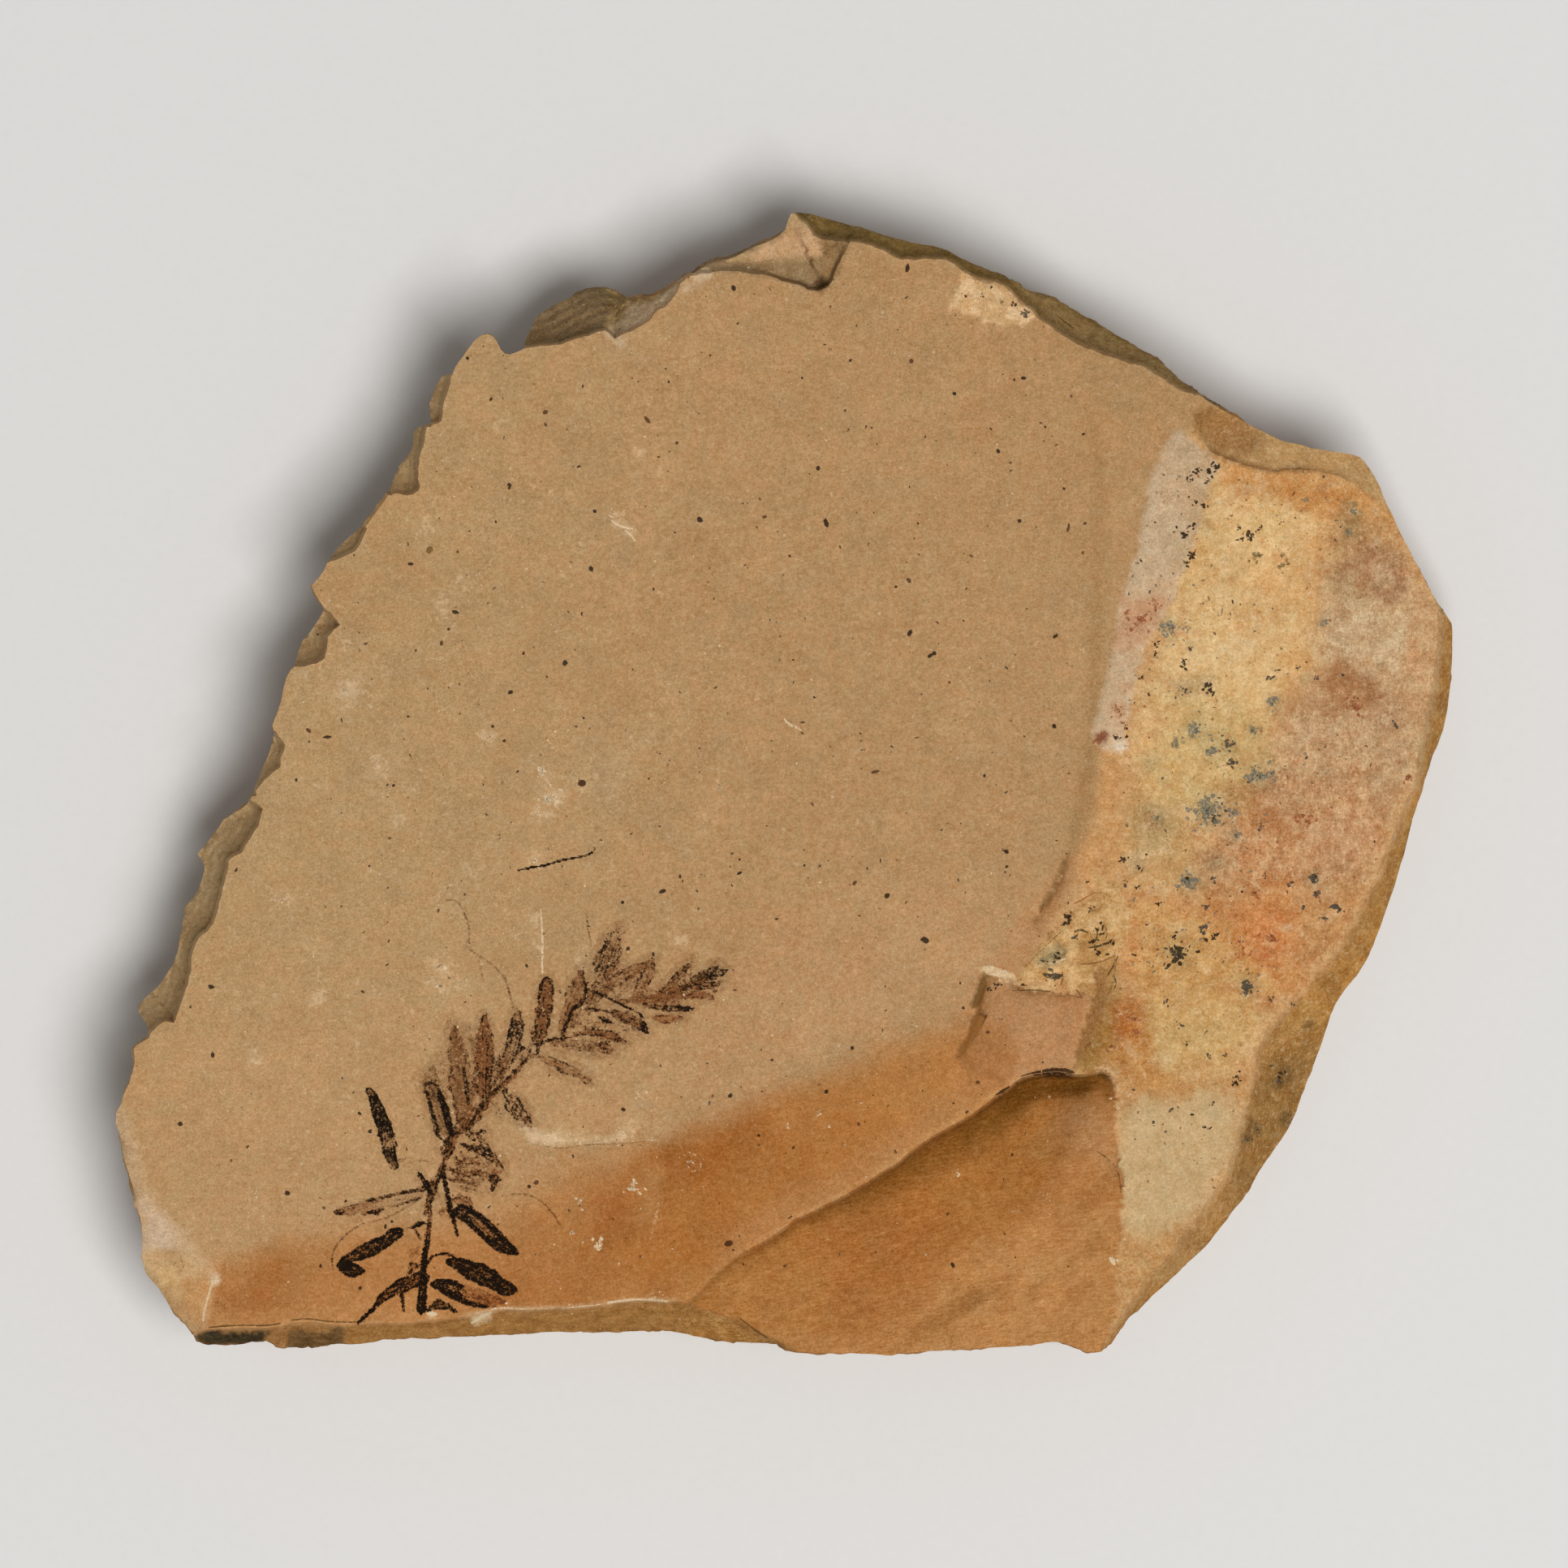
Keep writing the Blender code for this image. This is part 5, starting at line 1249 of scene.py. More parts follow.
    cream = soft([(1408, 1236), (1470, 1226), (1540, 1240), (1552, 1290), (1520, 1326),
                  (1452, 1330), (1404, 1310), (1412, 1270)], 31, 4.0)
    p.lay(0.85 * cream, (208, 172, 118), (196, 154, 98), 0.5)
    rust = soft([(1338, 1236), (1400, 1232), (1420, 1262), (1410, 1300), (1440, 1336),
                 (1420, 1352), (1376, 1340), (1340, 1310)], 32, 3.2, 1.8, 2.6)
    p.lay(0.85 * rust, (194, 138, 76), (176, 116, 58), 0.6)
    p.lay(0.60 * p.spot(1385, 1262, 24, 1.2, 33), (184, 106, 48), (172, 94, 38))
    p.lay(0.55 * soft([(1400, 1322), (1470, 1326), (1544, 1318), (1544, 1350), (1450, 1362),
                       (1396, 1352)], 34, 3.0, 1.6, 2.6), (194, 142, 84), (182, 126, 68))
    pale = soft([(1384, 1364), (1440, 1356), (1532, 1352), (1526, 1400), (1508, 1452),
                 (1470, 1510), (1410, 1536), (1384, 1500), (1380, 1430)], 35, 3.4, 1.6, 3.4)
    pale_ground = pale
    p.lay(0.92 * pale, (204, 175, 130), (194, 162, 114), 0.26, 0.25)
    p.lay(0.7 * soft([(1384, 1530), (1430, 1512), (1490, 1500), (1460, 1560),
                      (1400, 1620), (1376, 1650), (1372, 1590)], 36, 3.4, 1.4, 3.0),
          (192, 148, 94), (178, 130, 76), 0.4)
    # shaded strip between the smooth facet and the weathered face
    strip_mask = p.area([(1376, 1182), (1378, 1200), (1374, 1228), (1358, 1256), (1344, 1290),
                         (1330, 1316), (1320, 1318), (1328, 1276), (1342, 1232), (1356, 1206)],
                        0.9, 0.35, 2.0, 37)
    p.lay(0.62 * strip_mask, (180, 142, 84), (166, 126, 68), 0.3, 0.35)
    p.lay(0.60 * p.area([(1358, 1250), (1372, 1240), (1370, 1290), (1350, 1322), (1326, 1322),
                         (1334, 1290)], 1.6, 0.6, 2.0, 128), (176, 144, 74), (164, 128, 60), 0.5)
    # side of the broken strip above the weathered face, with a painted shadow in the corner at its left end
    cap = p.area([(1466, 506), (1480, 498), (1520, 520), (1580, 540), (1640, 560), (1690, 572),
                  (1680, 592), (1640, 584), (1600, 584), (1560, 576), (1520, 570), (1496, 556),
                  (1476, 540)], 1.2, 0.5, 2.0, 140)
    p.lay(0.85 * cap, (182, 136, 84), (168, 122, 72), 0.5, 0.6)
    # painted shadow in the corner at the strip's left end
    p.lay(0.80 * p.area([(1468, 508), (1484, 508), (1506, 528), (1520, 556), (1512, 566),
                         (1492, 552), (1474, 536)], 1.4, 0.7, 1.6, 141),
          (140, 100, 54), (126, 88, 44), 0.5)
    p.lay(0.55 * p.area([(1500, 540), (1560, 556), (1600, 568), (1604, 582), (1560, 576),
                         (1516, 566)], 0.9, 0.5, 1.4, 142), (160, 116, 66), (146, 102, 54), 0.5)
    p.lay(0.75 * soft([(1500, 582), (1560, 588), (1620, 596), (1680, 600), (1700, 620),
                       (1640, 632), (1560, 616), (1510, 606)], 143, 1.8, 1.2, 2.4),
          (200, 142, 82), (186, 124, 66), 0.6)
    p.lay(0.55 * soft([(1652, 622), (1668, 618), (1676, 636), (1668, 664), (1654, 668),
                       (1650, 648)], 144, 1.4, 0.9, 1.8), (150, 122, 80), (134, 108, 68), 0.7)
    p.lay(0.70 * soft([(1660, 664), (1700, 664), (1736, 690), (1744, 730), (1716, 744),
                       (1676, 724), (1644, 700)], 145, 2.6, 1.6, 2.4), (172, 130, 92),
          (156, 112, 78), 0.8)
    p.lay(0.60 * soft([(1562, 925), (1640, 915), (1730, 930), (1720, 1000), (1640, 1010),
                       (1566, 985)], 146, 4.0, 2.0, 3.4), (200, 158, 114), (180, 134, 92), 0.9)
    p.lay(0.60 * soft([(1392, 968), (1440, 980), (1462, 1030), (1440, 1056), (1400, 1050)], 147,
                      3.4, 1.8, 3.0), (182, 152, 104), (168, 138, 90), 0.7)
    p.lay(0.5 * soft([(1470, 1050), (1530, 1050), (1536, 1100), (1480, 1110)], 148,
                     3.4, 1.8, 2.6), (184, 142, 98), (166, 122, 82), 0.8)
    p.lay(0.45 * soft([(1540, 1130), (1590, 1126), (1592, 1180), (1546, 1180)], 149,
                      3.0, 1.6, 2.6), (212, 150, 96), (198, 124, 72), 0.8)
    # grey and greenish stains round the manganese
    for k, (gx, gy, gr) in enumerate([
            (1488, 997, 26), (1474, 900, 16), (1495, 924, 15), (1514, 920, 15), (1550, 957, 20),
            (1443, 772, 12), (1464, 1086, 16), (1453, 1174, 18), (1537, 1216, 14),
            (1619, 1082, 12), (1568, 866, 10), (1544, 902, 10), (1425, 1008, 12),
            (1460, 850, 12), (1520, 1030, 12), (1630, 765, 9), (1398, 1062, 12),
            (1608, 836, 9), (1482, 843, 12), (1500, 1062, 12), (1420, 940, 12)]):
        p.lay(0.42 * p.spot(gx, gy, gr, 1.5, 800 + k), (158, 144, 108), (140, 128, 96), 0.7)
    p.lay(0.30 * soft([(1440, 860), (1540, 860), (1560, 920), (1540, 1010), (1450, 1010),
                       (1410, 960)], 177), (200, 176, 112), (184, 156, 92))
    p.lay(0.45 * soft([(1400, 1112), (1500, 1150), (1560, 1200), (1540, 1300), (1440, 1320),
                       (1400, 1220)], 178, 3.2, 2.0, 2.4), (206, 170, 108), (190, 150, 88), 0.7)
    # freckles: rust, pale and olive
    freckle = ease((fractal(points, 1.9, 3, 38) - 0.36) / 0.35) * p.fleck
    p.lay(0.36 * freckle * (1 - pale), (184, 122, 74), (172, 108, 62))
    milky = ease((fractal(points, 1.6, 3, 39) - 0.38) / 0.35) * p.fleck
    p.lay(0.34 * milky, (222, 192, 150), (210, 176, 132))
    olive = ease((fractal(points, 2.4, 4, 129) - 0.50) / 0.3) * p.fleck * np.maximum(yellow, 0.4)
    p.lay(0.30 * olive, (150, 130, 86), (136, 116, 74))

    # the pale crust
    p.lay(0.85 * s["crust"], (207, 180, 147), (192, 163, 128), 0.45, 0.6)
    p.lay(0.6 * s["crust"] * ease((740 - py) / 40) * ease((px - 1420) / 50),
          (192, 160, 124), (178, 148, 110), 0.6)
    p.fleck = p.fleck * (1 - 0.8 * s["crust"]) + 0.12 * s["crust"]
    p.lay(0.5 * s["crust"] * p.area([(1385, 735), (1440, 735), (1420, 790), (1368, 800)],
                                    1.0, 0.6, 1.5, 40), (198, 146, 106), (186, 132, 92))
    for px_, py_, r in ((1406, 762, 13), (1424, 742, 9), (1379, 876, 12), (1388, 846, 8)):
        p.lay(0.38 * p.spot(px_, py_, r, 1.3, 41), (188, 132, 92), (176, 116, 76))
    p.lay(0.85 * p.spot(1358, 909, 8, 0.6, 42), (120, 62, 40), (106, 54, 36))
    p.lay(0.85 * p.spot(1381, 919, 7, 0.6, 43), (236, 216, 190), (224, 200, 170))

    # bevel at the upper right corner
    b = ease(s["bevel"] / 0.4)
    p.lay(0.92 * b, (196, 158, 107), (186, 144, 92), 0.4, 0.6)
    # painted shadow in the corner at the bevel's left end
    p.lay(0.9 * b * p.area([(1470, 490), (1502, 496), (1560, 530), (1556, 556), (1520, 560),
                            (1480, 546)], 2.2, 0.8, 2.5, 44), (166, 122, 74), (154, 110, 62))
    p.lay(0.5 * b * p.area([(1560, 540), (1620, 552), (1680, 566), (1700, 600), (1640, 590),
                            (1570, 576)], 1.6, 0.8, 2.5, 45), (200, 160, 106), (190, 146, 92))
    # painted shadow line along the bevel's inner edge
    line = np.exp(-(s["bevel_gap"] / 0.28) ** 2) * ease((px - 1484) / 8) * ease((1640 - px) / 40)
    p.lay(0.6 * line, (128, 88, 50), (120, 80, 44))

    # crumbled rind, cream crumbs, smooth pink facet
    p.lay(0.92 * s["crumble"], (210, 170, 114), (184, 138, 82), 0.7, 0.9)
    p.lay(0.75 * p.area([(1250, 1203), (1290, 1206), (1322, 1200), (1346, 1200), (1346, 1222),
                         (1300, 1221), (1252, 1220)], 0.6, 0.4, 1.4, 179),
          (196, 152, 102), (184, 138, 88), 0.5)
    p.lay(0.75 * p.area([(1320, 1178), (1340, 1150), (1362, 1158), (1372, 1186), (1366, 1214),
                         (1344, 1224), (1322, 1200)], 0.9, 0.6, 1.4, 180),
          (186, 140, 84), (170, 124, 68), 0.6)
    p.lay(0.55 * p.area([(1276, 1174), (1300, 1164), (1320, 1166), (1314, 1184), (1290, 1192),
                         (1276, 1188)], 0.7, 0.5, 1.2, 181), (150, 142, 108), (134, 124, 92), 0.6)
    p.lay(0.5 * s["crumble"] * ease((fractal(points, 1.3, 2, 46) - 0.2) / 0.3),
          (226, 190, 138), (214, 174, 118))
    p.lay(0.9 * s["facet"], (186, 136, 92), (178, 128, 84), 0.15, 0.3)
    p.lay(0.65 * s["facet"] * p.area([(1190, 1260), (1236, 1262), (1256, 1300), (1240, 1350),
                                      (1190, 1360)], 2.4, 0.6, 2.5, 47),
          (176, 118, 66), (168, 110, 58))
    p.lay(0.45 * p.area([(1176, 1240), (1212, 1236), (1222, 1270), (1218, 1330), (1196, 1362),
                         (1166, 1340), (1168, 1290)], 3.0, 0.8, 2.5, 48),
          (180, 124, 74), (170, 114, 66))
    p.lay(0.95 * s["cream"], (222, 186, 140), (204, 162, 112), 0.85, 0.95)
    p.lay(0.75 * np.clip(s["riser"] * 1.6, 0, 1), (140, 96, 54), (128, 86, 46), 0.3)

    # the scar
    c = s["inside_scar"]
    p.lay(c, (177, 121, 65), (167, 109, 56), 0.20, 0.25)
    d = s["scar"]
    p.lay(0.85 * c * p.area([(1180, 1540), (1290, 1500), (1376, 1480), (1380, 1640),
                             (1340, 1670), (1120, 1670), (1110, 1640)], 9.0, 2.0, 6, 49),
          (194, 142, 88), (184, 130, 76))
    p.lay(0.55 * c * p.area([(1040, 1490), (1150, 1460), (1180, 1520), (1130, 1610),
                             (1030, 1620), (1000, 1560)], 7.0, 2.0, 5, 50),
          (174, 110, 56), (164, 100, 48))
    p.lay(0.5 * c * p.area([(880, 1590), (960, 1550), (1010, 1590), (1000, 1660),
                            (900, 1650)], 6.0, 1.6, 4, 51), (184, 128, 72), (174, 118, 62))
    p.lay(0.65 * c * p.area([(1310, 1360), (1374, 1344), (1376, 1440), (1320, 1440),
                             (1290, 1400)], 4.0, 1.2, 3, 52), (190, 142, 96), (178, 128, 82))
    p.lay(0.34 * c * p.spot(1275, 1420, 16, 1.3, 53), (182, 148, 94), (172, 136, 82))
    p.lay(0.34 * c * p.area([(1196, 1395), (1260, 1372), (1330, 1400), (1300, 1480),
                             (1220, 1470)], 5.0, 1.4, 4, 54), (160, 104, 46), (148, 92, 38))
    # olive-brown in the hollow under its edge: painted shadow under the lip, over an olive stain
    reach = np.interp(px, [860, 980, 1100, 1200, 1290, 1376], [0.6, 1.2, 2.5, 3.0, 2.5, 0.9])
    reach = reach * (1 + 0.25 * fractal(points, 5, 2, 133))
    hollow = ease(d / 0.3) * ease(1.25 - 0.9 * (d - 0.35 * reach) / reach) * ease((1388 - px) / 30)
    deepest = np.interp(px, [860, 1000, 1100, 1180, 1240], [0.40, 0.58, 0.76, 0.90, 0.96])
    p.lay(deepest * hollow * (0.92 + 0.2 * fractal(points, 2.5, 3, 130)), (100, 62, 12),
          (90, 54, 8))
    # painted shadow right under the lip at its upper right
    p.lay(0.80 * c * p.area([(1222, 1360), (1250, 1338), (1290, 1330), (1340, 1332), (1360, 1340),
                             (1330, 1352), (1280, 1354), (1240, 1368)], 1.5, 0.6, 1.6, 182),
          (86, 52, 8), (76, 44, 6))
    # painted shade fading out away from the lip
    p.lay(0.34 * c * np.exp(-(d / (2.6 * reach)) ** 2), (150, 96, 36), (142, 88, 30))
    # painted highlight: a pale line along the top of the scar's lip
    lip = np.exp(-((s["scar_gap"] - 0.1) / 0.45) ** 2) * (d <= 0)
    p.lay(0.50 * lip * ease((1330 - px) / 60) * (0.3 + 0.7 * ease((px - 880) / 60)), (206, 158, 106), (198, 148, 96))
    p.hatch = np.maximum(p.hatch, 0.95 * c)
    streaks = ease((noise(np.stack([(points @ [0.80, 0.60]) / 5, points @ [-0.60, 0.80]], 1),
                          0.9, 131) - 0.1) / 0.6)
    p.lay(0.24 * c * streaks, (150, 96, 44), (140, 88, 38))
    p.lay(0.35 * c * p.area([(1140, 1430), (1240, 1420), (1290, 1440), (1240, 1520),
                             (1160, 1540), (1110, 1500)], 5.0, 1.6, 4, 134), (180, 118, 56),
          (170, 108, 50))
    # the swell across it, and below that a painted shadow band along the break of slope
    p.lay(0.45 * c * p.area([(1300, 1440), (1330, 1420), (1350, 1440), (1320, 1500),
                             (1270, 1560), (1222, 1600), (1216, 1580), (1250, 1530)],
                            1.8, 0.6, 3, 135), (186, 130, 78), (176, 120, 68))
    # painted shadow band along the break of slope
    p.lay(0.50 * c * p.area([(1216, 1584), (1230, 1590), (1200, 1616), (1150, 1640),
                             (1110, 1668), (1090, 1668), (1130, 1630), (1160, 1606)],
                            1.0, 0.4, 2, 136), (142, 92, 42), (134, 84, 36))
    for kx, ky, kr in ((1236, 1586, 15), (1240, 1608, 15), (1270, 1592, 12), (1200, 1600, 12)):
        p.lay(0.30 * c * p.spot(kx, ky, kr, 1.0, int(kx)), (150, 100, 52), (142, 92, 46))
    low_rim = ease((py - 1636) / 16) * c
    p.lay(0.5 * low_rim, (188, 136, 84), (178, 126, 74))

    # broken faces along the right
    r = s["broken"]
    p.lay(0.9 * r, (184, 136, 72), (162, 112, 50), 0.6, 0.8)
    p.lay(0.6 * r * ease((s["ridge"] - 3.0) / 4), (166, 124, 68), (146, 104, 50), 0.5)
    p.lay(0.7 * r * p.area([(1560, 1300), (1610, 1290), (1600, 1370), (1560, 1440),
                            (1520, 1480), (1530, 1400)], 2.4, 1.4, 3, 55),
          (160, 120, 68), (140, 100, 50))
    p.lay(0.5 * r * p.area([(1500, 1480), (1540, 1450), (1480, 1540), (1400, 1610),
                            (1420, 1560)], 1.6, 0.8, 3, 56), (186, 148, 98), (172, 130, 80))
    for kx, ky, kr in ((1583, 1325, 11), (1546, 1391, 9), (1586, 1378, 9), (1574, 1336, 8),
                       (1536, 1403, 7), (1612, 1262, 8)):
        p.lay(0.7 * p.spot(kx, ky, kr, 1.1, int(kx)), (112, 86, 48), (92, 70, 38), 0.7)
    ridge_edge = np.exp(-(s["ridge_gap"] / 0.7) ** 2) * ease((px - 1420) / 60)
    p.lay(0.35 * ridge_edge, (206, 164, 112), (196, 150, 98))
    p.lay(0.35 * r * ease((fractal(points, 3.5, 2, 57) - 0.1) / 0.4), (150, 112, 66), (136, 98, 54))

    # worn corner
    k = ease(s["corner"] / 0.8)
    p.lay(0.9 * k, (204, 170, 126), (192, 154, 110), 0.4, 0.6)
    p.lay(0.55 * k * ease((py - 1580) / 40), (204, 158, 106), (194, 146, 94))
    p.lay(0.4 * k * ease((1400 - py) / 60), (190, 152, 110), (180, 142, 100))
    p.lay(0.45 * np.exp(-(s["corner_gap"] / 0.5) ** 2) * ease((py - 1380) / 60)
          * ease((1650 - py) / 20), (214, 182, 142), (206, 170, 128))
    p.lay(0.9 * p.spot(263, 1575, 8, 0.7, 58), (226, 200, 166), (216, 186, 150))

    # bottom strip
    f = ease(s["foot"] / 0.25)
    p.lay(0.92 * f, (170, 124, 72), (150, 106, 56), 0.7, 0.8)
    p.lay(0.7 * f * p.area([(420, 1630), (600, 1622), (840, 1604), (960, 1660), (600, 1660),
                            (430, 1660)], 1.5, 0.5, 3, 59), (172, 124, 66), (150, 104, 50))
    p.lay(0.92 * f * p.area([(236, 1639), (290, 1640), (334, 1638), (328, 1650), (316, 1662),
                             (236, 1662)], 0.5, 0.6, 1.5, 60), (50, 46, 27), (36, 34, 20), 0.7)
    p.lay(0.75 * f * p.area([(352, 1643), (372, 1640), (392, 1641), (420, 1638), (432, 1646),
                             (420, 1665), (352, 1665)], 0.6, 0.6, 1.5, 61),
          (100, 74, 42), (78, 60, 34), 0.9)
    hair = np.exp(-((s["foot_gap"] - 0.12) / 0.16) ** 2) * ease((px - 560) / 20)
    hair *= ease((842 - px) / 20)
    p.lay(0.75 * hair, (222, 190, 148), (212, 176, 132))
    hair = np.exp(-(s["foot_gap"] / 0.22) ** 2) * ease((560 - px) / 20) * ease((px - 250) / 10)
    p.lay(0.35 * hair, (206, 160, 110), (196, 150, 100))
    p.lay(0.8 * p.spot(531, 1619, 5, 0.8, 62), (222, 196, 156), (214, 184, 142))
    p.lay(0.7 * p.area([(579, 1622), (606, 1615), (606, 1626), (590, 1633), (580, 1630)],
                       0.4, 0.15, 0.8, 63), (222, 196, 156), (212, 182, 140))

    # broken layers at the left and the top
    l = s["ledge"]
    p.lay(0.92 * l, (193, 161, 117), (181, 149, 105), 0.4, 0.5)
    p.lay(0.5 * l * ease((s["left"] - 1.6) / 2), (188, 156, 112), (174, 142, 100), 0.4)
    chip = p.area([(860, 345), (920, 320), (975, 285), (1010, 292), (1046, 300),
                   (1030, 345), (1005, 360), (950, 345), (880, 340)], 1.2, 0.4, 2, 64)
    p.lay(0.9 * l * chip, (170, 140, 98), (158, 126, 84), 0.4)
    p.lay(0.6 * l * p.area([(965, 280), (1012, 292), (1040, 300), (1020, 330), (985, 315)],
                           1.2, 0.4, 2, 65), (158, 128, 92), (146, 116, 80))
    ledge_top = p.area([(646, 430), (660, 385), (720, 350), (760, 356), (830, 345),
                        (850, 338), (836, 365), (790, 402), (752, 414), (700, 424)],
                       1.2, 0.3, 2, 66)
    p.lay(0.85 * l * ledge_top, (150, 121, 78), (130, 104, 62))
    # painted shade on the left part of the ledge
    p.lay(0.6 * l * ledge_top * p.area([(700, 352), (770, 362), (766, 384), (716, 380)],
                                       1.0, 0.4, 2, 67), (120, 98, 62), (108, 88, 54))
    p.lay(0.55 * l * p.area([(840, 338), (880, 322), (875, 345), (800, 402), (766, 418),
                             (790, 392), (820, 368)], 0.9, 0.4, 1.5, 68),
          (206, 178, 146), (190, 160, 126))
    edge = np.exp(-(s["left_gap"] / 0.35) ** 2) * (s["left"] <= 0)
    p.lay(0.35 * edge, (196, 162, 118), (188, 152, 108))
    # steep face along the top right
    t = ease(s["top"] / 0.3)
    p.lay(0.95 * t, (152, 121, 66), (128, 100, 48), 0.6, 0.8)
    p.lay(0.6 * t * p.area([(1240, 340), (1340, 396), (1440, 452), (1500, 500), (1440, 470),
                            (1340, 426), (1260, 372)], 0.8, 0.4, 2, 69),
          (172, 140, 92), (156, 122, 76))
    p.lay(0.5 * t * np.exp(-((s["top"] - 0.7) / 0.4) ** 2), (92, 70, 32), (82, 62, 28))
    edge = np.exp(-(s["top_gap"] / 0.35) ** 2) * (s["top"] <= 0)
    p.lay(0.35 * edge, (198, 160, 114), (188, 150, 104))
    # short dark faces of the two risers beside the pink facet
    for k, (wedge, shade_, strength) in enumerate([
            ([(1210, 1198), (1217, 1202), (1214, 1214), (1205, 1234), (1199, 1242), (1195, 1240),
              (1203, 1222)], (112, 82, 40), 0.85),
            ([(1202, 1248), (1216, 1246), (1212, 1262), (1200, 1282), (1186, 1303),
              (1180, 1302), (1190, 1278), (1198, 1262)], (142, 94, 48), 0.75),
            ([(1213, 1249), (1217, 1251), (1206, 1268), (1200, 1278), (1197, 1276),
              (1206, 1260)], (112, 72, 34), 0.7),
            ([(1311, 1058), (1316, 1058), (1304, 1084), (1294, 1106), (1285, 1120),
              (1280, 1118), (1292, 1098), (1302, 1078)], (118, 88, 46), 0.75)]):
        p.lay(strength * p.area(wedge, 0.45, 0.16, 1.0, 150 + k), shade_,
              tuple(0.88 * v for v in shade_), 0.3, 0.4)
    # painted shadow in the gaps under the facet's lower edge
    p.lay(0.75 * p.area([(1280, 1323), (1296, 1322), (1324, 1323), (1322, 1328), (1300, 1329),
                         (1286, 1327)], 0.25, 0.1, 1.0, 156), (52, 34, 14), (44, 28, 12))
    p.lay(0.6 * p.area([(1229, 1351), (1237, 1345), (1243, 1342), (1239, 1348), (1232, 1353)],
                       0.2, 0.1, 1.0, 157), (52, 34, 14), (44, 28, 12))
    p.lay(0.6 * p.area([(1345, 1321), (1360, 1319), (1369, 1326), (1375, 1341), (1371, 1341),
                        (1364, 1329), (1350, 1324)], 0.25, 0.1, 1.0, 158), (92, 64, 30), (80, 54, 24))
    p.fleck *= 1 - s["facet"] * 0.9
    p.chalk *= 1 - 0.7 * ease((s["inside_scar"] - 0.1) / 0.5)
    p.chalk *= 1 - np.clip(s["crumble"] + s["facet"] + s["crust"], 0, 1)
    for part in (s["foot"] / 0.25, s["top"] / 0.3, s["ledge"] * 2, s["broken"] * 2,
                 s["bevel"] / 0.4, s["riser"] * 1.6):
        p.chalk *= 1 - 0.9 * ease(np.clip(part, 0, 1))
    p.fleck *= 1 - ease((s["inside_scar"] - 0.1) / 0.5)
    p.fleck *= 1 - 0.75 * pale_ground
    p.fleck *= 1 - 0.85 * strip_mask
    # worn lower left corner: whitish rind above, orange facet below
    whitish = p.area([(146, 1352), (158, 1372), (166, 1402), (176, 1450), (196, 1490), (226, 1520),
                      (262, 1560), (268, 1574), (248, 1584), (214, 1586), (180, 1568),
                      (174, 1530), (160, 1462), (148, 1402), (142, 1370)], 1.6, 0.8, 2.0, 160)
    p.lay(0.60 * whitish, (206, 172, 134), (194, 158, 118), 0.4, 0.5)
    p.lay(0.55 * p.area([(172, 1480), (190, 1484), (214, 1516), (222, 1540), (196, 1550),
                         (178, 1536)], 2.2, 0.8, 1.6, 161), (220, 192, 164), (208, 178, 146), 0.6)
    p.lay(0.50 * p.area([(192, 1540), (216, 1536), (226, 1556), (220, 1572), (200, 1566)],
                        0.9, 0.5, 1.0, 162), (178, 134, 88), (166, 122, 76), 0.8)
    facet = p.area([(214, 1578), (250, 1574), (262, 1580), (256, 1606), (250, 1630), (240, 1632),
                    (226, 1604)], 0.8, 0.4, 1.4, 163)
    p.lay(0.45 * p.area([(176, 1546), (230, 1540), (262, 1570), (250, 1582), (216, 1586),
                         (190, 1570)], 1.4, 0.6, 1.6, 175), (214, 174, 118), (202, 158, 100), 0.5)
    p.lay(0.80 * facet, (216, 162, 106), (204, 148, 90), 0.5, 0.5)
    p.lay(0.45 * p.area([(176, 1586), (204, 1606), (232, 1640), (244, 1652), (232, 1652),
                         (200, 1616)], 0.8, 0.5, 1.6, 164), (152, 118, 78), (140, 106, 66), 0.5)
    p.lay(0.80 * p.area([(182, 1560), (214, 1562), (226, 1590), (222, 1606), (200, 1592)],
                         1.2, 0.5, 1.6, 183), (224, 186, 132), (212, 170, 114), 0.5)
    # painted shadow line running down from the scar's left corner
    p.lay(0.35 * p.area([(902, 1617), (920, 1628), (950, 1648), (982, 1660), (980, 1666),
                         (946, 1658), (916, 1638)], 0.7, 0.2, 1.0, 184), (124, 86, 42),
          (112, 76, 36))
    # notch in the upper edge: light above, grey-brown below, with painted shade where it is deepest
    notch = s["ledge"] * 0 + p.area([(862, 342), (900, 320), (950, 290), (984, 270), (1010, 284),
                                     (1046, 296), (1040, 330), (1024, 356), (1004, 362),
                                     (970, 350), (920, 342)], 0.4)
    p.lay(0.75 * notch * p.area([(922, 313), (956, 292), (984, 280), (1006, 290), (1012, 313),
                                 (978, 320), (934, 324)], 1.2, 0.5, 1.6, 165),
          (214, 172, 130), (200, 158, 114), 0.5)
    p.lay(0.65 * notch * p.area([(872, 332), (922, 325), (978, 322), (1014, 322), (1022, 348),
                                 (1006, 360), (984, 352), (950, 344), (900, 338)],
                                1.2, 0.5, 1.4, 166), (150, 122, 88), (136, 108, 74), 0.5)
    p.lay(0.70 * notch * p.area([(1012, 290), (1046, 294), (1042, 326), (1026, 350), (1016, 340)],
                                0.8, 0.4, 1.2, 167), (146, 114, 74), (130, 98, 60), 0.5)
    # painted shade in the deepest part of the notch
    p.lay(0.85 * p.spot(1012, 350, 9, 0.9, 168), (88, 62, 34), (74, 50, 26))
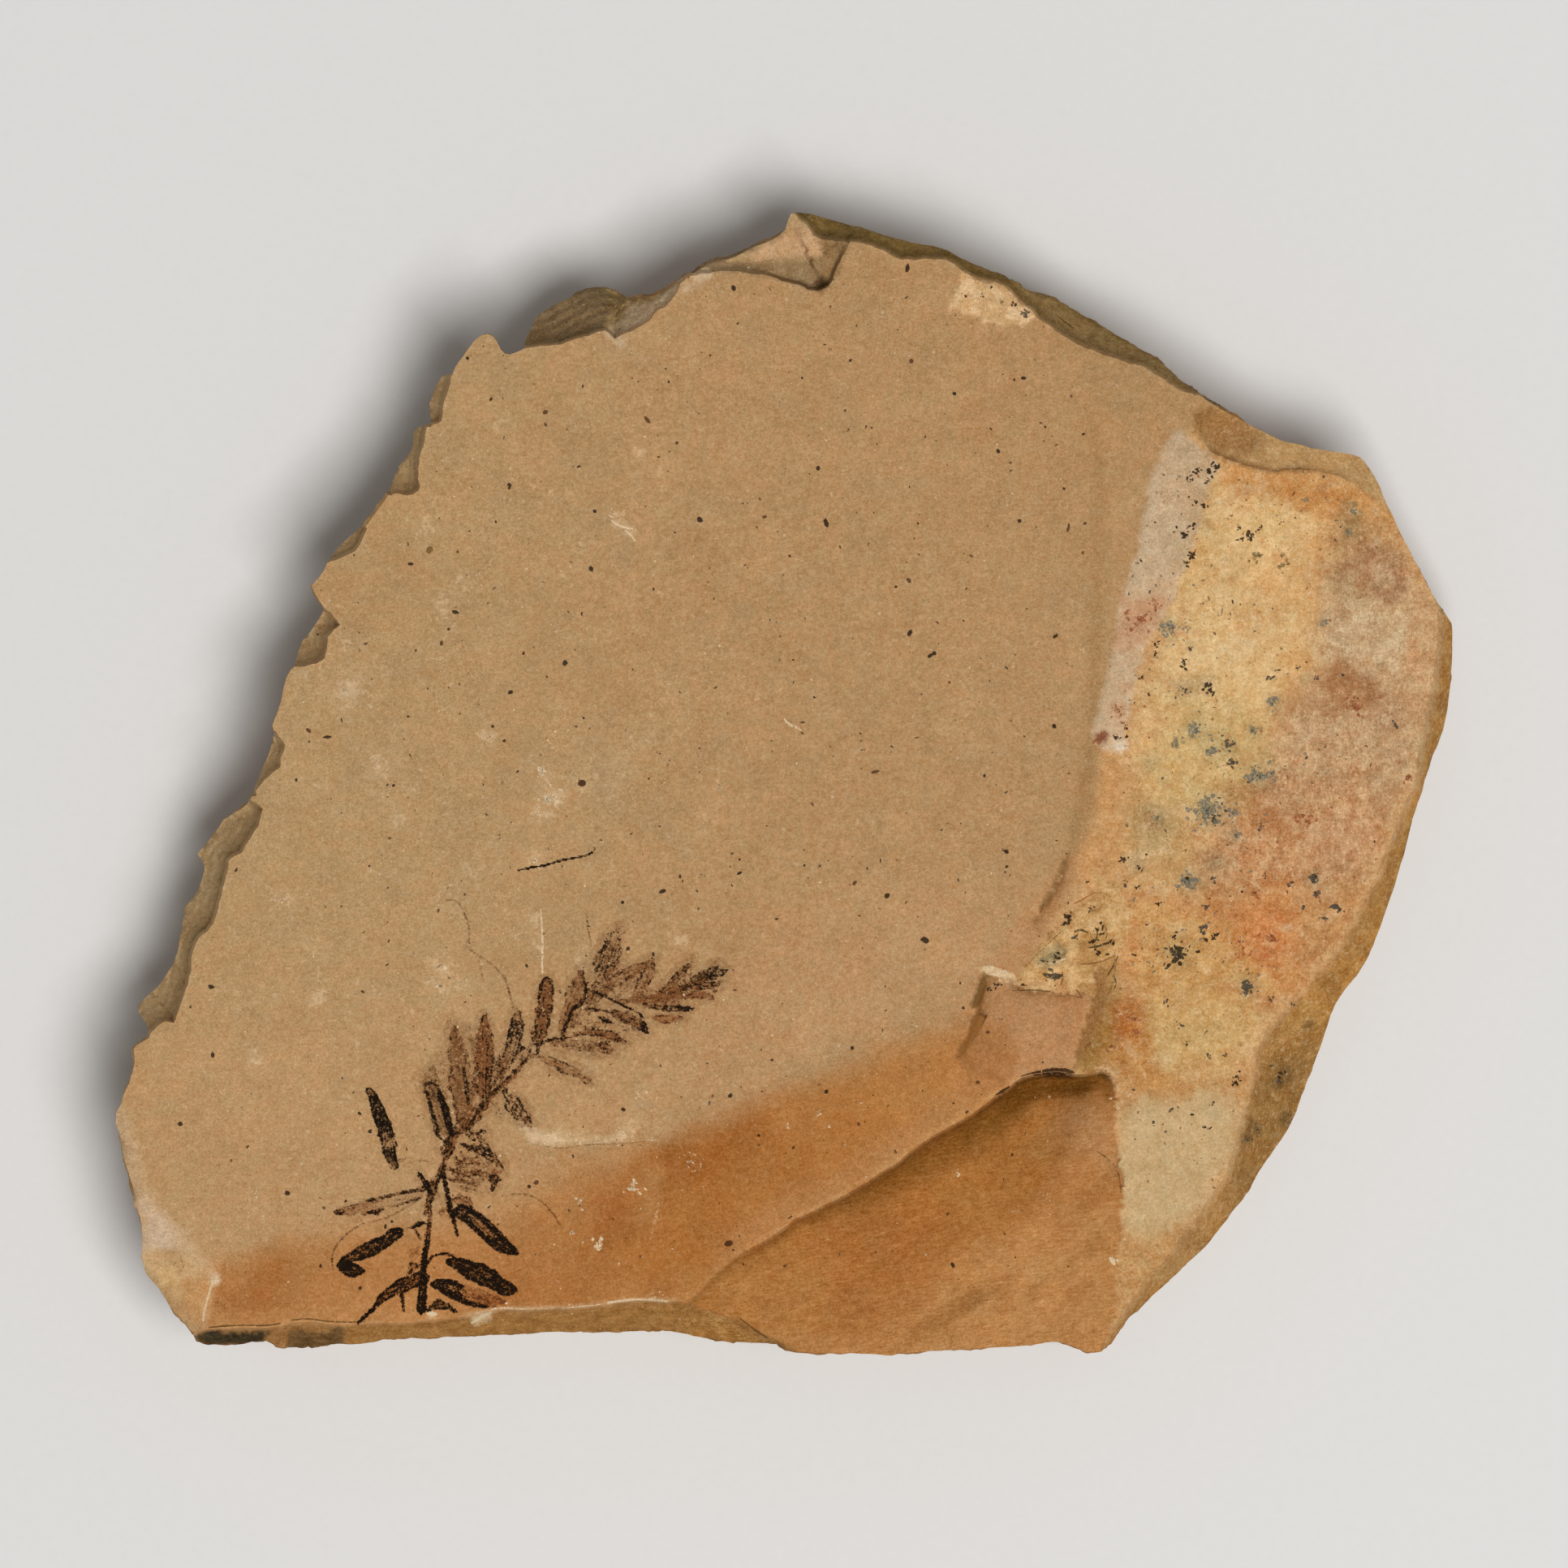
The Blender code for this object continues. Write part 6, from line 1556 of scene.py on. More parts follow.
    # ledge at the upper left: painted shade to the left of its step, whitish crumbs at its right end
    p.lay(0.55 * s["ledge"] * p.area([(640, 426), (650, 390), (690, 352), (740, 352), (752, 376),
                                      (742, 412), (700, 420)], 1.4, 0.5, 2.0, 169),
          (128, 106, 80), (116, 94, 68), 0.4)
    p.lay(0.65 * s["ledge"] * p.area([(756, 400), (780, 376), (820, 362), (838, 352), (836, 372),
                                      (800, 392), (772, 412)], 1.2, 0.7, 1.4, 170),
          (200, 174, 142), (186, 158, 124), 0.6)
    for kx, ky, kr in ((860, 344, 9), (846, 354, 8), (764, 420, 7), (750, 412, 7), (872, 338, 6)):
        p.lay(0.7 * p.spot(kx, ky, kr, 0.7, int(kx)), (208, 180, 146), (196, 166, 130), 0.6)
    # greyer margin of the bedding plane below the upper right edge
    p.lay(0.40 * p.area([(1290, 398), (1340, 420), (1420, 452), (1470, 490), (1460, 510),
                         (1400, 520), (1356, 500), (1330, 470)], 2.4, 0.8, 2.4, 171),
          (172, 136, 94), (162, 126, 84))
    return p


SMUDGES = [
    (524, 640, 9), (522, 655, 9), (545, 740, 8), (546, 756, 9), (425, 850, 15), (565, 716, 10),
    (430, 866, 10), (676, 962, 12), (680, 985, 15), (666, 1004, 12), (660, 1060, 12),
    (350, 1108, 12), (543, 1190, 14), (539, 1214, 16), (660, 1135, 8), (664, 1165, 8),
    (762, 645, 10), (776, 656, 9), (600, 905, 10), (470, 940, 12), (716, 1186, 8), (836, 1160, 9),
    (790, 560, 9), (612, 520, 8), (498, 1010, 11), (392, 1230, 12), (318, 1300, 12),
]
# Where the orange band starts, as mm across and mm up.
BAND_TOP = tuple(mm([
    (150, 1590), (200, 1570), (250, 1548), (300, 1530), (350, 1516), (400, 1502), (450, 1494),
    (520, 1484), (600, 1468), (650, 1440), (700, 1420), (760, 1409), (800, 1395), (850, 1372),
    (900, 1352), (950, 1331), (1000, 1309), (1050, 1285), (1100, 1264), (1150, 1254),
    (1200, 1250), (1240, 1240)]).T)

# The crease: how far down the plate it is, and how far across, in mm.
CREASE = ((np.array([480, 510, 550, 600, 700, 800, 900, 960, 1000, 1060]) - MID) * PX,
          (np.array([1330, 1345, 1352, 1355, 1352, 1350, 1345, 1335, 1330, 1318]) - MID) * PX)


def paint_side(points, turn, spots):
    """Colours of the broken side: turn is the share of the way round the rim."""
    x, y, z = spots.T
    p = Paint(points, (174, 136, 92), (156, 118, 76))
    p.crisp[:] = 0.45
    p.grit[:] = 0.75
    # right side under the weathered face: yellower
    p.lay(0.75 * ease((x - 35) / 20), (190, 146, 90), (170, 124, 70))
    # lower side under the orange band
    p.lay(0.8 * ease((-y - 48) / 10) * ease((z - 8) / 9), (176, 126, 72), (160, 108, 56))
    # upper right side: olive
    p.lay(0.75 * ease((y - 18) / 12) * ease((x - 5) / 12) * ease((z - 10) / 8),
          (150, 120, 74), (132, 102, 60))
    # left side: greyer tan
    p.lay(0.7 * ease((-x - 20) / 20) * ease((y + 45) / 20), (166, 137, 96), (150, 122, 82))
    around = np.column_stack([x, y, z])
    bed = np.floor((z + 0.8 * noise(around * [1, 1, 0.2], 16, 70)) / 1.6)
    tone = noise(np.column_stack([x * 0.25, y * 0.25, bed * 7.7]), 6, 71)
    p.lay(0.45 * ease((tone - 0.1) / 0.5), (196, 160, 116), (184, 146, 102))
    p.lay(0.45 * ease((-tone - 0.1) / 0.5), (140, 108, 68), (128, 98, 60))
    stain = ease((fractal(around, 15, 3, 72) - 0.12) / 0.35)
    p.lay(0.6 * stain, (178, 118, 62), (160, 98, 46))
    manganese = ease((fractal(around, 9, 4, 73) - 0.42) / 0.2)
    p.lay(0.55 * manganese, (104, 90, 62), (84, 74, 54), 0.8)
    return p


def paint_under(points):
    """Colours of the underside: plain tan stone, rust blotches in its scars."""
    p = Paint(points, (176, 140, 98), (164, 126, 86))
    p.crisp[:] = 0.3
    p.grit[:] = 0.6
    p.lay(0.5 * ease((fractal(points, 22, 3, 80) - 0.05) / 0.5), (188, 154, 112), (176, 140, 98))
    p.lay(0.65 * ease((fractal(points, 17, 4, 81) - 0.22) / 0.3), (176, 118, 62), (158, 98, 46), 0.5)
    p.lay(0.5 * ease((fractal(points, 5, 4, 82) - 0.5) / 0.25), (112, 92, 60), (92, 78, 54), 0.8)
    for k, (scar, _) in enumerate(UNDER_SCARS):
        m = within(points, scar, 0.8, 0.5, 3, 83 + k)
        p.lay(0.5 * m, (184, 142, 94), (166, 122, 76), 0.4)
        edge = m * (1 - within(points, scar, 3.0, 0.5, 3, 83 + k))
        p.lay(0.4 * edge, (146, 106, 64), (134, 96, 56))
    return p


# ---------------------------------------------------------------- materials
class Nodes:
    """Short ways to add and join shader nodes in one tree."""

    def __init__(self, tree):
        self.tree = tree

    def add(self, kind, **settings):
        node = self.tree.nodes.new(kind)
        for name, value in settings.items():
            setattr(node, name, value)
        return node

    def put(self, socket, value):
        if isinstance(value, bpy.types.NodeSocket):
            self.tree.links.new(value, socket)
        elif isinstance(value, (tuple, list, np.ndarray)) and len(socket.default_value) == 4:
            socket.default_value = tuple(value)[:3] + (1.0,)
        else:
            socket.default_value = value

    def math(self, operation, a, b=0.0, c=None, clamp=False):
        node = self.add("ShaderNodeMath", operation=operation, use_clamp=clamp)
        self.put(node.inputs[0], a)
        self.put(node.inputs[1], b)
        if c is not None:
            self.put(node.inputs[2], c)
        return node.outputs[0]

    def mix(self, factor, a, b, blend="MIX"):
        node = self.add("ShaderNodeMix", data_type="RGBA", blend_type=blend)
        self.put(node.inputs[0], factor)
        self.put(node.inputs[6], a)
        self.put(node.inputs[7], b)
        return node.outputs[2]

    def span(self, value, low, high, to_low=0.0, to_high=1.0, smooth=True):
        node = self.add("ShaderNodeMapRange",
                        interpolation_type="SMOOTHSTEP" if smooth else "LINEAR")
        for k, v in enumerate((value, low, high, to_low, to_high)):
            self.put(node.inputs[k], v)
        return node.outputs[0]

    def noise(self, vector, scale, detail=2.0, rough=0.55, distort=0.0):
        node = self.add("ShaderNodeTexNoise", noise_dimensions="3D")
        self.put(node.inputs["Vector"], vector)
        self.put(node.inputs["Scale"], scale)
        self.put(node.inputs["Detail"], detail)
        self.put(node.inputs["Roughness"], rough)
        self.put(node.inputs["Distortion"], distort)
        return node.outputs["Fac"]

    def cells(self, vector, scale):
        node = self.add("ShaderNodeTexVoronoi", voronoi_dimensions="3D", feature="F1")
        self.put(node.inputs["Vector"], vector)
        self.put(node.inputs["Scale"], scale)
        return node.outputs["Distance"], node.outputs["Color"]

    def attribute(self, name, output="Fac"):
        node = self.add("ShaderNodeAttribute", attribute_name=name)
        return node.outputs[output]


def stone_colour():
    """Node group: the stone's colour and its grain's height at any point."""
    group = bpy.data.node_groups.new("stone_colour", "ShaderNodeTree")
    face = group.interface
    face.new_socket("Colour", in_out="OUTPUT", socket_type="NodeSocketColor")
    face.new_socket("Height", in_out="OUTPUT", socket_type="NodeSocketFloat")
    face.new_socket("Grit", in_out="OUTPUT", socket_type="NodeSocketFloat")
    face.new_socket("Place", in_out="OUTPUT", socket_type="NodeSocketVector")
    n = Nodes(group)
    where = n.add("ShaderNodeTexCoord").outputs["Object"]
    scale = n.add("ShaderNodeVectorMath", operation="SCALE")
    n.put(scale.inputs[0], where)
    n.put(scale.inputs["Scale"], 1000.0)
    place = scale.outputs[0]                      # millimetres
    crisp, grit = n.attribute("crisp"), n.attribute("grit")
    # mottling between the two colours laid on each point
    patches = n.noise(place, 0.55, 6.0, 0.64)
    half = n.span(crisp, 0.0, 1.0, 0.30, 0.055, smooth=False)
    factor = n.span(patches, n.math("SUBTRACT", 0.5, half), n.math("ADD", 0.5, half))
    colour = n.mix(factor, n.attribute("tint_a", "Color"), n.attribute("tint_b", "Color"))
    # weathered stone: rusty, milky and olive freckles
    fleck = n.attribute("fleck")
    freckles = n.noise(place, 1.5, 5.0, 0.70)
    rusty = n.math("MULTIPLY", n.span(freckles, 0.53, 0.66), n.math("MULTIPLY", fleck, 0.38))
    colour = n.mix(rusty, colour, n.mix(1.0, colour, (0.86, 0.62, 0.48), "MULTIPLY"))
    milky = n.math("MULTIPLY", n.span(freckles, 0.46, 0.34), n.math("MULTIPLY", fleck, 0.34))
    colour = n.mix(milky, colour, (0.72, 0.53, 0.31))
    crumbs = n.noise(place, 2.3, 4.0, 0.7)
    olive = n.math("MULTIPLY", n.span(crumbs, 0.59, 0.68), n.math("MULTIPLY", fleck, 0.42))
    colour = n.mix(olive, colour, (0.20, 0.17, 0.10))
    # patches slightly pinker and slightly greener than their ground
    warmth = n.noise(place, 0.85, 5.0, 0.66)
    tint = n.mix(n.span(warmth, 0.34, 0.66), (0.980, 1.004, 1.018), (1.020, 0.994, 0.976))
    colour = n.mix(1.0, colour, tint, "MULTIPLY")
    # chalky silt, in crisp ragged flakes
    chalk = n.attribute("chalk")
    flaky = n.noise(place, 0.95, 6.0, 0.72)
    chalky = n.span(n.math("MULTIPLY_ADD", chalk, 0.34, flaky), 0.655, 0.735)
    chalky = n.math("MULTIPLY", n.math("MULTIPLY", chalky, 0.60), n.span(chalk, 0.0, 0.1))
    paler = n.mix(0.5, n.mix(1.0, colour, (1.30, 1.36, 1.50), "MULTIPLY"), (0.67, 0.48, 0.29))
    colour = n.mix(chalky, colour, paler)
    wide = n.noise(place, 0.21, 3.0, 0.6)
    tint = n.mix(n.span(wide, 0.36, 0.64), (0.984, 1.004, 1.022), (1.020, 0.994, 0.972))
    colour = n.mix(1.0, colour, tint, "MULTIPLY")
    clouds = n.noise(place, 0.16, 6.0, 0.66)
    light = n.math("MULTIPLY_ADD", n.math("SUBTRACT", clouds, 0.5), 0.34, 1.0)
    bright = n.add("ShaderNodeVectorMath", operation="SCALE")
    n.put(bright.inputs[0], colour)
    n.put(bright.inputs["Scale"], light)
    # grain, as strong to the eye in each of the three channels
    silt = n.noise(place, 3.1, 3.0, 0.62)
    sand = n.noise(place, 7.5, 2.0, 0.6)
    turned = n.add("ShaderNodeMapping")
    turned.inputs["Rotation"].default_value = (0.0, 0.0, math.radians(24))
    turned.inputs["Scale"].default_value = (4.2, 1.5, 2.0)
    n.put(turned.inputs["Vector"], place)
    fur = n.noise(turned.outputs[0], 1.0, 3.0, 0.62)
    drawn = n.add("ShaderNodeMapping", vector_type="TEXTURE")
    drawn.inputs["Rotation"].default_value = (0.0, 0.0, math.radians(11))
    drawn.inputs["Scale"].default_value = (1.25, 0.24, 0.6)
    n.put(drawn.inputs["Vector"], place)
    strokes = n.noise(drawn.outputs[0], 1.0, 4.0, 0.66, 0.3)
    strokes = n.math("MULTIPLY", n.math("SUBTRACT", strokes, 0.5), n.attribute("hatch"))
    mottle = n.noise(place, 1.35, 4.0, 0.66)
    grain = n.math("ADD", n.math("MULTIPLY", n.math("SUBTRACT", silt, 0.5), 0.90),
                   n.math("MULTIPLY", n.math("SUBTRACT", sand, 0.5), 1.05))
    grain = n.math("MULTIPLY_ADD", n.math("SUBTRACT", mottle, 0.5), 0.62, grain)
    grain = n.math("MULTIPLY_ADD", strokes, 1.15, grain)
    grain = n.math("MULTIPLY", grain, n.math("MULTIPLY_ADD", grit, 0.55, 0.70))
    hair = n.math("MULTIPLY", n.math("SUBTRACT", fur, 0.5),
                  n.math("MULTIPLY", fleck, n.span(crisp, 0.62, 0.86, 0.15, 0.85)))
    grain = n.math("MULTIPLY", n.math("ADD", grain, hair), 0.285)
    seen = n.add("ShaderNodeGamma")
    n.put(seen.inputs["Color"], bright.outputs[0])
    seen.inputs["Gamma"].default_value = 1 / 2.2
    both = n.add("ShaderNodeVectorMath", operation="ADD")
    n.put(both.inputs[0], seen.outputs[0])
    n.put(both.inputs[1], grain)
    both_kept = n.add("ShaderNodeVectorMath", operation="MAXIMUM")
    n.put(both_kept.inputs[0], both.outputs[0])
    both_kept.inputs[1].default_value = (0.02, 0.02, 0.02)
    back = n.add("ShaderNodeGamma")
    n.put(back.inputs["Color"], both_kept.outputs[0])
    back.inputs["Gamma"].default_value = 2.2
    colour = back.outputs[0]
    # dark grains and pale flecks, each a small share of the cells
    near, random = n.cells(place, 0.85)
    size = n.span(random_part(n, random, 0), 0.86, 1.0, 0.0, 0.13)
    dot = n.math("MULTIPLY", n.span(near, n.math("MULTIPLY", size, 0.6), size, 1.0, 0.0), 0.62)
    colour = n.mix(n.math("MULTIPLY", dot, n.span(size, 0.0, 0.02)), colour, (0.060, 0.034, 0.016))
    near, random = n.cells(place, 0.62)
    size = n.span(random_part(n, random, 1), 0.84, 1.0, 0.0, 0.16)
    ragged = n.math("MULTIPLY_ADD", n.math("SUBTRACT", sand, 0.5), 0.12, near)
    dot = n.math("MULTIPLY", n.span(ragged, n.math("MULTIPLY", size, 0.5), size, 1.0, 0.0), 0.42)
    colour = n.mix(n.math("MULTIPLY", dot, n.span(size, 0.0, 0.02)), colour, (0.70, 0.55, 0.38))
    # height of the grain, in tenths of a millimetre
    lumps = n.noise(place, 1.25, 4.0, 0.6)
    height = n.math("ADD", n.math("MULTIPLY", silt, 0.55), n.math("MULTIPLY", sand, 0.30))
    height = n.math("ADD", height, n.math("MULTIPLY", lumps, n.math("MULTIPLY_ADD", grit, 1.5, 0.1)))
    out = n.add("NodeGroupOutput")
    n.put(out.inputs["Colour"], colour)
    n.put(out.inputs["Height"], n.math("MULTIPLY", height, n.math("MULTIPLY_ADD", grit, 1.1, 0.35)))
    n.put(out.inputs["Grit"], grit)
    n.put(out.inputs["Place"], place)
    return group


def random_part(n, colour, channel):
    node = n.add("ShaderNodeSeparateColor")
    n.put(node.inputs[0], colour)
    return node.outputs[channel]


STONE = stone_colour()


def surface(name, colour_of, relief=0.00006, specular=0.05):
    """A Principled material: colour_of(nodes, stone) gives its colour, roughness
    and height sockets, where stone is the stone colour group's node."""
    material = bpy.data.materials.new(name)
    material.use_nodes = True
    tree = material.node_tree
    n = Nodes(tree)
    shader = tree.nodes["Principled BSDF"]
    stone = n.add("ShaderNodeGroup", node_tree=STONE)
    colour, roughness, height = colour_of(n, stone)
    n.put(shader.inputs["Base Color"], colour)
    n.put(shader.inputs["Roughness"], roughness)
    shader.inputs["Specular IOR Level"].default_value = specular
    bump = n.add("ShaderNodeBump")
    bump.inputs["Strength"].default_value = 1.0
    bump.inputs["Distance"].default_value = relief
    n.put(bump.inputs["Height"], height)
    n.put(shader.inputs["Normal"], bump.outputs[0])
    return material


def mudstone(n, stone):
    place = stone.outputs["Place"]
    rough = n.span(n.noise(place, 1.1, 3.0, 0.6), 0.3, 0.7, 0.80, 0.94, smooth=False)
    return stone.outputs["Colour"], rough, stone.outputs["Height"]


# ---------------------------------------------------------------- the stone
LOW, HIGH = (np.array(c) for c in CAD_BOX)


def kept_in(x, y, z):
    """Positions in metres, kept inside the object's box."""
    return np.clip(np.stack([x, y, z], 1), LOW + 2e-6, HIGH - 2e-6)


def new_mesh(name, positions, faces, material, paint=None, smooth=True, sharp=None):
    mesh = bpy.data.meshes.new(name)
    mesh.vertices.add(len(positions))
    mesh.vertices.foreach_set("co", np.asarray(positions, np.float32).ravel())
    mesh.loops.add(faces.size)
    mesh.loops.foreach_set("vertex_index", faces.astype(np.int32).ravel())
    mesh.polygons.add(len(faces))
    mesh.polygons.foreach_set("loop_start", np.arange(len(faces), dtype=np.int32) * 3)
    mesh.polygons.foreach_set("loop_total", np.full(len(faces), 3, np.int32))
    mesh.update(calc_edges=True)
    mesh.validate()
    if paint is not None:
        for label, values in (("tint_a", paint.a), ("tint_b", paint.b)):
            layer = mesh.attributes.new(label, "FLOAT_COLOR", "POINT")
            rgba = np.concatenate([values, np.ones((len(values), 1))], 1)
            layer.data.foreach_set("color", rgba.astype(np.float32).ravel())
        for label, values in (("crisp", paint.crisp), ("grit", paint.grit), ("fleck", paint.fleck),
                              ("chalk", paint.chalk), ("hatch", paint.hatch)):
            give(mesh, label, values)
    if smooth:
        mesh.shade_smooth()
    if sharp is not None:
        mesh.set_sharp_from_angle(angle=math.radians(sharp))
    mesh.materials.append(material)
    obj = bpy.data.objects.new(name, mesh)
    bpy.context.scene.collection.objects.link(obj)
    return obj


def give(mesh, label, values):
    layer = mesh.attributes.new(label, "FLOAT", "POINT")
    layer.data.foreach_set("value", np.asarray(values, np.float32))


def outward(positions, faces):
    """The triangles of a closed mesh, turned so that its volume is positive."""
    a, b, c = (positions[faces[:, k]] for k in range(3))
    return faces if (a * np.cross(b, c)).sum() > 0 else faces[:, ::-1]


def join_paint(parts):
    made = Paint(np.zeros((0, 2)), (0, 0, 0), (0, 0, 0))
    for name in ("a", "b", "crisp", "grit", "fleck", "chalk", "hatch"):
        setattr(made, name, np.concatenate([getattr(p, name) for p in parts]))
    return made


spots, faces, kind, around, found, rim_loop = build_slab()
top_count, side_count = int((kind == 0).sum()), int((kind == 1).sum())
plan_xy = spots[:, :2]
top_paint = paint_top(found, plan_xy[:top_count])
side_spots = spots[top_count:top_count + side_count]
side_paint = paint_side(side_spots[:, :2], around[kind == 1], side_spots)
under_paint = paint_under(plan_xy[top_count + side_count:])

# Just below the rim the side still has the colour of the face above it.
ring = np.arange(side_count) % len(rim_loop)
below_rim = spots[rim_loop, 2][ring] - side_spots[:, 2]
same = np.exp(-(below_rim / (1.4 + 0.8 * fractal(side_spots, 4, 2, 90))) ** 2)[:, None]
for name in ("a", "b"):
    rim_colour = getattr(top_paint, name)[rim_loop][ring]
    setattr(side_paint, name, getattr(side_paint, name) * (1 - same) + rim_colour * same)

stone_paint = join_paint([top_paint, side_paint, under_paint])
positions = kept_in(*placed(*spots.T))
faces = outward(positions, faces)
slab = new_mesh("fossil_slab_stone", positions, faces, surface("tan_mudstone", mudstone),
                stone_paint, sharp=42)
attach(slab, "root")
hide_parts("fossil_slab")


# ---------------------------------------------------------------- films on the stone
# The twig, specks and stains lie on the stone as thin closed films, whose border
# is tucked just under its surface.
EYE_SPOT = Vector((-CENTRE[0] * 0.001, -CENTRE[1] * 0.001, (THICK + EYE) * 0.001))
STONE_TREE = BVHTree.FromPolygons([Vector(p) for p in positions.tolist()], faces.tolist())
CORNERS = faces


def drape(points):
    """Where plan points in mm fall on the stone: position, normal, and the stone's
    own colours there."""
    x, y, z = placed(points[:, 0], points[:, 1], np.full(len(points), THICK))
    spot, normal, index, missed = [], [], [], []
    for at in zip(x, y, z):
        hit, facing, k, _ = STONE_TREE.ray_cast(EYE_SPOT, Vector(at) - EYE_SPOT)
        missed.append(hit is None)
        if hit is None:
            hit, facing, k, _ = STONE_TREE.find_nearest(Vector(at))
        spot.append(hit[:])
        normal.append(facing[:])
        index.append(k)
    spot, normal = np.array(spot), np.array(normal)
    three = CORNERS[np.array(index)]
    a, b, c = (positions[three[:, k]] for k in range(3))
    area = np.cross(b - a, c - a)
    size = np.maximum((area**2).sum(1), 1e-24)
    wb = (np.cross(spot - a, c - a) * area).sum(1) / size
    wc = (np.cross(b - a, spot - a) * area).sum(1) / size
    weight = np.stack([1 - wb - wc, wb, wc], 1)
    under = Paint(points, (0, 0, 0), (0, 0, 0))
    for name in ("a", "b"):
        setattr(under, name, (getattr(stone_paint, name)[three] * weight[:, :, None]).sum(1))
    for name in ("crisp", "grit", "fleck", "chalk", "hatch"):
        setattr(under, name, (getattr(stone_paint, name)[three] * weight).sum(1))
    under.missed = np.array(missed)
    return spot, normal, under


class Film:
    """Patches gathered into one mesh: plan points, lift in mm, triangles, values."""

    def __init__(self, *labels):
        self.plan, self.lift, self.faces, self.count = [], [], [], 0
        self.sizes = []
        self.labels = labels
        self.values = {label: [] for label in labels}

    def add(self, plan, lift, faces, **values):
        self.plan.append(plan)
        self.lift.append(lift)
        self.faces.append(np.asarray(faces) + self.count)
        self.count += len(plan)
        self.sizes.append(len(plan))
        for label in self.labels:
            self.values[label].append(np.broadcast_to(values.get(label, 0.0), len(plan)))

    def grid(self, plan, lift, **values):
        """A closed thin patch from rows of points: its top, and a floor below it."""
        rows, cols = plan.shape[:2]
        top = np.arange(rows * cols).reshape(rows, cols)
        low = top + rows * cols
        low[0], low[-1], low[:, 0], low[:, -1] = top[0], top[-1], top[:, 0], top[:, -1]
        made = []
        for layer, turn in ((top, 1), (low, -1)):
            a, b, c, d = layer[:-1, :-1], layer[:-1, 1:], layer[1:, 1:], layer[1:, :-1]
            for t in ((a, b, c), (a, c, d)):
                made.append(np.stack(t[::turn], -1).reshape(-1, 3))
        made = np.concatenate(made)
        used = np.unique(made)
        renumber = np.full(2 * rows * cols, -1)
        renumber[used] = np.arange(len(used))
        both = np.concatenate([plan.reshape(-1, 2)] * 2)[used]
        lift = np.concatenate([lift.ravel(), np.full(rows * cols, -0.12)])[used]
        values = {k: np.concatenate([np.broadcast_to(v, (rows, cols)).ravel()] * 2)[used]
                  for k, v in values.items()}
        self.add(both, lift, renumber[made], **values)

    def build(self, name, material):
        plan = np.concatenate(self.plan)
        spot, normal, under = drape(plan)
        # a small patch that would hang over an edge is left out
        starts = np.concatenate([[0], np.cumsum(self.sizes)[:-1]])
        tall = (np.maximum.reduceat(spot[:, 2], starts) - np.minimum.reduceat(spot[:, 2], starts))
        off = np.maximum.reduceat(under.missed.astype(int), starts) > 0
        small = np.array(self.sizes) < 120
        bad = np.repeat(small & (off | (tall > 0.0007)), self.sizes)
        patch = np.concatenate(self.faces)
        patch = patch[~bad[patch[:, 0]]]
        heights = spot[:, 2][patch]                  # and so is what would span a step
        patch = patch[heights.max(1) - heights.min(1) < 0.0005]
        return finish(name, material, spot, normal, under, np.concatenate(self.lift), patch,
                      {label: np.concatenate(self.values[label]) for label in self.labels})


def finish(name, material, spot, normal, under, lift, patch, values):
    """One piece from draped points, how far each is lifted in mm, and triangles."""
    used = np.unique(patch)
    renumber = np.full(len(spot), -1)
    renumber[used] = np.arange(len(used))
    at = kept_in(*(spot + normal * lift[:, None] * 0.001)[used].T)
    for label in ("a", "b", "crisp", "grit", "fleck", "chalk", "hatch"):
        setattr(under, label, getattr(under, label)[used])
    obj = new_mesh(name, at, renumber[patch], material, under)
    for label, value in values.items():
        give(obj.data, label, value[used])
    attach(obj, "root")
    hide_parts("fossil_slab")
    return obj


def curve(points, step=0.22):
    """A smooth line in mm through pixel points, with a point every step mm."""
    p = mm(points)
    if len(p) > 2:
        padded = np.concatenate([[2 * p[0] - p[1]], p, [2 * p[-1] - p[-2]]])
        made = []
        for a, b, c, d in zip(padded, padded[1:], padded[2:], padded[3:]):
            for t in np.arange(0, 1, 0.1):
                made.append(0.5 * (2 * b + (c - a) * t + (2 * a - 5 * b + 4 * c - d) * t * t
                                   + (3 * b - a - 3 * c + d) * t**3))
        made.append(p[-1])
        p = np.array(made)
    runs = along(p)
    count = max(6, int(runs[-1] / step))
    even = np.linspace(0, runs[-1], count)
    return np.stack([np.interp(even, runs, p[:, k]) for k in (0, 1)], 1), even


ACROSS = np.array([-1.0, -0.86, -0.66, -0.4, -0.14, 0.14, 0.4, 0.66, 0.86, 1.0])


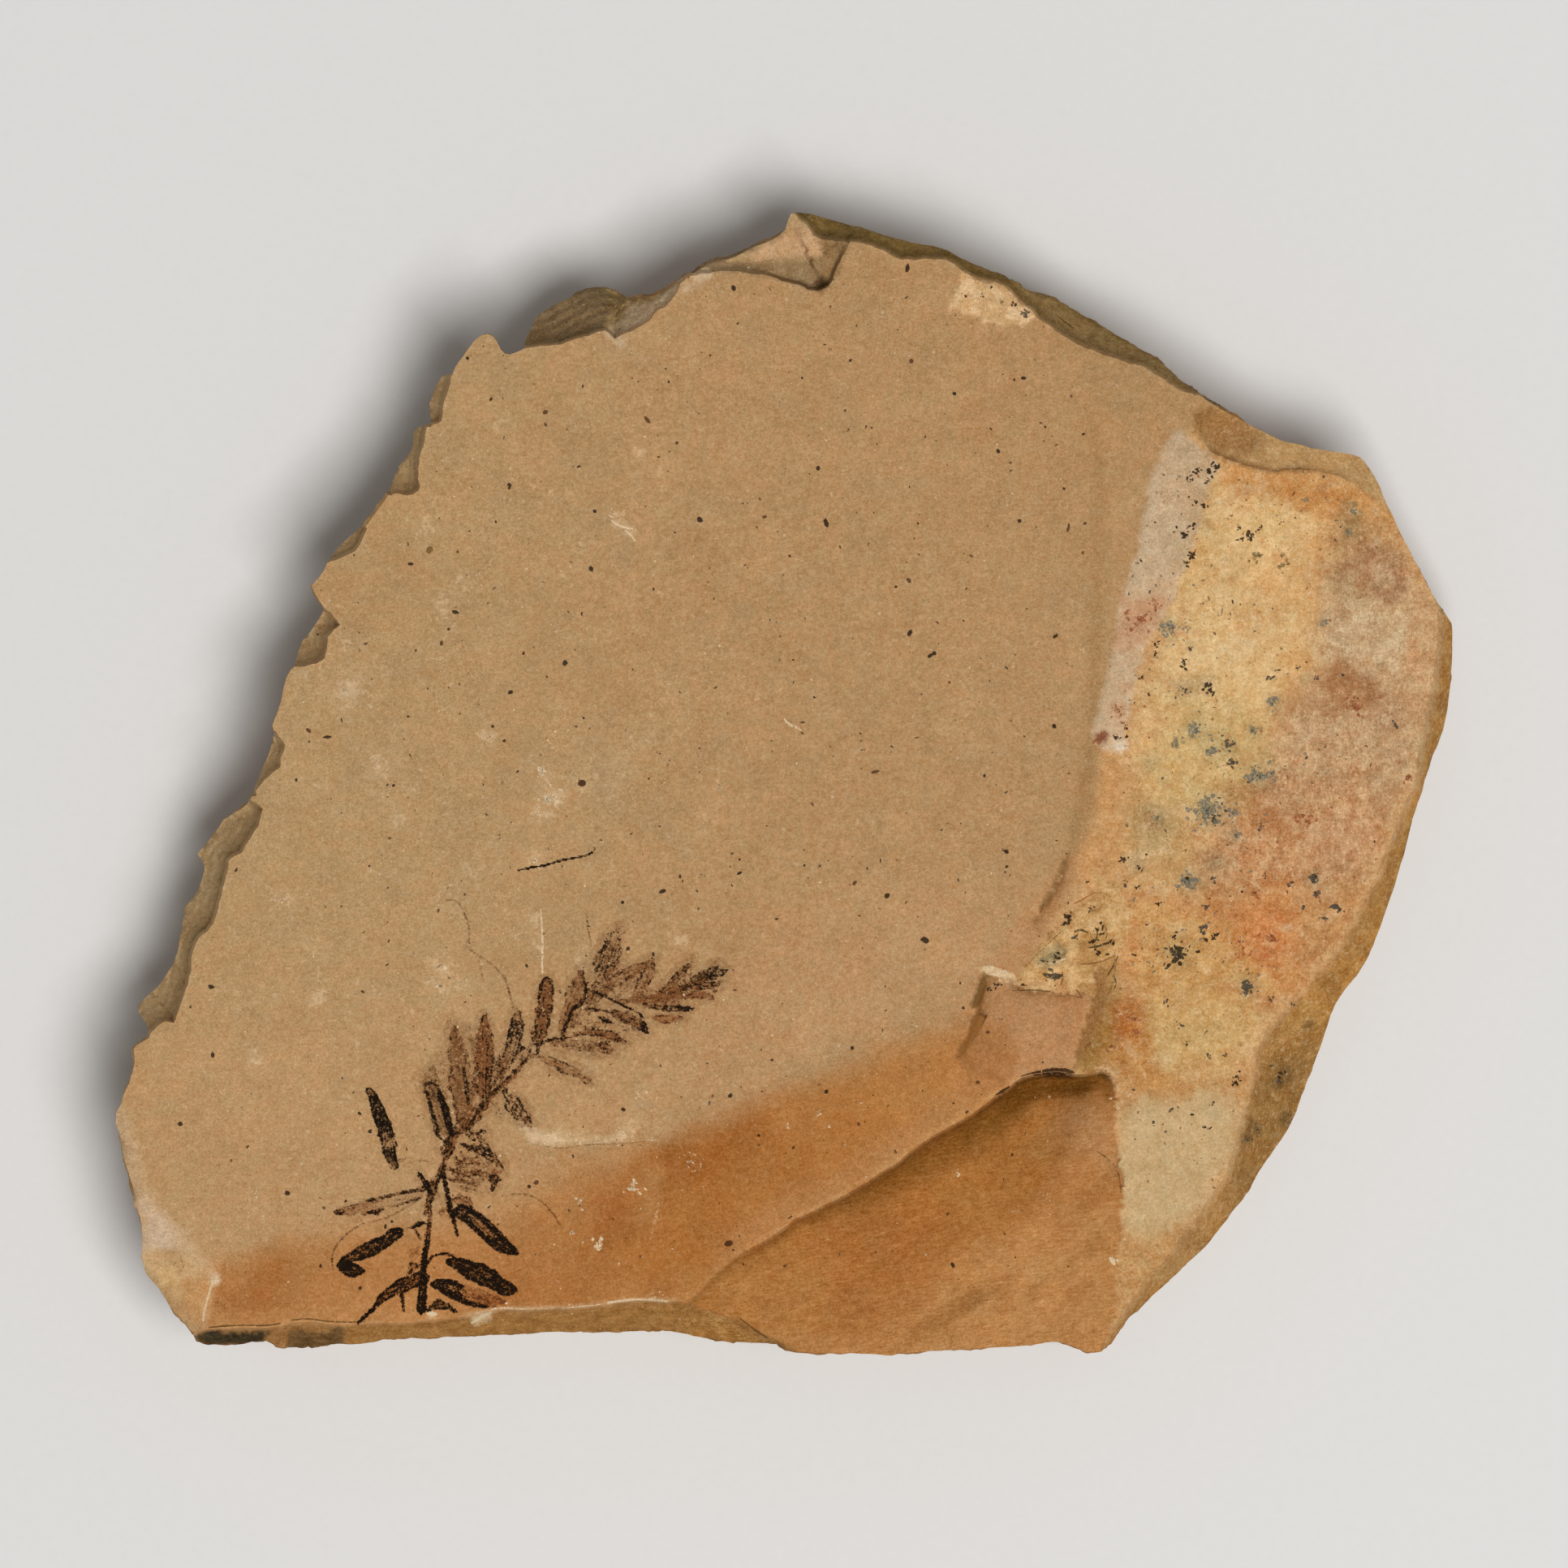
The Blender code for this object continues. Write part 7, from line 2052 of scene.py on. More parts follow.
class Sheet:
    """Carbon film over a part of the stone: how much there is at each point of a
    fine triangular pattern, gathered from strokes along leaves and stalks."""

    def __init__(self, left, top, right, bottom, step=0.21):
        step *= 1.0
        (x0, y0), (x1, y1) = mm([(left, bottom), (right, top)])
        self.rows = int((y1 - y0) / (step * 0.866)) + 1
        self.cols = int((x1 - x0) / step) + 1
        r, c = np.divmod(np.arange(self.rows * self.cols), self.cols)
        self.points = np.stack([x0 + (c + 0.5 * (r % 2)) * step, y0 + r * step * 0.866], 1)
        n = len(self.points)
        self.brown, self.dark, self.haze = np.zeros(n), np.zeros(n), np.zeros(n)
        self.red, self.weight, self.best = np.zeros(n), np.zeros(n), np.zeros(n)
        self.vein = np.zeros((n, 3))

    def stroke(self, middle, half, seed, ragged, dark, edge, brown, red, haze=0.0):
        """A leaf or a stalk along a midline in mm, half mm wide to each side."""
        reach = half.max() * 1.5 + 0.3 + (2.4 if haze else 0.0)
        near = np.flatnonzero(((self.points > middle.min(0) - reach)
                               & (self.points < middle.max(0) + reach)).all(1))
        p = self.points[near]
        gap, where = nearest(p, middle)
        runs = along(middle)
        t = where / runs[-1]
        wide = np.interp(where, runs, half)
        faint = np.sqrt(np.clip(wide / 0.15, 0.05, 1))     # a hairline: fainter, not thinner
        wide = np.maximum(wide, 0.15)
        wave = fractal(p, 0.95, 3, 300 + seed)
        u = gap / wide * (1 + ragged * wave * np.clip(0.25 / wide + 0.75, 1, 1.8))
        m = ease((1.16 - u) / 0.40) * faint
        value = lambda v: v(t) if callable(v) else v
        if haze:
            spread_ = np.exp(-(np.clip(gap - wide, 0, None) / 0.95) ** 2)
            self.haze[near] = np.maximum(self.haze[near], haze * spread_ * (0.8 + 0.5 * wave))
        amount = value(brown) * m
        self.brown[near] = 1 - (1 - self.brown[near]) * (1 - 0.9 * amount)
        margin = edge * ease((u - 0.42) / 0.36)
        d = (value(dark) + 0.62 * margin) * ease((1.12 - u) / 0.28) * faint
        self.dark[near] = np.maximum(self.dark[near], d)
        self.red[near] += amount * value(red)
        self.weight[near] += amount
        first = near[amount > self.best[near]]
        pick = amount > self.best[near]
        self.best[first] = amount[pick]
        k = np.clip(np.searchsorted(runs, where, side="right") - 1, 0, len(middle) - 2)
        ab, ap = middle[k + 1] - middle[k], p - middle[k]
        side_ = np.sign(ab[:, 0] * ap[:, 1] - ab[:, 1] * ap[:, 0])
        self.vein[first] = np.stack([where, gap * side_, np.full(len(p), seed * 3.7)], 1)[pick]

    def build(self, name, material):
        amount = np.maximum(np.maximum(self.brown, self.dark), self.haze * 0.8)
        keep = amount > 0.045
        at = np.arange(len(self.points)).reshape(self.rows, self.cols)
        made = []
        for r in range(self.rows - 1):
            a, b, c, d = at[r, :-1], at[r, 1:], at[r + 1, 1:], at[r + 1, :-1]
            if r % 2:
                made += [np.stack([a, b, c], 1), np.stack([a, c, d], 1)]
            else:
                made += [np.stack([a, b, d], 1), np.stack([b, c, d], 1)]
        made = np.concatenate(made)
        made = made[keep[made].any(1)]
        # the border is shared by the film's top and the floor below it
        edges = np.sort(np.concatenate([made[:, [0, 1]], made[:, [1, 2]], made[:, [2, 0]]]), 1)
        pairs, uses = np.unique(edges, axis=0, return_counts=True)
        border = np.zeros(len(self.points), bool)
        border[pairs[uses == 1]] = True
        used = np.unique(made)
        low_of = np.full(len(self.points), -1)
        inner = used[~border[used]]
        low_of[used] = used
        low_of[inner] = len(self.points) + np.arange(len(inner))
        patch = np.concatenate([made, low_of[made][:, ::-1]])
        spot, normal = np.zeros((len(self.points), 3)), np.zeros((len(self.points), 3))
        spot[used], normal[used], under = drape(self.points[used])
        lift = -0.05 + 0.085 * ease(amount / 0.35) + 0.03 * ease(self.dark)
        lift[border] = -0.06
        both = np.concatenate([spot, spot[inner]]), np.concatenate([normal, normal[inner]])
        lift = np.concatenate([lift, np.full(len(inner), -0.14)])
        wide = Paint(np.zeros((len(both[0]), 2)), (0, 0, 0), (0, 0, 0))
        values = {"film_brown": self.brown, "film_dark": self.dark, "film_haze": self.haze,
                  "film_red": self.red / np.maximum(self.weight, 1e-6)}
        for k, label in enumerate(("vein_along", "vein_across", "vein_of")):
            values[label] = self.vein[:, k]
        values = {label: np.concatenate([v, v[inner]]) for label, v in values.items()}
        for label in ("a", "b", "crisp", "grit", "fleck", "chalk", "hatch"):
            part = getattr(under, label)
            full = np.zeros((len(self.points),) + part.shape[1:])
            full[used] = part
            setattr(wide, label, np.concatenate([full, full[inner]]))
        return finish(name, material, *both, wide, lift, patch, values)


LEAF_WIDER = 1.12


def blade(sheet, upper, lower, seed, ragged=0.10, **values):
    """A flattened leaf between two edges, given from its foot to its tip."""
    a, _ = curve(upper, 0.25)
    b, _ = curve(lower, 0.25)
    t = np.linspace(0, 1, max(len(a), len(b)))
    pick = lambda line: np.stack([np.interp(t, np.linspace(0, 1, len(line)), line[:, k])
                                  for k in (0, 1)], 1)
    a, b = pick(a), pick(b)
    middle, across = (a + b) / 2, (b - a) / 2
    tangent = np.gradient(middle, axis=0)
    tangent /= np.maximum(np.hypot(*tangent.T), 1e-9)[:, None]
    half = np.abs(tangent[:, 0] * across[:, 1] - tangent[:, 1] * across[:, 0])
    sheet.stroke(middle, half * LEAF_WIDER, seed, 0.08 + 1.3 * ragged, **values)


def needle(sheet, line, width, seed, ragged=0.12, foot=0.35, tip=0.5, **values):
    """A leaf or a stalk along a midline, width pixels wide, rounded at both ends."""
    middle, even = curve(line, 0.25)
    t = even / even[-1]
    widths = np.interp(t, np.linspace(0, 1, np.size(width)), np.atleast_1d(width)) * PX / 2
    round_off = np.sqrt(np.clip(even / max(foot * widths[0] * 2, 0.05), 0, 1)) * np.sqrt(
        np.clip((even[-1] - even) / max(tip * widths[-1] * 4, 0.05), 0, 1))
    wider = 1 + (LEAF_WIDER - 1) * ease((widths * 20 - 4) / 4)
    sheet.stroke(middle, widths * np.maximum(round_off, 0.25) * wider, seed,
                 0.08 + 1.1 * ragged, **values)


def ribbon(film, line, width, seed, ragged=0.12, foot=0.35, tip=0.5, **values):
    """A narrow patch of film along a midline, width pixels wide."""
    step = 0.2
    middle, even = curve(line, step)
    t = even / even[-1]
    tangent = np.gradient(middle, axis=0)
    tangent /= np.maximum(np.hypot(*tangent.T), 1e-9)[:, None]
    normal = np.stack([-tangent[:, 1], tangent[:, 0]], 1)
    widths = np.interp(t, np.linspace(0, 1, np.size(width)), np.atleast_1d(width)) * PX / 2
    round_off = np.sqrt(np.clip(even / max(foot * widths[0] * 2, 0.05), 0, 1)) * np.sqrt(
        np.clip((even[-1] - even) / max(tip * widths[-1] * 4, 0.05), 0, 1))
    half = widths * np.maximum(round_off, 0.12)
    left = 1 + ragged * fractal(middle, 0.8, 2, 400 + seed)
    right = 1 + ragged * fractal(middle + 40, 0.8, 2, 440 + seed)
    grow = np.where(ACROSS[None, :] < 0, left[:, None], right[:, None]) * ACROSS[None, :]
    plan = middle[:, None] + normal[:, None] * (half[:, None] * grow)[:, :, None]
    wide = np.clip(half / 0.5, 0.3, 1.0)
    lift = (0.028 + 0.035 * (1 - ACROSS**2))[None, :] * wide[:, None]
    lift[:, [0, -1]] = -0.03
    lift[[0, -1]] = -0.03
    film.grid(plan, lift, across=np.broadcast_to(ACROSS[None, :], plan.shape[:2]),
              run=np.broadcast_to(t[:, None], plan.shape[:2]), **values)


# Values of a leaf film: dark, how much of it is black carbon; edge, how black its
# margins are; brown, how strong its brown film is; red, how red that film is.
def twig_parts(film):
    upper = lambda line: 0.60 if line[0][1] < 1460 and line[-1][1] < 1475 else 0.24
    B = lambda *a, **v: blade(film, *a, **{"haze": upper(a[0]), **v})
    N = lambda *a, **v: needle(film, *a, **{"haze": upper(a[0]), **v})
    # stem, from its broken foot up
    N([(519, 1619), (520, 1600), (521, 1585), (522, 1567), (523, 1550), (526, 1533),
       (528, 1516), (530, 1500), (530, 1485)], (12, 11, 10, 8, 8, 7, 6, 5, 5), 1,
      dark=lambda t: 0.86 - 0.5 * ease((t - 0.62) / 0.2), edge=0.35, brown=0.9, red=0.25)
    N([(524, 1498), (528, 1482), (534, 1465), (540, 1450), (545, 1440), (549, 1428),
       (555, 1410), (563, 1397)], (6, 7, 8, 7, 8, 8, 9, 8), 2, ragged=0.3,
      dark=0.40, edge=0.4, brown=0.90, red=0.45)
    N([(556, 1402), (566, 1395), (576, 1389), (587, 1377), (596, 1362), (610, 1345),
       (622, 1335), (635, 1324), (645, 1309), (655, 1301), (666, 1300)],
      (8, 7, 7, 8, 8, 7, 6, 6, 5, 5, 4), 3, ragged=0.3, dark=0.26, edge=0.40, brown=0.74,
      red=0.45)
    N([(558, 1400), (577, 1388), (592, 1367), (606, 1347), (621, 1333), (639, 1315),
       (654, 1302)], (2, 2.4, 2.4, 2.2, 2.4, 2, 1.6), 78, ragged=0.4, dark=0.78, edge=0.1,
      brown=0.9, red=0.1)
    N([(524, 1497), (530, 1480), (537, 1462), (544, 1444), (550, 1422), (559, 1402)],
      (2, 2.4, 2.6, 2.4, 2.6, 2), 79, ragged=0.4, dark=0.78, edge=0.1, brown=0.9, red=0.1)
    N([(662, 1300), (664, 1288), (676, 1282), (688, 1279), (704, 1278)], (5, 4, 3, 3, 2), 4,
      dark=0.7, edge=0.2, brown=0.9, red=0.3)
    N([(692, 1276), (697, 1264), (702, 1252), (706, 1243), (714, 1238), (720, 1229),
       (722, 1218), (719, 1204), (719, 1192)], (5, 5, 4, 5, 6, 4, 4, 3, 2), 5,
      dark=0.72, edge=0.2, brown=0.9, red=0.2)
    N([(722, 1218), (740, 1225), (760, 1235), (774, 1242), (785, 1247), (794, 1256)],
      (2, 3, 3.4, 3, 3, 3), 6, dark=0.74, edge=0.1, brown=0.9, red=0.15)
    N([(757, 1235), (775, 1233), (795, 1232), (818, 1227), (846, 1216), (872, 1206)],
      (5, 8, 10, 11, 8, 3), 7, dark=0.14, edge=0.2, brown=0.72, red=0.45)
    # E, black and mottled
    B([(612, 1322), (614, 1306), (619, 1290), (626, 1271), (631, 1253), (635, 1246)],
      [(620, 1326), (630, 1312), (639, 1297), (643, 1282), (645, 1267), (640, 1250)], 8,
      ragged=0.3, dark=lambda t: 0.36 + 0.26 * np.exp(-((t - 0.68) / 0.2) ** 2), edge=0.25,
      brown=0.66, red=0.1)
    # big brown leaf beside it
    B([(660, 1286), (659, 1270), (660, 1253), (662, 1236), (665, 1222), (667, 1217)],
      [(668, 1284), (674, 1272), (678, 1258), (680, 1236), (682, 1214), (682, 1202)], 9,
      dark=0.36, edge=0.55, brown=1.0, red=0.35)
    # leaf between the two dark lines
    B([(688, 1275), (690, 1256), (694, 1238), (699, 1222), (706, 1208), (714, 1196)],
      [(698, 1270), (705, 1250), (712, 1236), (719, 1222), (720, 1208), (718, 1192)], 10,
      ragged=0.2, dark=0.20, edge=0.25, brown=0.72, red=0.4)
    # black-mottled leaf pointing up
    B([(730, 1212), (731, 1198), (734, 1181), (740, 1166), (750, 1153), (762, 1143)],
      [(738, 1212), (748, 1198), (757, 1185), (760, 1171), (763, 1156), (768, 1146)], 11,
      ragged=0.3, dark=0.38, edge=0.2, brown=0.50, red=0.1)
    N([(766, 1183), (752, 1198), (742, 1211)], (8, 9, 7), 12, dark=0.06, edge=0.4,
      brown=0.45, red=0.8)
    B([(744, 1218), (752, 1204), (765, 1195), (779, 1189), (793, 1185)],
      [(750, 1220), (764, 1214), (776, 1206), (788, 1198), (796, 1190)], 13,
      dark=0.14, edge=0.5, brown=0.68, red=0.4)
    B([(778, 1226), (782, 1214), (788, 1203), (794, 1192), (800, 1184)],
      [(788, 1226), (797, 1214), (805, 1203), (808, 1192), (807, 1181)], 14,
      ragged=0.2, dark=0.22, edge=0.45, brown=0.72, red=0.35)
    # end of the twig
    N([(812, 1224), (824, 1214), (836, 1202), (845, 1192), (854, 1184)], (5, 8, 9, 8, 4), 15,
      dark=0.36, edge=0.35, brown=0.64, red=0.3)
    N([(838, 1219), (850, 1210), (864, 1202), (876, 1195), (886, 1190)], (4, 7, 8, 8, 5), 16,
      dark=0.40, edge=0.35, brown=0.58, red=0.1)
    N([(852, 1212), (864, 1206), (877, 1202), (887, 1199), (896, 1196)], (5, 7, 9, 10, 7), 17,
      dark=lambda t: 0.28 + 0.40 * t, edge=0.35, brown=0.60, red=0.1)
    N([(836, 1220), (852, 1217), (868, 1215), (882, 1213), (890, 1209)], (4, 6, 7, 8, 5), 18,
      dark=0.5, edge=0.3, brown=0.8, red=0.5)
    N([(840, 1229), (854, 1226), (867, 1226), (880, 1231)], (6, 9, 10, 6), 19,
      dark=0.28, edge=0.3, brown=0.8, red=0.75)
    N([(792, 1238), (806, 1241), (826, 1243), (840, 1243), (854, 1243)], (5, 6, 7, 9, 6), 20,
      dark=lambda t: 0.42 + 0.3 * t, edge=0.3, brown=0.8, red=0.15)
    N([(804, 1254), (820, 1256), (832, 1255), (843, 1253)], (6, 9, 9, 6), 21,
      dark=0.16, edge=0.25, brown=0.78, red=0.85)
    N([(780, 1232), (800, 1230), (822, 1226), (846, 1218)], (14, 22, 22, 12), 22, ragged=0.25,
      dark=0.08, edge=0.05, brown=0.42, red=0.5)
    # lower side of the twig's upper half
    N([(722, 1243), (740, 1245), (757, 1248)], (3, 3.4, 2.4), 23, dark=0.7, edge=0.1,
      brown=0.9, red=0.3)
    N([(739, 1254), (747, 1257), (755, 1261)], (6, 8, 5), 24, ragged=0.3, dark=0.74, edge=0.1,
      brown=0.8, red=0.0)
    N([(752, 1248), (766, 1252), (779, 1257), (790, 1264), (798, 1273)], (8, 12, 14, 13, 11),
      25, ragged=0.2, dark=lambda t: 0.32 + 0.48 * ease((t - 0.66) / 0.2), edge=0.3,
      brown=0.86, red=0.3)
    B([(706, 1273), (722, 1268), (743, 1269), (760, 1275), (771, 1281)],
      [(708, 1278), (722, 1276), (742, 1280), (758, 1285), (768, 1286)], 26, ragged=0.2,
      dark=0.34, edge=0.5, brown=0.72, red=0.6)
    B([(676, 1281), (700, 1281), (722, 1282), (742, 1285), (756, 1291)],
      [(680, 1288), (700, 1292), (722, 1296), (740, 1299), (754, 1298)], 27, ragged=0.2,
      dark=0.22, edge=0.28, brown=0.60, red=0.4)
    N([(664, 1303), (680, 1309), (697, 1317), (715, 1325), (731, 1336)], (6, 11, 12, 10, 7),
      28, ragged=0.2, dark=lambda t: 0.16 + 0.2 * np.exp(-((t - 0.4) / 0.2) ** 2), edge=0.3,
      brown=0.66, red=0.35)
    # G, below the stem
    B([(619, 1346), (621, 1354), (625, 1367), (634, 1378), (643, 1385), (652, 1388)],
      [(628, 1346), (638, 1354), (646, 1362), (652, 1371), (656, 1380), (658, 1387)], 29,
      ragged=0.25, dark=lambda t: 0.5 - 0.14 * t, edge=0.3, brown=0.6, red=0.35)
    # D, C and B above the stem
    B([(592, 1366), (588, 1340), (586, 1310), (588, 1280), (593, 1256)],
      [(601, 1362), (604, 1340), (607, 1312), (606, 1280), (600, 1254)], 30, ragged=0.18,
      dark=0.30, edge=0.42, brown=0.94, red=0.55)
    N([(596, 1366), (598, 1340), (600, 1312), (601, 1280)], (3, 3, 3.4, 2), 31, dark=0.62,
      edge=0.1, brown=0.8, red=0.3)
    B([(566, 1392), (560, 1370), (556, 1340), (553, 1306), (554, 1280), (557, 1266)],
      [(574, 1388), (580, 1366), (582, 1340), (578, 1310), (572, 1284), (564, 1266)], 32,
      ragged=0.18, dark=0.16, edge=0.36, brown=0.78, red=0.25)
    N([(577, 1362), (575, 1345), (573, 1330), (571, 1314)], (3, 5, 5, 3), 33, dark=0.72,
      edge=0.1, brown=0.9, red=0.3)
    N([(566, 1360), (565, 1345), (564, 1333)], (6, 8, 6), 34, ragged=0.25, dark=0.05, edge=0.1,
      brown=0.42, red=-0.6)
    N([(576, 1376), (585, 1352), (588, 1322), (583, 1292), (576, 1268)], (8, 10, 10, 8, 5),
      35, ragged=0.25, dark=0.12, edge=0.2, brown=0.5, red=0.5)
    B([(546, 1404), (538, 1396), (531, 1376), (526, 1356), (522, 1342)],
      [(558, 1404), (556, 1392), (551, 1374), (546, 1354), (540, 1341)], 36,
      dark=0.18, edge=0.85, brown=0.72, red=-0.1)
    N([(557, 1403), (554, 1388), (549, 1370), (544, 1354), (540, 1344)], (6, 8, 8, 8, 6), 37,
      dark=0.82, edge=0.2, brown=0.9, red=0.0)
    N([(541, 1396), (534, 1374), (529, 1358), (525, 1345)], (4, 4, 4.4, 6), 38,
      dark=0.76, edge=0.1, brown=0.9, red=0.0)
    N([(532, 1345), (530, 1334), (532, 1324), (534, 1314)], (20, 26, 26, 18), 39, ragged=0.25,
      dark=0.2, edge=0.15, brown=0.55, red=0.1)
    # the stem's thick joint
    N([(549, 1428), (550, 1418), (553, 1408), (558, 1400)], (12, 13, 13, 11), 40, ragged=0.2,
      dark=0.42, edge=0.25, brown=0.9, red=0.5)
    # middle cluster
    B([(566, 1408), (580, 1411), (597, 1413), (610, 1422), (620, 1437)],
      [(568, 1412), (582, 1418), (596, 1424), (606, 1432), (616, 1442)], 41, ragged=0.2,
      dark=0.44, edge=0.5, brown=0.7, red=0.45)
    N([(571, 1410), (584, 1415), (598, 1417), (608, 1423)], (3, 4, 4, 3), 42, dark=0.8,
      edge=0.1, brown=0.9, red=0.1)
    N([(600, 1441), (610, 1444), (619, 1445)], (4, 5, 4), 43, dark=0.05, edge=0.1,
      brown=0.7, red=1.0)
    N([(562, 1434), (576, 1430), (590, 1434)], (5, 7, 5), 44, ragged=0.3, dark=0.24,
      edge=0.25, brown=0.72, red=0.35)
    N([(550, 1440), (562, 1442), (577, 1446), (592, 1445)], (4, 5, 5, 3), 45, ragged=0.25,
      dark=0.46, edge=0.2, brown=0.8, red=0.3)
    N([(580, 1440), (594, 1446), (606, 1452), (612, 1458)], (6, 8, 9, 8), 46, ragged=0.3,
      dark=0.30, edge=0.3, brown=0.62, red=0.35)
    N([(551, 1452), (566, 1454), (580, 1458), (592, 1463)], (3, 5, 5, 3), 47, ragged=0.3,
      dark=0.32, edge=0.2, brown=0.75, red=0.3)
    N([(610, 1447), (609, 1456), (607, 1466)], (8, 10, 7), 48, ragged=0.35, dark=0.58,
      edge=0.2, brown=0.8, red=0.2)
    N([(596, 1389), (590, 1396), (580, 1396)], (3, 5, 3), 49, ragged=0.3, dark=0.4,
      edge=0.2, brown=0.6, red=0.3)
    N([(585, 1398), (592, 1394), (599, 1397)], (3, 4, 3), 50, ragged=0.3, dark=0.6, edge=0.2,
      brown=0.6, red=0.1)
    # crossing sticks
    N([(516, 1445), (522, 1455), (528, 1465), (532, 1473)], (7, 6, 6, 5), 51, dark=0.85,
      edge=0.2, brown=0.95, red=0.0)
    N([(546, 1444), (549, 1460), (552, 1475), (556, 1491), (560, 1508), (564, 1524)],
      (6, 6, 7, 7, 5, 4), 52, dark=0.76, edge=0.2, brown=0.95, red=0.1)
    N([(539, 1494), (546, 1492), (552, 1491)], (2.4, 3, 2.4), 53, dark=0.1, edge=0.1,
      brown=0.7, red=0.9)
    N([(540, 1470), (545, 1480), (550, 1487)], (6, 8, 6), 54, ragged=0.3, dark=0.15,
      edge=0.2, brown=0.4, red=-0.5)
    # H, thin and reddish, to the left
    B([(527, 1462), (505, 1467), (489, 1470), (468, 1475), (452, 1478), (436, 1483),
       (414, 1490)],
      [(519, 1476), (505, 1481), (487, 1487), (471, 1492), (457, 1495), (436, 1497),
       (416, 1497)], 55, ragged=0.12, dark=0.08, edge=0.55,
      brown=lambda t: 0.30 + 0.35 * ease((t - 0.4) / 0.3), red=0.75)
    N([(528, 1463), (505, 1468), (489, 1471), (468, 1476), (452, 1480)], (6, 5, 4, 4, 3), 56,
      dark=0.66, edge=0.1, brown=0.9, red=0.2)
    N([(518, 1476), (505, 1480), (487, 1486)], (3, 3, 2.4), 57, dark=0.6, edge=0.1,
      brown=0.8, red=0.2)
    N([(472, 1490), (462, 1493), (452, 1494)], (4, 7, 4), 58, ragged=0.3, dark=0.66,
      edge=0.1, brown=0.8, red=0.1)
    N([(424, 1492), (418, 1493), (412, 1493)], (5, 8, 5), 59, ragged=0.3, dark=0.7,
      edge=0.1, brown=0.9, red=0.3)
    # I, to the right, open in the middle
    N([(557, 1480), (566, 1479), (576, 1484), (582, 1491)], (8, 14, 13, 7), 60, ragged=0.3,
      dark=0.36, edge=0.25, brown=0.85, red=0.4)
    B([(576, 1488), (591, 1497), (604, 1507), (618, 1521), (632, 1534), (638, 1541)],
      [(562, 1498), (574, 1506), (588, 1518), (602, 1532), (618, 1543), (634, 1546)], 61,
      ragged=0.1, dark=lambda t: 0.70 - 0.26 * np.exp(-((t - 0.36) / 0.18) ** 2), edge=0.5,
      brown=0.80, red=0.2)
    N([(576, 1489), (591, 1499), (603, 1509), (617, 1523), (631, 1537), (636, 1543)],
      (6, 7, 7.5, 7, 6, 5), 62, ragged=0.08, dark=0.92, edge=0.2, brown=1.0, red=0.0)
    N([(561, 1497), (574, 1504), (588, 1516), (602, 1529), (618, 1540), (632, 1544)],
      (4, 5, 6, 5.4, 5, 4), 63, ragged=0.08, dark=0.9, edge=0.2, brown=1.0, red=0.1)
    # J, black, and the fragment below its tip
    B([(489, 1513), (482, 1516), (473, 1521), (459, 1528), (445, 1534), (434, 1541),
       (424, 1548), (415, 1558)],
      [(493, 1525), (482, 1533), (471, 1541), (457, 1548), (443, 1552), (432, 1553),
       (424, 1556), (418, 1561)], 64, dark=0.74, edge=0.45, brown=0.9, red=-0.1)
    B([(421, 1559), (430, 1555), (440, 1558), (449, 1563)],
      [(422, 1567), (430, 1573), (440, 1573), (446, 1569)], 65, dark=0.78, edge=0.4,
      brown=0.95, red=0.0)
    # small marks by the stem
    N([(501, 1514), (509, 1512), (517, 1508), (524, 1507)], (2, 4, 7, 6), 66, dark=0.86,
      edge=0.1, brown=0.9, red=0.1)
    N([(511, 1515), (515, 1521), (519, 1527)], (3, 3, 2), 67, dark=0.7, edge=0.1, brown=0.8,
      red=0.2)
    N([(508, 1553), (512, 1545), (516, 1536)], (8, 10, 6), 68, ragged=0.35, dark=0.22,
      edge=0.1, brown=0.4, red=0.1)
    N([(503, 1570), (510, 1562), (518, 1558)], (7, 10, 8), 69, ragged=0.3, dark=0.5,
      edge=0.15, brown=0.7, red=0.1)
    # K: an arc and a black leaf
    N([(526, 1558), (531, 1550), (540, 1546), (550, 1545), (562, 1550)], (2, 3, 3, 4, 6), 70,
      dark=0.85, edge=0.1, brown=0.9, red=0.1)
    B([(554, 1551), (574, 1551), (591, 1557), (609, 1566), (622, 1577), (635, 1584),
       (638, 1588)],
      [(553, 1559), (567, 1568), (586, 1579), (602, 1587), (619, 1596), (630, 1596),
       (636, 1592)], 71, dark=0.78, edge=0.4, brown=0.95, red=0.0)
    # L: black edges, red-brown between
    B([(530, 1580), (542, 1576), (557, 1578), (572, 1584), (590, 1588), (606, 1594),
       (621, 1600)],
      [(534, 1585), (545, 1592), (558, 1599), (575, 1607), (592, 1611), (606, 1611),
       (620, 1607)], 72, ragged=0.08, dark=lambda t: 0.55 * ease((0.55 - t) / 0.2) + 0.16,
      edge=0.35, brown=0.66, red=0.6)
    N([(532, 1581), (542, 1579), (556, 1580), (570, 1585)], (5, 7, 6, 3), 73, dark=0.92,
      edge=0.1, brown=1.0, red=0.0)
    N([(540, 1584), (550, 1592), (562, 1599), (577, 1605), (592, 1609), (602, 1610)],
      (6, 8, 7.4, 6, 5, 3), 74, ragged=0.08, dark=0.93, edge=0.1, brown=1.0, red=0.0)
    # M, grey-black at the edge of the stone
    B([(527, 1612), (535, 1605), (545, 1603), (555, 1608), (564, 1615)],
      [(530, 1616), (538, 1613), (546, 1613), (554, 1615), (561, 1617)], 75, ragged=0.2,
      dark=0.6, edge=0.2, brown=0.8, red=-0.3)
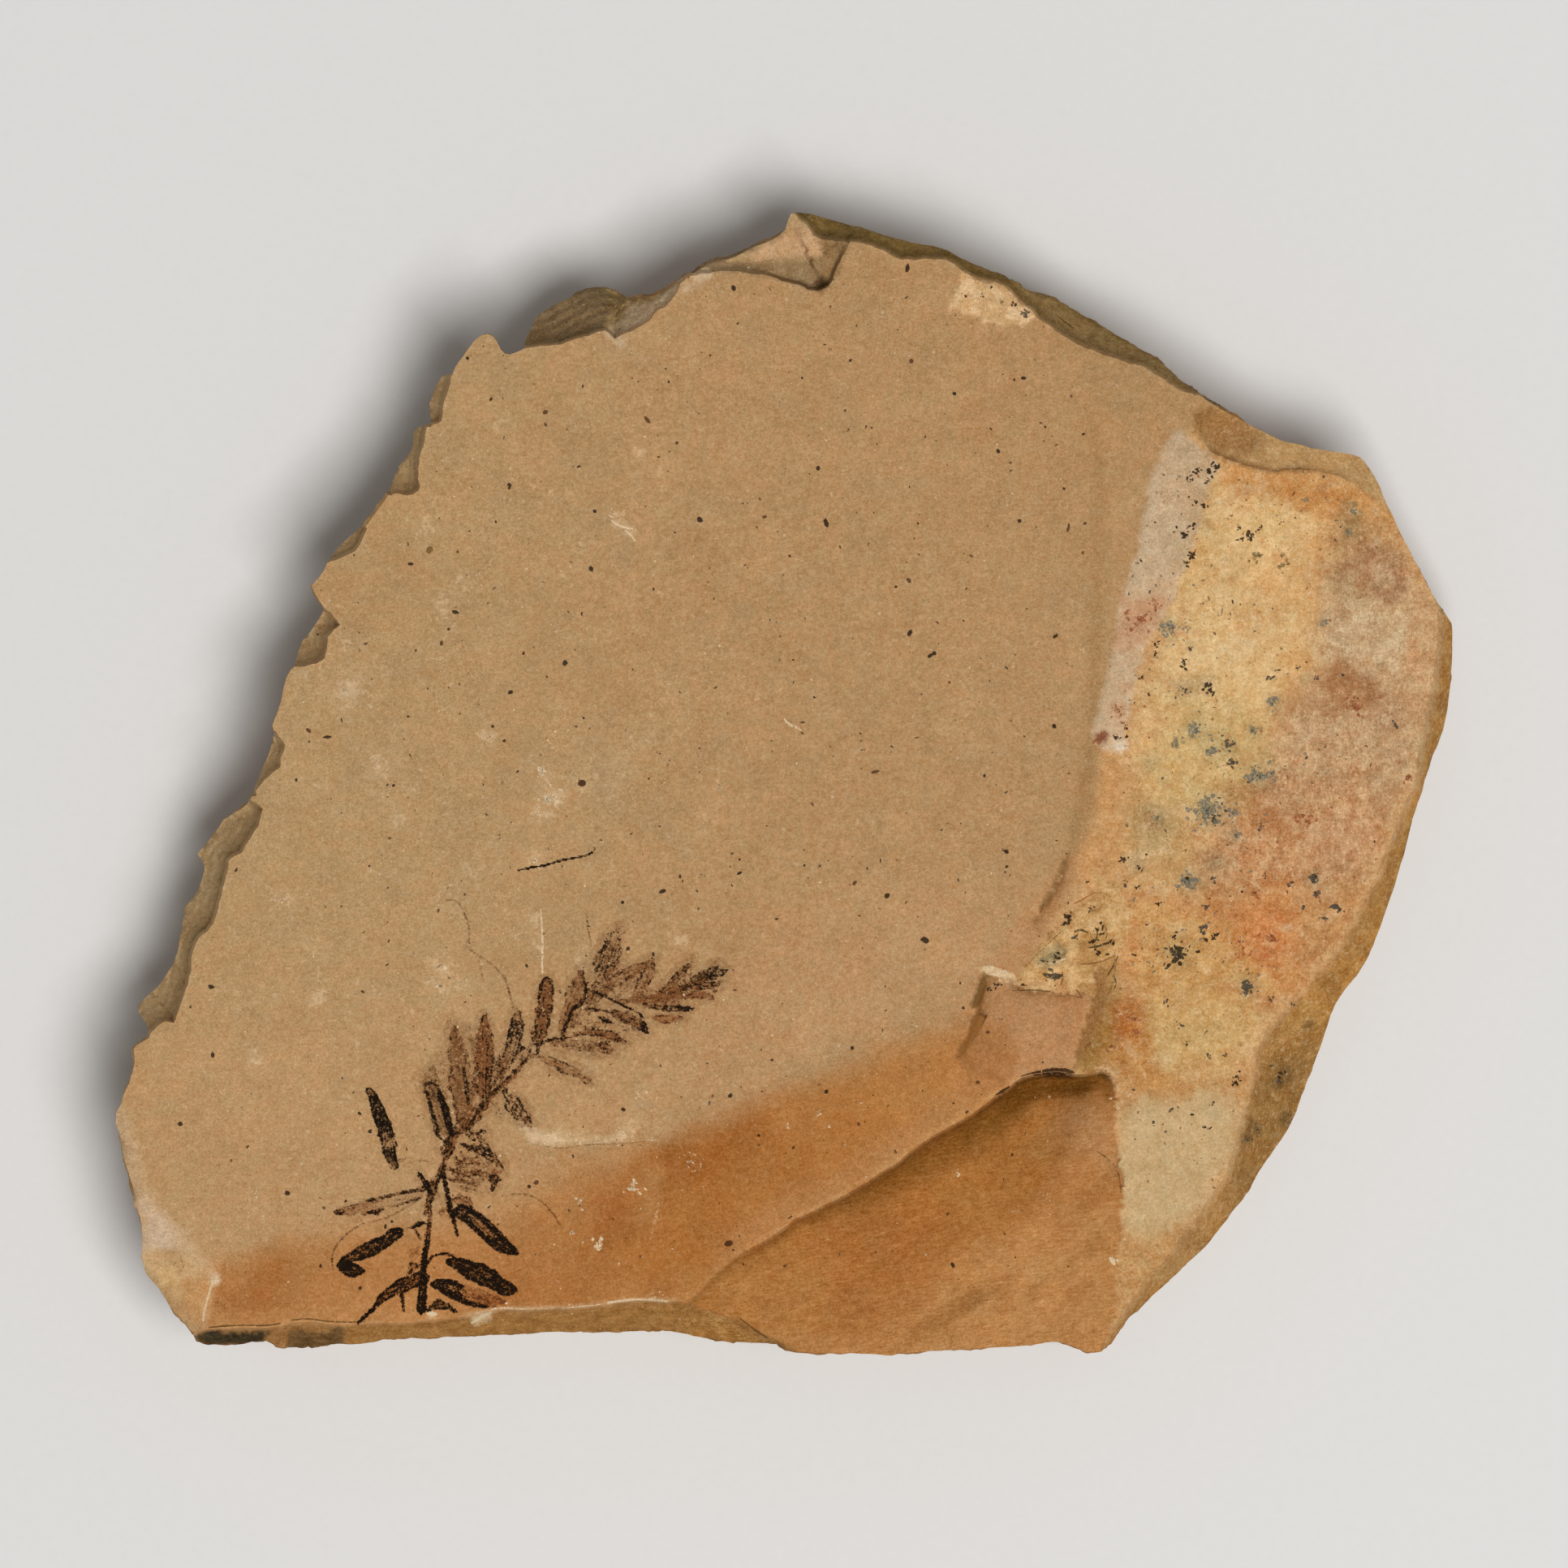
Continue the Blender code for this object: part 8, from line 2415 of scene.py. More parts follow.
    # N, lower left, with its long thin tip and a spur
    B([(520, 1566), (508, 1571), (492, 1578), (478, 1587), (467, 1598), (457, 1612),
       (440, 1629)],
      [(517, 1585), (501, 1591), (484, 1598), (476, 1602), (469, 1608), (459, 1617),
       (442, 1631)], 76, ragged=0.14, dark=lambda t: 0.58 + 0.2 * t, edge=0.35,
      brown=0.95, red=0.3)
    N([(494, 1592), (496, 1602), (498, 1616)], (5, 4, 3), 77, dark=0.8, edge=0.1, brown=0.95,
      red=0.1)


def crowded_parts(film):
    """Faint leaves between and under the clear ones, in the twig's upper half."""
    N = lambda *a, brown, **v: needle(film, *a, brown=0.82 * brown, **v)
    plain = dict(ragged=0.3, edge=0.26, red=0.3, haze=0.45)
    N([(698, 1266), (710, 1250), (722, 1232), (732, 1214)], (10, 15, 15, 9), 120, dark=0.24,
      brown=0.62, **plain)
    N([(724, 1252), (733, 1234), (742, 1219), (753, 1206)], (9, 13, 13, 8), 121, dark=0.20,
      brown=0.56, **plain)
    N([(757, 1238), (767, 1222), (777, 1207), (786, 1196)], (8, 12, 12, 7), 122, dark=0.18,
      brown=0.56, **plain)
    N([(702, 1260), (718, 1262), (736, 1261), (754, 1262)], (8, 11, 10, 6), 123, dark=0.22,
      brown=0.50, **plain)
    N([(606, 1352), (610, 1332), (617, 1314), (626, 1300)], (14, 18, 17, 12), 124, dark=0.34,
      brown=0.70, **plain)
    N([(600, 1356), (590, 1338), (586, 1316)], (12, 14, 9), 125, dark=0.30, brown=0.66, **plain)
    N([(556, 1402), (549, 1380), (546, 1352), (545, 1322), (544, 1300)], (7, 9, 10, 9, 5), 126,
      dark=0.14, brown=0.46, **plain)
    N([(566, 1300), (560, 1282), (556, 1266), (554, 1254)], (9, 9, 7, 4), 127, dark=0.16,
      brown=0.48, **plain)
    N([(640, 1312), (648, 1298), (655, 1284)], (8, 9, 5), 128, dark=0.26, brown=0.56, **plain)
    N([(664, 1290), (660, 1276), (661, 1262)], (10, 11, 8), 129, dark=0.42, brown=0.8, **plain)
    N([(722, 1234), (734, 1226), (748, 1222), (762, 1222)], (8, 10, 9, 5), 130, dark=0.24,
      brown=0.60, **plain)
    N([(741, 1206), (750, 1190), (757, 1174), (764, 1160)], (12, 16, 16, 8), 131, dark=0.24,
      brown=0.42, **plain)
    N([(733, 1190), (742, 1176), (752, 1164), (760, 1156)], (9, 11, 9, 5), 132, dark=0.34,
      brown=0.38, **plain)
    N([(802, 1236), (815, 1233), (832, 1230), (846, 1225)], (10, 15, 15, 9), 133, dark=0.18,
      brown=0.52, **plain)
    N([(838, 1224), (854, 1216), (869, 1208), (884, 1202)], (10, 15, 15, 8), 134, dark=0.30,
      brown=0.54, **plain)
    N([(822, 1218), (834, 1210), (844, 1200), (851, 1190)], (9, 13, 12, 7), 135, dark=0.28,
      brown=0.50, **plain)
    N([(762, 1262), (774, 1266), (784, 1270)], (9, 11, 7), 136, dark=0.24, brown=0.46, **plain)
    N([(742, 1274), (756, 1276), (768, 1282)], (9, 12, 9), 137, dark=0.36, brown=0.60, **plain)
    N([(736, 1288), (746, 1290), (756, 1295)], (8, 11, 7), 138, dark=0.40, brown=0.52, **plain)
    N([(576, 1388), (586, 1374), (594, 1360)], (14, 16, 13), 139, dark=0.28, brown=0.72, **plain)
    N([(560, 1396), (570, 1386), (578, 1372)], (12, 12, 8), 140, dark=0.36, brown=0.70, **plain)
    N([(606, 1358), (612, 1366), (616, 1378)], (7, 8, 5), 141, dark=0.30, brown=0.50, **plain)
    N([(566, 1420), (582, 1424), (598, 1432), (610, 1440)], (8, 12, 12, 7), 142, dark=0.20,
      brown=0.48, ragged=0.3, edge=0.2, red=0.6)
    N([(556, 1444), (576, 1450), (596, 1456)], (8, 12, 9), 143, dark=0.26, brown=0.50,
      ragged=0.3, edge=0.2, red=0.3)
    N([(570, 1394), (584, 1400), (596, 1404)], (9, 12, 7), 146, dark=0.42, brown=0.56, **plain)
    N([(588, 1398), (596, 1408), (604, 1416)], (6, 9, 6), 147, dark=0.40, brown=0.50, **plain)
    N([(562, 1446), (572, 1462), (590, 1468)], (7, 9, 6), 148, dark=0.34, brown=0.46, **plain)
    N([(560, 1424), (566, 1434), (576, 1438)], (8, 9, 5), 149, dark=0.34, brown=0.60, **plain)
    N([(540, 1490), (552, 1494), (566, 1502)], (8, 9, 6), 150, dark=0.22, brown=0.36, **plain)
    N([(536, 1450), (534, 1466), (530, 1482)], (12, 13, 9), 144, dark=0.26, brown=0.62,
      ragged=0.3, edge=0.2, red=0.5)
    N([(590, 1292), (594, 1276), (598, 1262), (598, 1248)], (12, 14, 11, 5), 145, dark=0.28,
      brown=0.62, **plain)


def loose_leaf_parts(film):
    blade(film, [(451, 1345), (454, 1353), (457, 1363), (460, 1378), (465, 1391),
                 (469, 1404), (473, 1420), (481, 1437)],
          [(460, 1344), (465, 1350), (470, 1361), (476, 1372), (482, 1384), (486, 1398),
           (488, 1415), (490, 1434)], 90, ragged=0.22,
          dark=lambda t: (0.78 - 0.42 * np.exp(-((t - 0.70) / 0.09) ** 2)
                           - 0.3 * np.exp(-(t / 0.06) ** 2) - 0.22 * ease((t - 0.84) / 0.1)),
          edge=0.40, brown=lambda t: 0.85 - 0.25 * np.exp(-((t - 0.70) / 0.09) ** 2), red=0.1,
          haze=0.25)
    needle(film, [(490, 1432), (495, 1430), (500, 1427)], (4, 6, 3), 91, ragged=0.35,
           dark=0.4, edge=0.1, brown=0.6, red=0.1)


def needle_fragment_parts(film):
    needle(film, [(637, 1073), (649, 1070), (661, 1068), (672, 1066), (689, 1061),
                  (703, 1058), (718, 1055)], (1.6, 2.6, 3.2, 3.2, 3.2, 3.4, 2.4), 92,
           dark=0.86, edge=0.1, brown=0.95, red=0.0)
    needle(film, [(712, 1057), (722, 1054), (731, 1049), (733, 1044)], (2.4, 3.0, 3.0, 1.6),
           93, dark=0.88, edge=0.1, brown=0.95, red=0.0)


def rootlet_parts(film):
    soft = dict(dark=0.30, edge=0.05, brown=0.72, red=0.10)
    needle(film, [(549, 1109), (562, 1110), (570, 1121), (577, 1138), (579, 1155)],
           (1.8, 2, 2, 2, 1.4), 94, **soft)
    needle(film, [(579, 1155), (575, 1166), (587, 1176), (604, 1187), (614, 1196),
                  (623, 1208), (629, 1227), (633, 1243), (643, 1248)],
           (1.4, 1.8, 2.2, 2.4, 2.6, 2.6, 2.6, 2.8, 2.2), 95, **soft)
    needle(film, [(590, 1183), (593, 1197), (597, 1214)], (1.4, 1.4, 1), 96, **soft)
    needle(film, [(577, 1258), (580, 1271), (586, 1284)], (1.2, 1.4, 1), 97, **soft)
    needle(film, [(723, 1126), (725, 1146), (729, 1168)], (1.4, 1.6, 1.2), 98,
           dark=0.3, edge=0.05, brown=0.8, red=-0.4)
    faint = dict(dark=0.20, edge=0.05, brown=0.66, red=-0.2)
    needle(film, [(411, 1567), (409, 1552), (414, 1536), (428, 1520), (447, 1509),
                  (475, 1501), (494, 1492), (514, 1480)], (3, 3.4, 3, 2.6, 2, 2, 2, 1.6),
           99, **faint)
    needle(film, [(629, 1472), (650, 1472), (665, 1479), (676, 1489), (686, 1502),
                  (695, 1516)], (1.8, 2, 2.6, 3, 3, 2), 100, **faint)
    needle(film, [(497, 1437), (510, 1431), (526, 1431), (540, 1436)], (1.4, 1.6, 1.6, 1.2),
           101, **faint)
    needle(film, [(476, 1399), (494, 1402), (512, 1401)], (1.2, 1.4, 1), 102, **faint)


def film_border(n, fine, ragged=0.9):
    """1 on a film, falling to 0 at its ragged border and at its two ends."""
    across = n.math("ABSOLUTE", n.attribute("across"))
    border = n.math("ADD", across, n.math("MULTIPLY", n.math("SUBTRACT", fine, 0.5), ragged))
    run = n.attribute("run")
    ends = n.math("MINIMUM", n.span(run, 0.0, 0.05), n.span(run, 0.95, 1.0, 1.0, 0.0))
    return across, n.math("MULTIPLY", n.span(border, 0.80, 1.0, 1.0, 0.0), ends)


def carbon(n, stone):
    """Carbon film: black where thick, brown or red-brown where thin, and gone where
    it has flaked away from the stone."""
    place = stone.outputs["Place"]
    plain = stone.outputs["Colour"]
    grain = n.noise(place, 4.4, 3.0, 0.62)
    blotch = n.noise(place, 1.7, 4.0, 0.64)
    vein = n.add("ShaderNodeCombineXYZ")
    n.put(vein.inputs[0], n.math("MULTIPLY", n.attribute("vein_along"), 0.62))
    n.put(vein.inputs[1], n.math("MULTIPLY", n.attribute("vein_across"), 3.2))
    n.put(vein.inputs[2], n.attribute("vein_of"))
    streak = n.noise(vein.outputs[0], 1.0, 4.0, 0.66)
    speck = n.math("MULTIPLY_ADD", grain, 0.36, n.math("MULTIPLY", blotch, 0.26))
    speck = n.math("MULTIPLY_ADD", streak, 0.38, speck)
    uneven = n.math("MULTIPLY", n.math("SUBTRACT", speck, 0.5), 2.6)     # about -0.3 to 0.3
    dark, brown = n.attribute("film_dark"), n.attribute("film_brown")
    # haze of iron round the leaves
    haze = n.math("MULTIPLY", n.attribute("film_haze"),
                  n.span(n.math("MULTIPLY_ADD", blotch, 0.6, n.math("MULTIPLY", grain, 0.4)),
                         0.34, 0.60))
    plain_side = n.mix(haze, plain, n.mix(1.0, plain, (0.44, 0.33, 0.27), "MULTIPLY"))
    # thin film, lighter and darker along the leaf
    red = n.attribute("film_red")
    tone = n.mix(n.math("MAXIMUM", red, 0.0), (0.37, 0.27, 0.20), (0.50, 0.26, 0.17))
    tone = n.mix(n.math("MAXIMUM", n.math("MULTIPLY", red, -1.0), 0.0), tone, (0.40, 0.41, 0.28))
    film = n.mix(1.0, plain, tone, "MULTIPLY")
    thin = n.math("ADD", n.math("MULTIPLY", brown, 0.98), n.math("MULTIPLY", uneven, 0.95))
    thin = n.math("MULTIPLY", n.span(thin, 0.12, 0.86), n.span(brown, 0.03, 0.20))
    colour = n.mix(thin, plain_side, film)
    # dark flecks in it
    deep = n.math("ADD", uneven, n.math("MULTIPLY", dark, 0.16))
    deep = n.math("MULTIPLY", n.span(deep, 0.05, 0.27, 0.0, 0.85), n.span(brown, 0.18, 0.50))
    colour = n.mix(deep, colour, (0.030, 0.016, 0.009))
    # thick carbon
    black = n.math("MULTIPLY_ADD", dark, 0.87, n.math("MULTIPLY", uneven, 1.25))
    black = n.math("MULTIPLY", n.span(black, 0.36, 0.60), n.span(dark, 0.06, 0.24))
    ink = n.mix(n.span(grain, 0.35, 0.72), (0.002, 0.001, 0.001), (0.015, 0.009, 0.004))
    colour = n.mix(n.math("MULTIPLY", black, 0.97), colour, ink)
    # flaked off to the bare stone
    gone = n.math("MULTIPLY", n.span(n.noise(place, 2.3, 4.0, 0.68), 0.565, 0.625),
                  n.span(dark, 0.62, 0.85, 0.84, 0.30))
    colour = n.mix(gone, colour, plain_side)
    rough = n.span(black, 0.0, 1.0, 0.88, 0.70, smooth=False)
    height = n.math("ADD", n.math("MULTIPLY", stone.outputs["Height"], 0.7),
                    n.math("MULTIPLY", black, 0.45))
    return colour, rough, height


CARBON = surface("carbon_film", carbon, specular=0.03)
for name, box, parts in (
        ("fossil_twig", (396, 1118, 916, 1644), (crowded_parts, twig_parts)),
        ("loose_leaf", (436, 1330, 516, 1450), (loose_leaf_parts,)),
        ("needle_fragment", (625, 1032, 746, 1084), (needle_fragment_parts,)),
        ("rootlets", (398, 1096, 746, 1580), (rootlet_parts,))):
    sheet = Sheet(*box)
    for part in parts:
        part(sheet)
    sheet.build(name, CARBON)


# Specks and stains: ink colours, as 0-255 display values.
BLACK, BROWN, SLATE, BLUE_GREY = (36, 28, 20), (88, 58, 36), (74, 70, 60), (112, 112, 100)
OLIVE, GREEN_GREY, RUST, PALE, CREAM = ((104, 90, 58), (122, 118, 94), (150, 84, 50),
                                        (222, 196, 158), (206, 172, 130))
STAIN_VALUES = ("across", "run", "cover", "ink_r", "ink_g", "ink_b")


def blot(film, px, py, radius, ink, seed, stretch=1.0, angle=0.0, wobble=0.28, cover=0.8,
         thick=0.03):
    """A small uneven spot of film, its radius in pixels."""
    count = 9 if radius < 2.6 else 14 if radius < 7 else 22
    turn = np.linspace(0, 2 * math.pi, count, endpoint=False)
    ring = np.stack([np.cos(turn), np.sin(turn)], 1)
    wave = 1 + wobble * fractal(ring * 0.9 + seed * 3.7, 0.8, 3, 500)
    shape = ring * wave[:, None] * radius * PX * [stretch, 1 / math.sqrt(stretch)]
    c, s = math.cos(math.radians(angle)), math.sin(math.radians(angle))
    shape = shape @ np.array([[c, s], [-s, c]])
    centre = mm([(px, py)])[0]
    shares = (0.55, 0.86, 1.0) if radius < 7 else (0.35, 0.65, 0.86, 1.0)
    rings = [centre + shape * share for share in shares]
    plan = np.concatenate([[centre], *rings, [centre]])
    across = np.concatenate([[0.0]] + [np.full(count, s) for s in shares] + [[0.0]])
    lift = np.where(across < 0.9, thick + 0.02, -0.03)
    lift[-1] = -0.12
    k = np.arange(count)
    nxt = (k + 1) % count
    made = [np.stack([np.zeros(count, int), 1 + k, 1 + nxt], 1)]
    for r in range(len(shares) - 1):
        a, b = 1 + r * count, 1 + (r + 1) * count
        made += [np.stack([a + k, b + k, b + nxt], 1), np.stack([a + k, b + nxt, a + nxt], 1)]
    last = 1 + (len(shares) - 1) * count
    made.append(np.stack([np.full(count, len(plan) - 1), last + nxt, last + k], 1))
    r, g, b = rgb(*ink)
    film.add(plan, lift, np.concatenate(made), across=across, run=0.5, cover=cover,
             ink_r=r, ink_g=g, ink_b=b)


def streak(film, line, width, ink, seed, cover=0.7, ragged=0.3):
    r, g, b = rgb(*ink)
    ribbon(film, line, width, seed, ragged=ragged, cover=cover, ink_r=r, ink_g=g, ink_b=b)


def cluster(film, px, py, spread, count, size, ink, seed, cover=0.75, stretch=1.0, angle=0.0):
    """Many small spots scattered round a place, thickest in its middle."""
    rng = np.random.default_rng(seed)
    for k in range(count):
        away, turn = abs(rng.normal()) * spread * 0.55, rng.random() * 2 * math.pi
        dx, dy = away * math.cos(turn) * stretch, away * math.sin(turn) / stretch
        c, s = math.cos(math.radians(angle)), math.sin(math.radians(angle))
        radius = size * (0.45 + 0.9 * rng.random() ** 1.6)
        blot(film, px + c * dx + s * dy, py - s * dx + c * dy, radius, ink, seed * 50 + k,
             1 + 0.8 * rng.random(), 180 * rng.random(), 0.45, cover)


def stain(n, stone):
    """Ink of one colour, broken up into grains, over the stone."""
    place = stone.outputs["Place"]
    fine = n.noise(place, 6.0, 3.0, 0.62)
    coarse = n.noise(place, 2.4, 3.0, 0.62)
    speck = n.math("ADD", n.math("MULTIPLY", fine, 0.5), n.math("MULTIPLY", coarse, 0.5))
    _, keep = film_border(n, fine, 0.8)
    cover = n.math("MULTIPLY", n.math("SUBTRACT", n.attribute("cover"), 0.5), 0.62)
    keep = n.math("MULTIPLY", n.span(n.math("ADD", speck, cover), 0.44, 0.56), keep)
    ink = n.add("ShaderNodeCombineColor")
    for k, label in enumerate(("ink_r", "ink_g", "ink_b")):
        n.put(ink.inputs[k], n.attribute(label))
    shade = n.add("ShaderNodeVectorMath", operation="SCALE")
    n.put(shade.inputs[0], ink.outputs[0])
    n.put(shade.inputs["Scale"], n.span(fine, 0.3, 0.7, 0.75, 1.25, smooth=False))
    colour = n.mix(n.math("MULTIPLY", keep, 0.92), stone.outputs["Colour"], shade.outputs[0])
    return colour, n.span(keep, 0.0, 1.0, 0.88, 0.74, smooth=False), stone.outputs["Height"]


STAIN = surface("stain_film", stain, specular=0.04)

# Carbon specks on the bedding plane: pixel place, radius in pixels.
SPECKS = [
    (576, 441, 2), (605, 492, 2), (672, 523, 2), (834, 546, 2.2), (627, 597, 2),
    (733, 630, 2.4), (862, 640, 3.4), (942, 637, 2.2), (1008, 577, 2.8), (904, 355, 3),
    (909, 398, 1.8), (875, 438, 1.6), (611, 643, 1.6), (1023, 431, 2), (1048, 444, 2),
    (1123, 445, 2.8), (1176, 485, 2.4), (1261, 466, 2.6), (1250, 468, 1.6), (1320, 488, 1.8),
    (1041, 506, 1.8), (1045, 530, 2), (1067, 526, 1.6), (1074, 527, 1.4), (1335, 535, 1.8),
    (1288, 526, 1.6), (1230, 556, 2.4), (1245, 570, 1.8), (1256, 642, 2.4), (1035, 674, 1.8),
    (1131, 645, 1.6), (1337, 645, 2), (1317, 647, 1.6), (1311, 602, 1.8), (506, 695, 2.6),
    (564, 680, 1.8), (728, 701, 3), (561, 754, 3), (553, 775, 2), (544, 793, 2.6),
    (696, 817, 3.2), (629, 853, 2.6), (645, 805, 1.8), (674, 834, 1.6), (503, 883, 1.8),
    (607, 895, 2), (719, 884, 1.8), (380, 900, 2.6), (621, 913, 2), (365, 961, 2),
    (485, 968, 2), (480, 1033, 1.8), (291, 1072, 2), (260, 1137, 2), (260, 1216, 3),
    (235, 1241, 1.8), (262, 1300, 2.8), (447, 1222, 1.8), (455, 1067, 1.6), (540, 1122, 2),
    (222, 1385, 3), (354, 1470, 3), (305, 1413, 1.8), (285, 1430, 1.8), (443, 1372, 2.2),
    (456, 1394, 2.6), (395, 1560, 2.2), (1120, 715, 2.6), (1104, 723, 1.8), (1121, 780, 3),
    (1151, 805, 3), (1197, 685, 2), (1300, 784, 2.6), (1299, 895, 2.8), (1240, 823, 2),
    (1170, 841, 1.8), (1213, 956, 2), (1001, 991, 2), (1010, 1067, 1.8), (1053, 1088, 2.6),
    (1093, 1104, 3.4), (1139, 1158, 4), (911, 1076, 2.4), (1334, 681, 1.8), (973, 685, 1.6),
    (1050, 1291, 2.4), (1018, 1345, 2.6), (1058, 1385, 2), (951, 1306, 1.8), (978, 1414, 2),
    (935, 1399, 2), (935, 1411, 1.6), (898, 1532, 4), (1168, 1496, 2), (1174, 1559, 2.6),
    (967, 1560, 2), (1247, 1423, 1.8), (706, 1425, 1.8), (768, 1367, 2.6), (661, 1457, 3),
    (652, 1462, 2.4), (1240, 1049, 2.6), (1340, 1087, 2), (573, 1102, 1.6), (649, 1190, 2),
    (767, 1112, 2.2), (900, 1350, 2.6), (878, 1351, 1.8), (1236, 1047, 2), (1240, 1068, 1.8),
    (1187, 1242, 2), (1205, 1334, 2.4), (1217, 1272, 2), (774, 1169, 2.8), (805, 1176, 2.2),
    (399, 1488, 2), (426, 1480, 1.8), (475, 1511, 2.2), (483, 1505, 2), (881, 1221, 2.4),
    (444, 1587, 2.4), (690, 1222, 2), (702, 1216, 2), (670, 1150, 1.6), (838, 1080, 1.8),
]
DASHES = [                       # pixel place, half length and half width, angle
    (798, 518, 6, 2.2, -50), (1018, 645, 7, 2.4, -75), (403, 908, 6, 1.6, 5),
    (1079, 951, 6, 1.6, 10), (817, 1098, 5, 2.4, 15), (1118, 330, 6, 2.5, 80),
    (1316, 652, 4, 1.4, 70), (628, 600, 4, 1.4, 60), (529, 678, 5.5, 3.6, 60),
    (672, 508, 3.4, 2.6, 20), (713, 575, 3, 1.3, 20), (1146, 808, 4, 2, 40), (989, 890, 3, 1.2, 0),
]
carbon_specks = Film(*STAIN_VALUES)
for k, (px, py, radius) in enumerate(SPECKS):
    small = radius < 2.2
    blot(carbon_specks, px, py, radius * 1.10, BROWN if k % 4 == 3 else BLACK, 1000 + k,
         1 + 0.5 * ((k * 7) % 5) / 5, (k * 53) % 180, cover=0.62 if small else 0.78)
for k, (px, py, long, wide, angle) in enumerate(DASHES):
    blot(carbon_specks, px, py, math.sqrt(long * wide),
         (122, 90, 50) if k == 8 else BLACK if k % 3 else BROWN, 1200 + k,
         math.sqrt(long / wide), angle, cover=0.8)
blot(carbon_specks, 717, 965, 4.8, (62, 30, 18), 1300, 1.1, 0, 0.15, 0.95, 0.08)
blot(carbon_specks, 898, 1532, 4.4, (70, 36, 20), 1301, 1.2, 30, 0.2, 0.9, 0.06)
rng = np.random.default_rng(5)
for k in range(420):             # fine dust of carbon, thinner to the right
    px, py = 380 + 940 * rng.random(), 350 + 1230 * rng.random()
    blot(carbon_specks, px, py, 0.9 + 0.9 * rng.random() ** 2,
         (BLACK, BROWN, SLATE)[int(3 * rng.random())], 1400 + k,
         1 + rng.random(), 180 * rng.random(), cover=0.62)
carbon_specks.build("carbon_specks", STAIN)

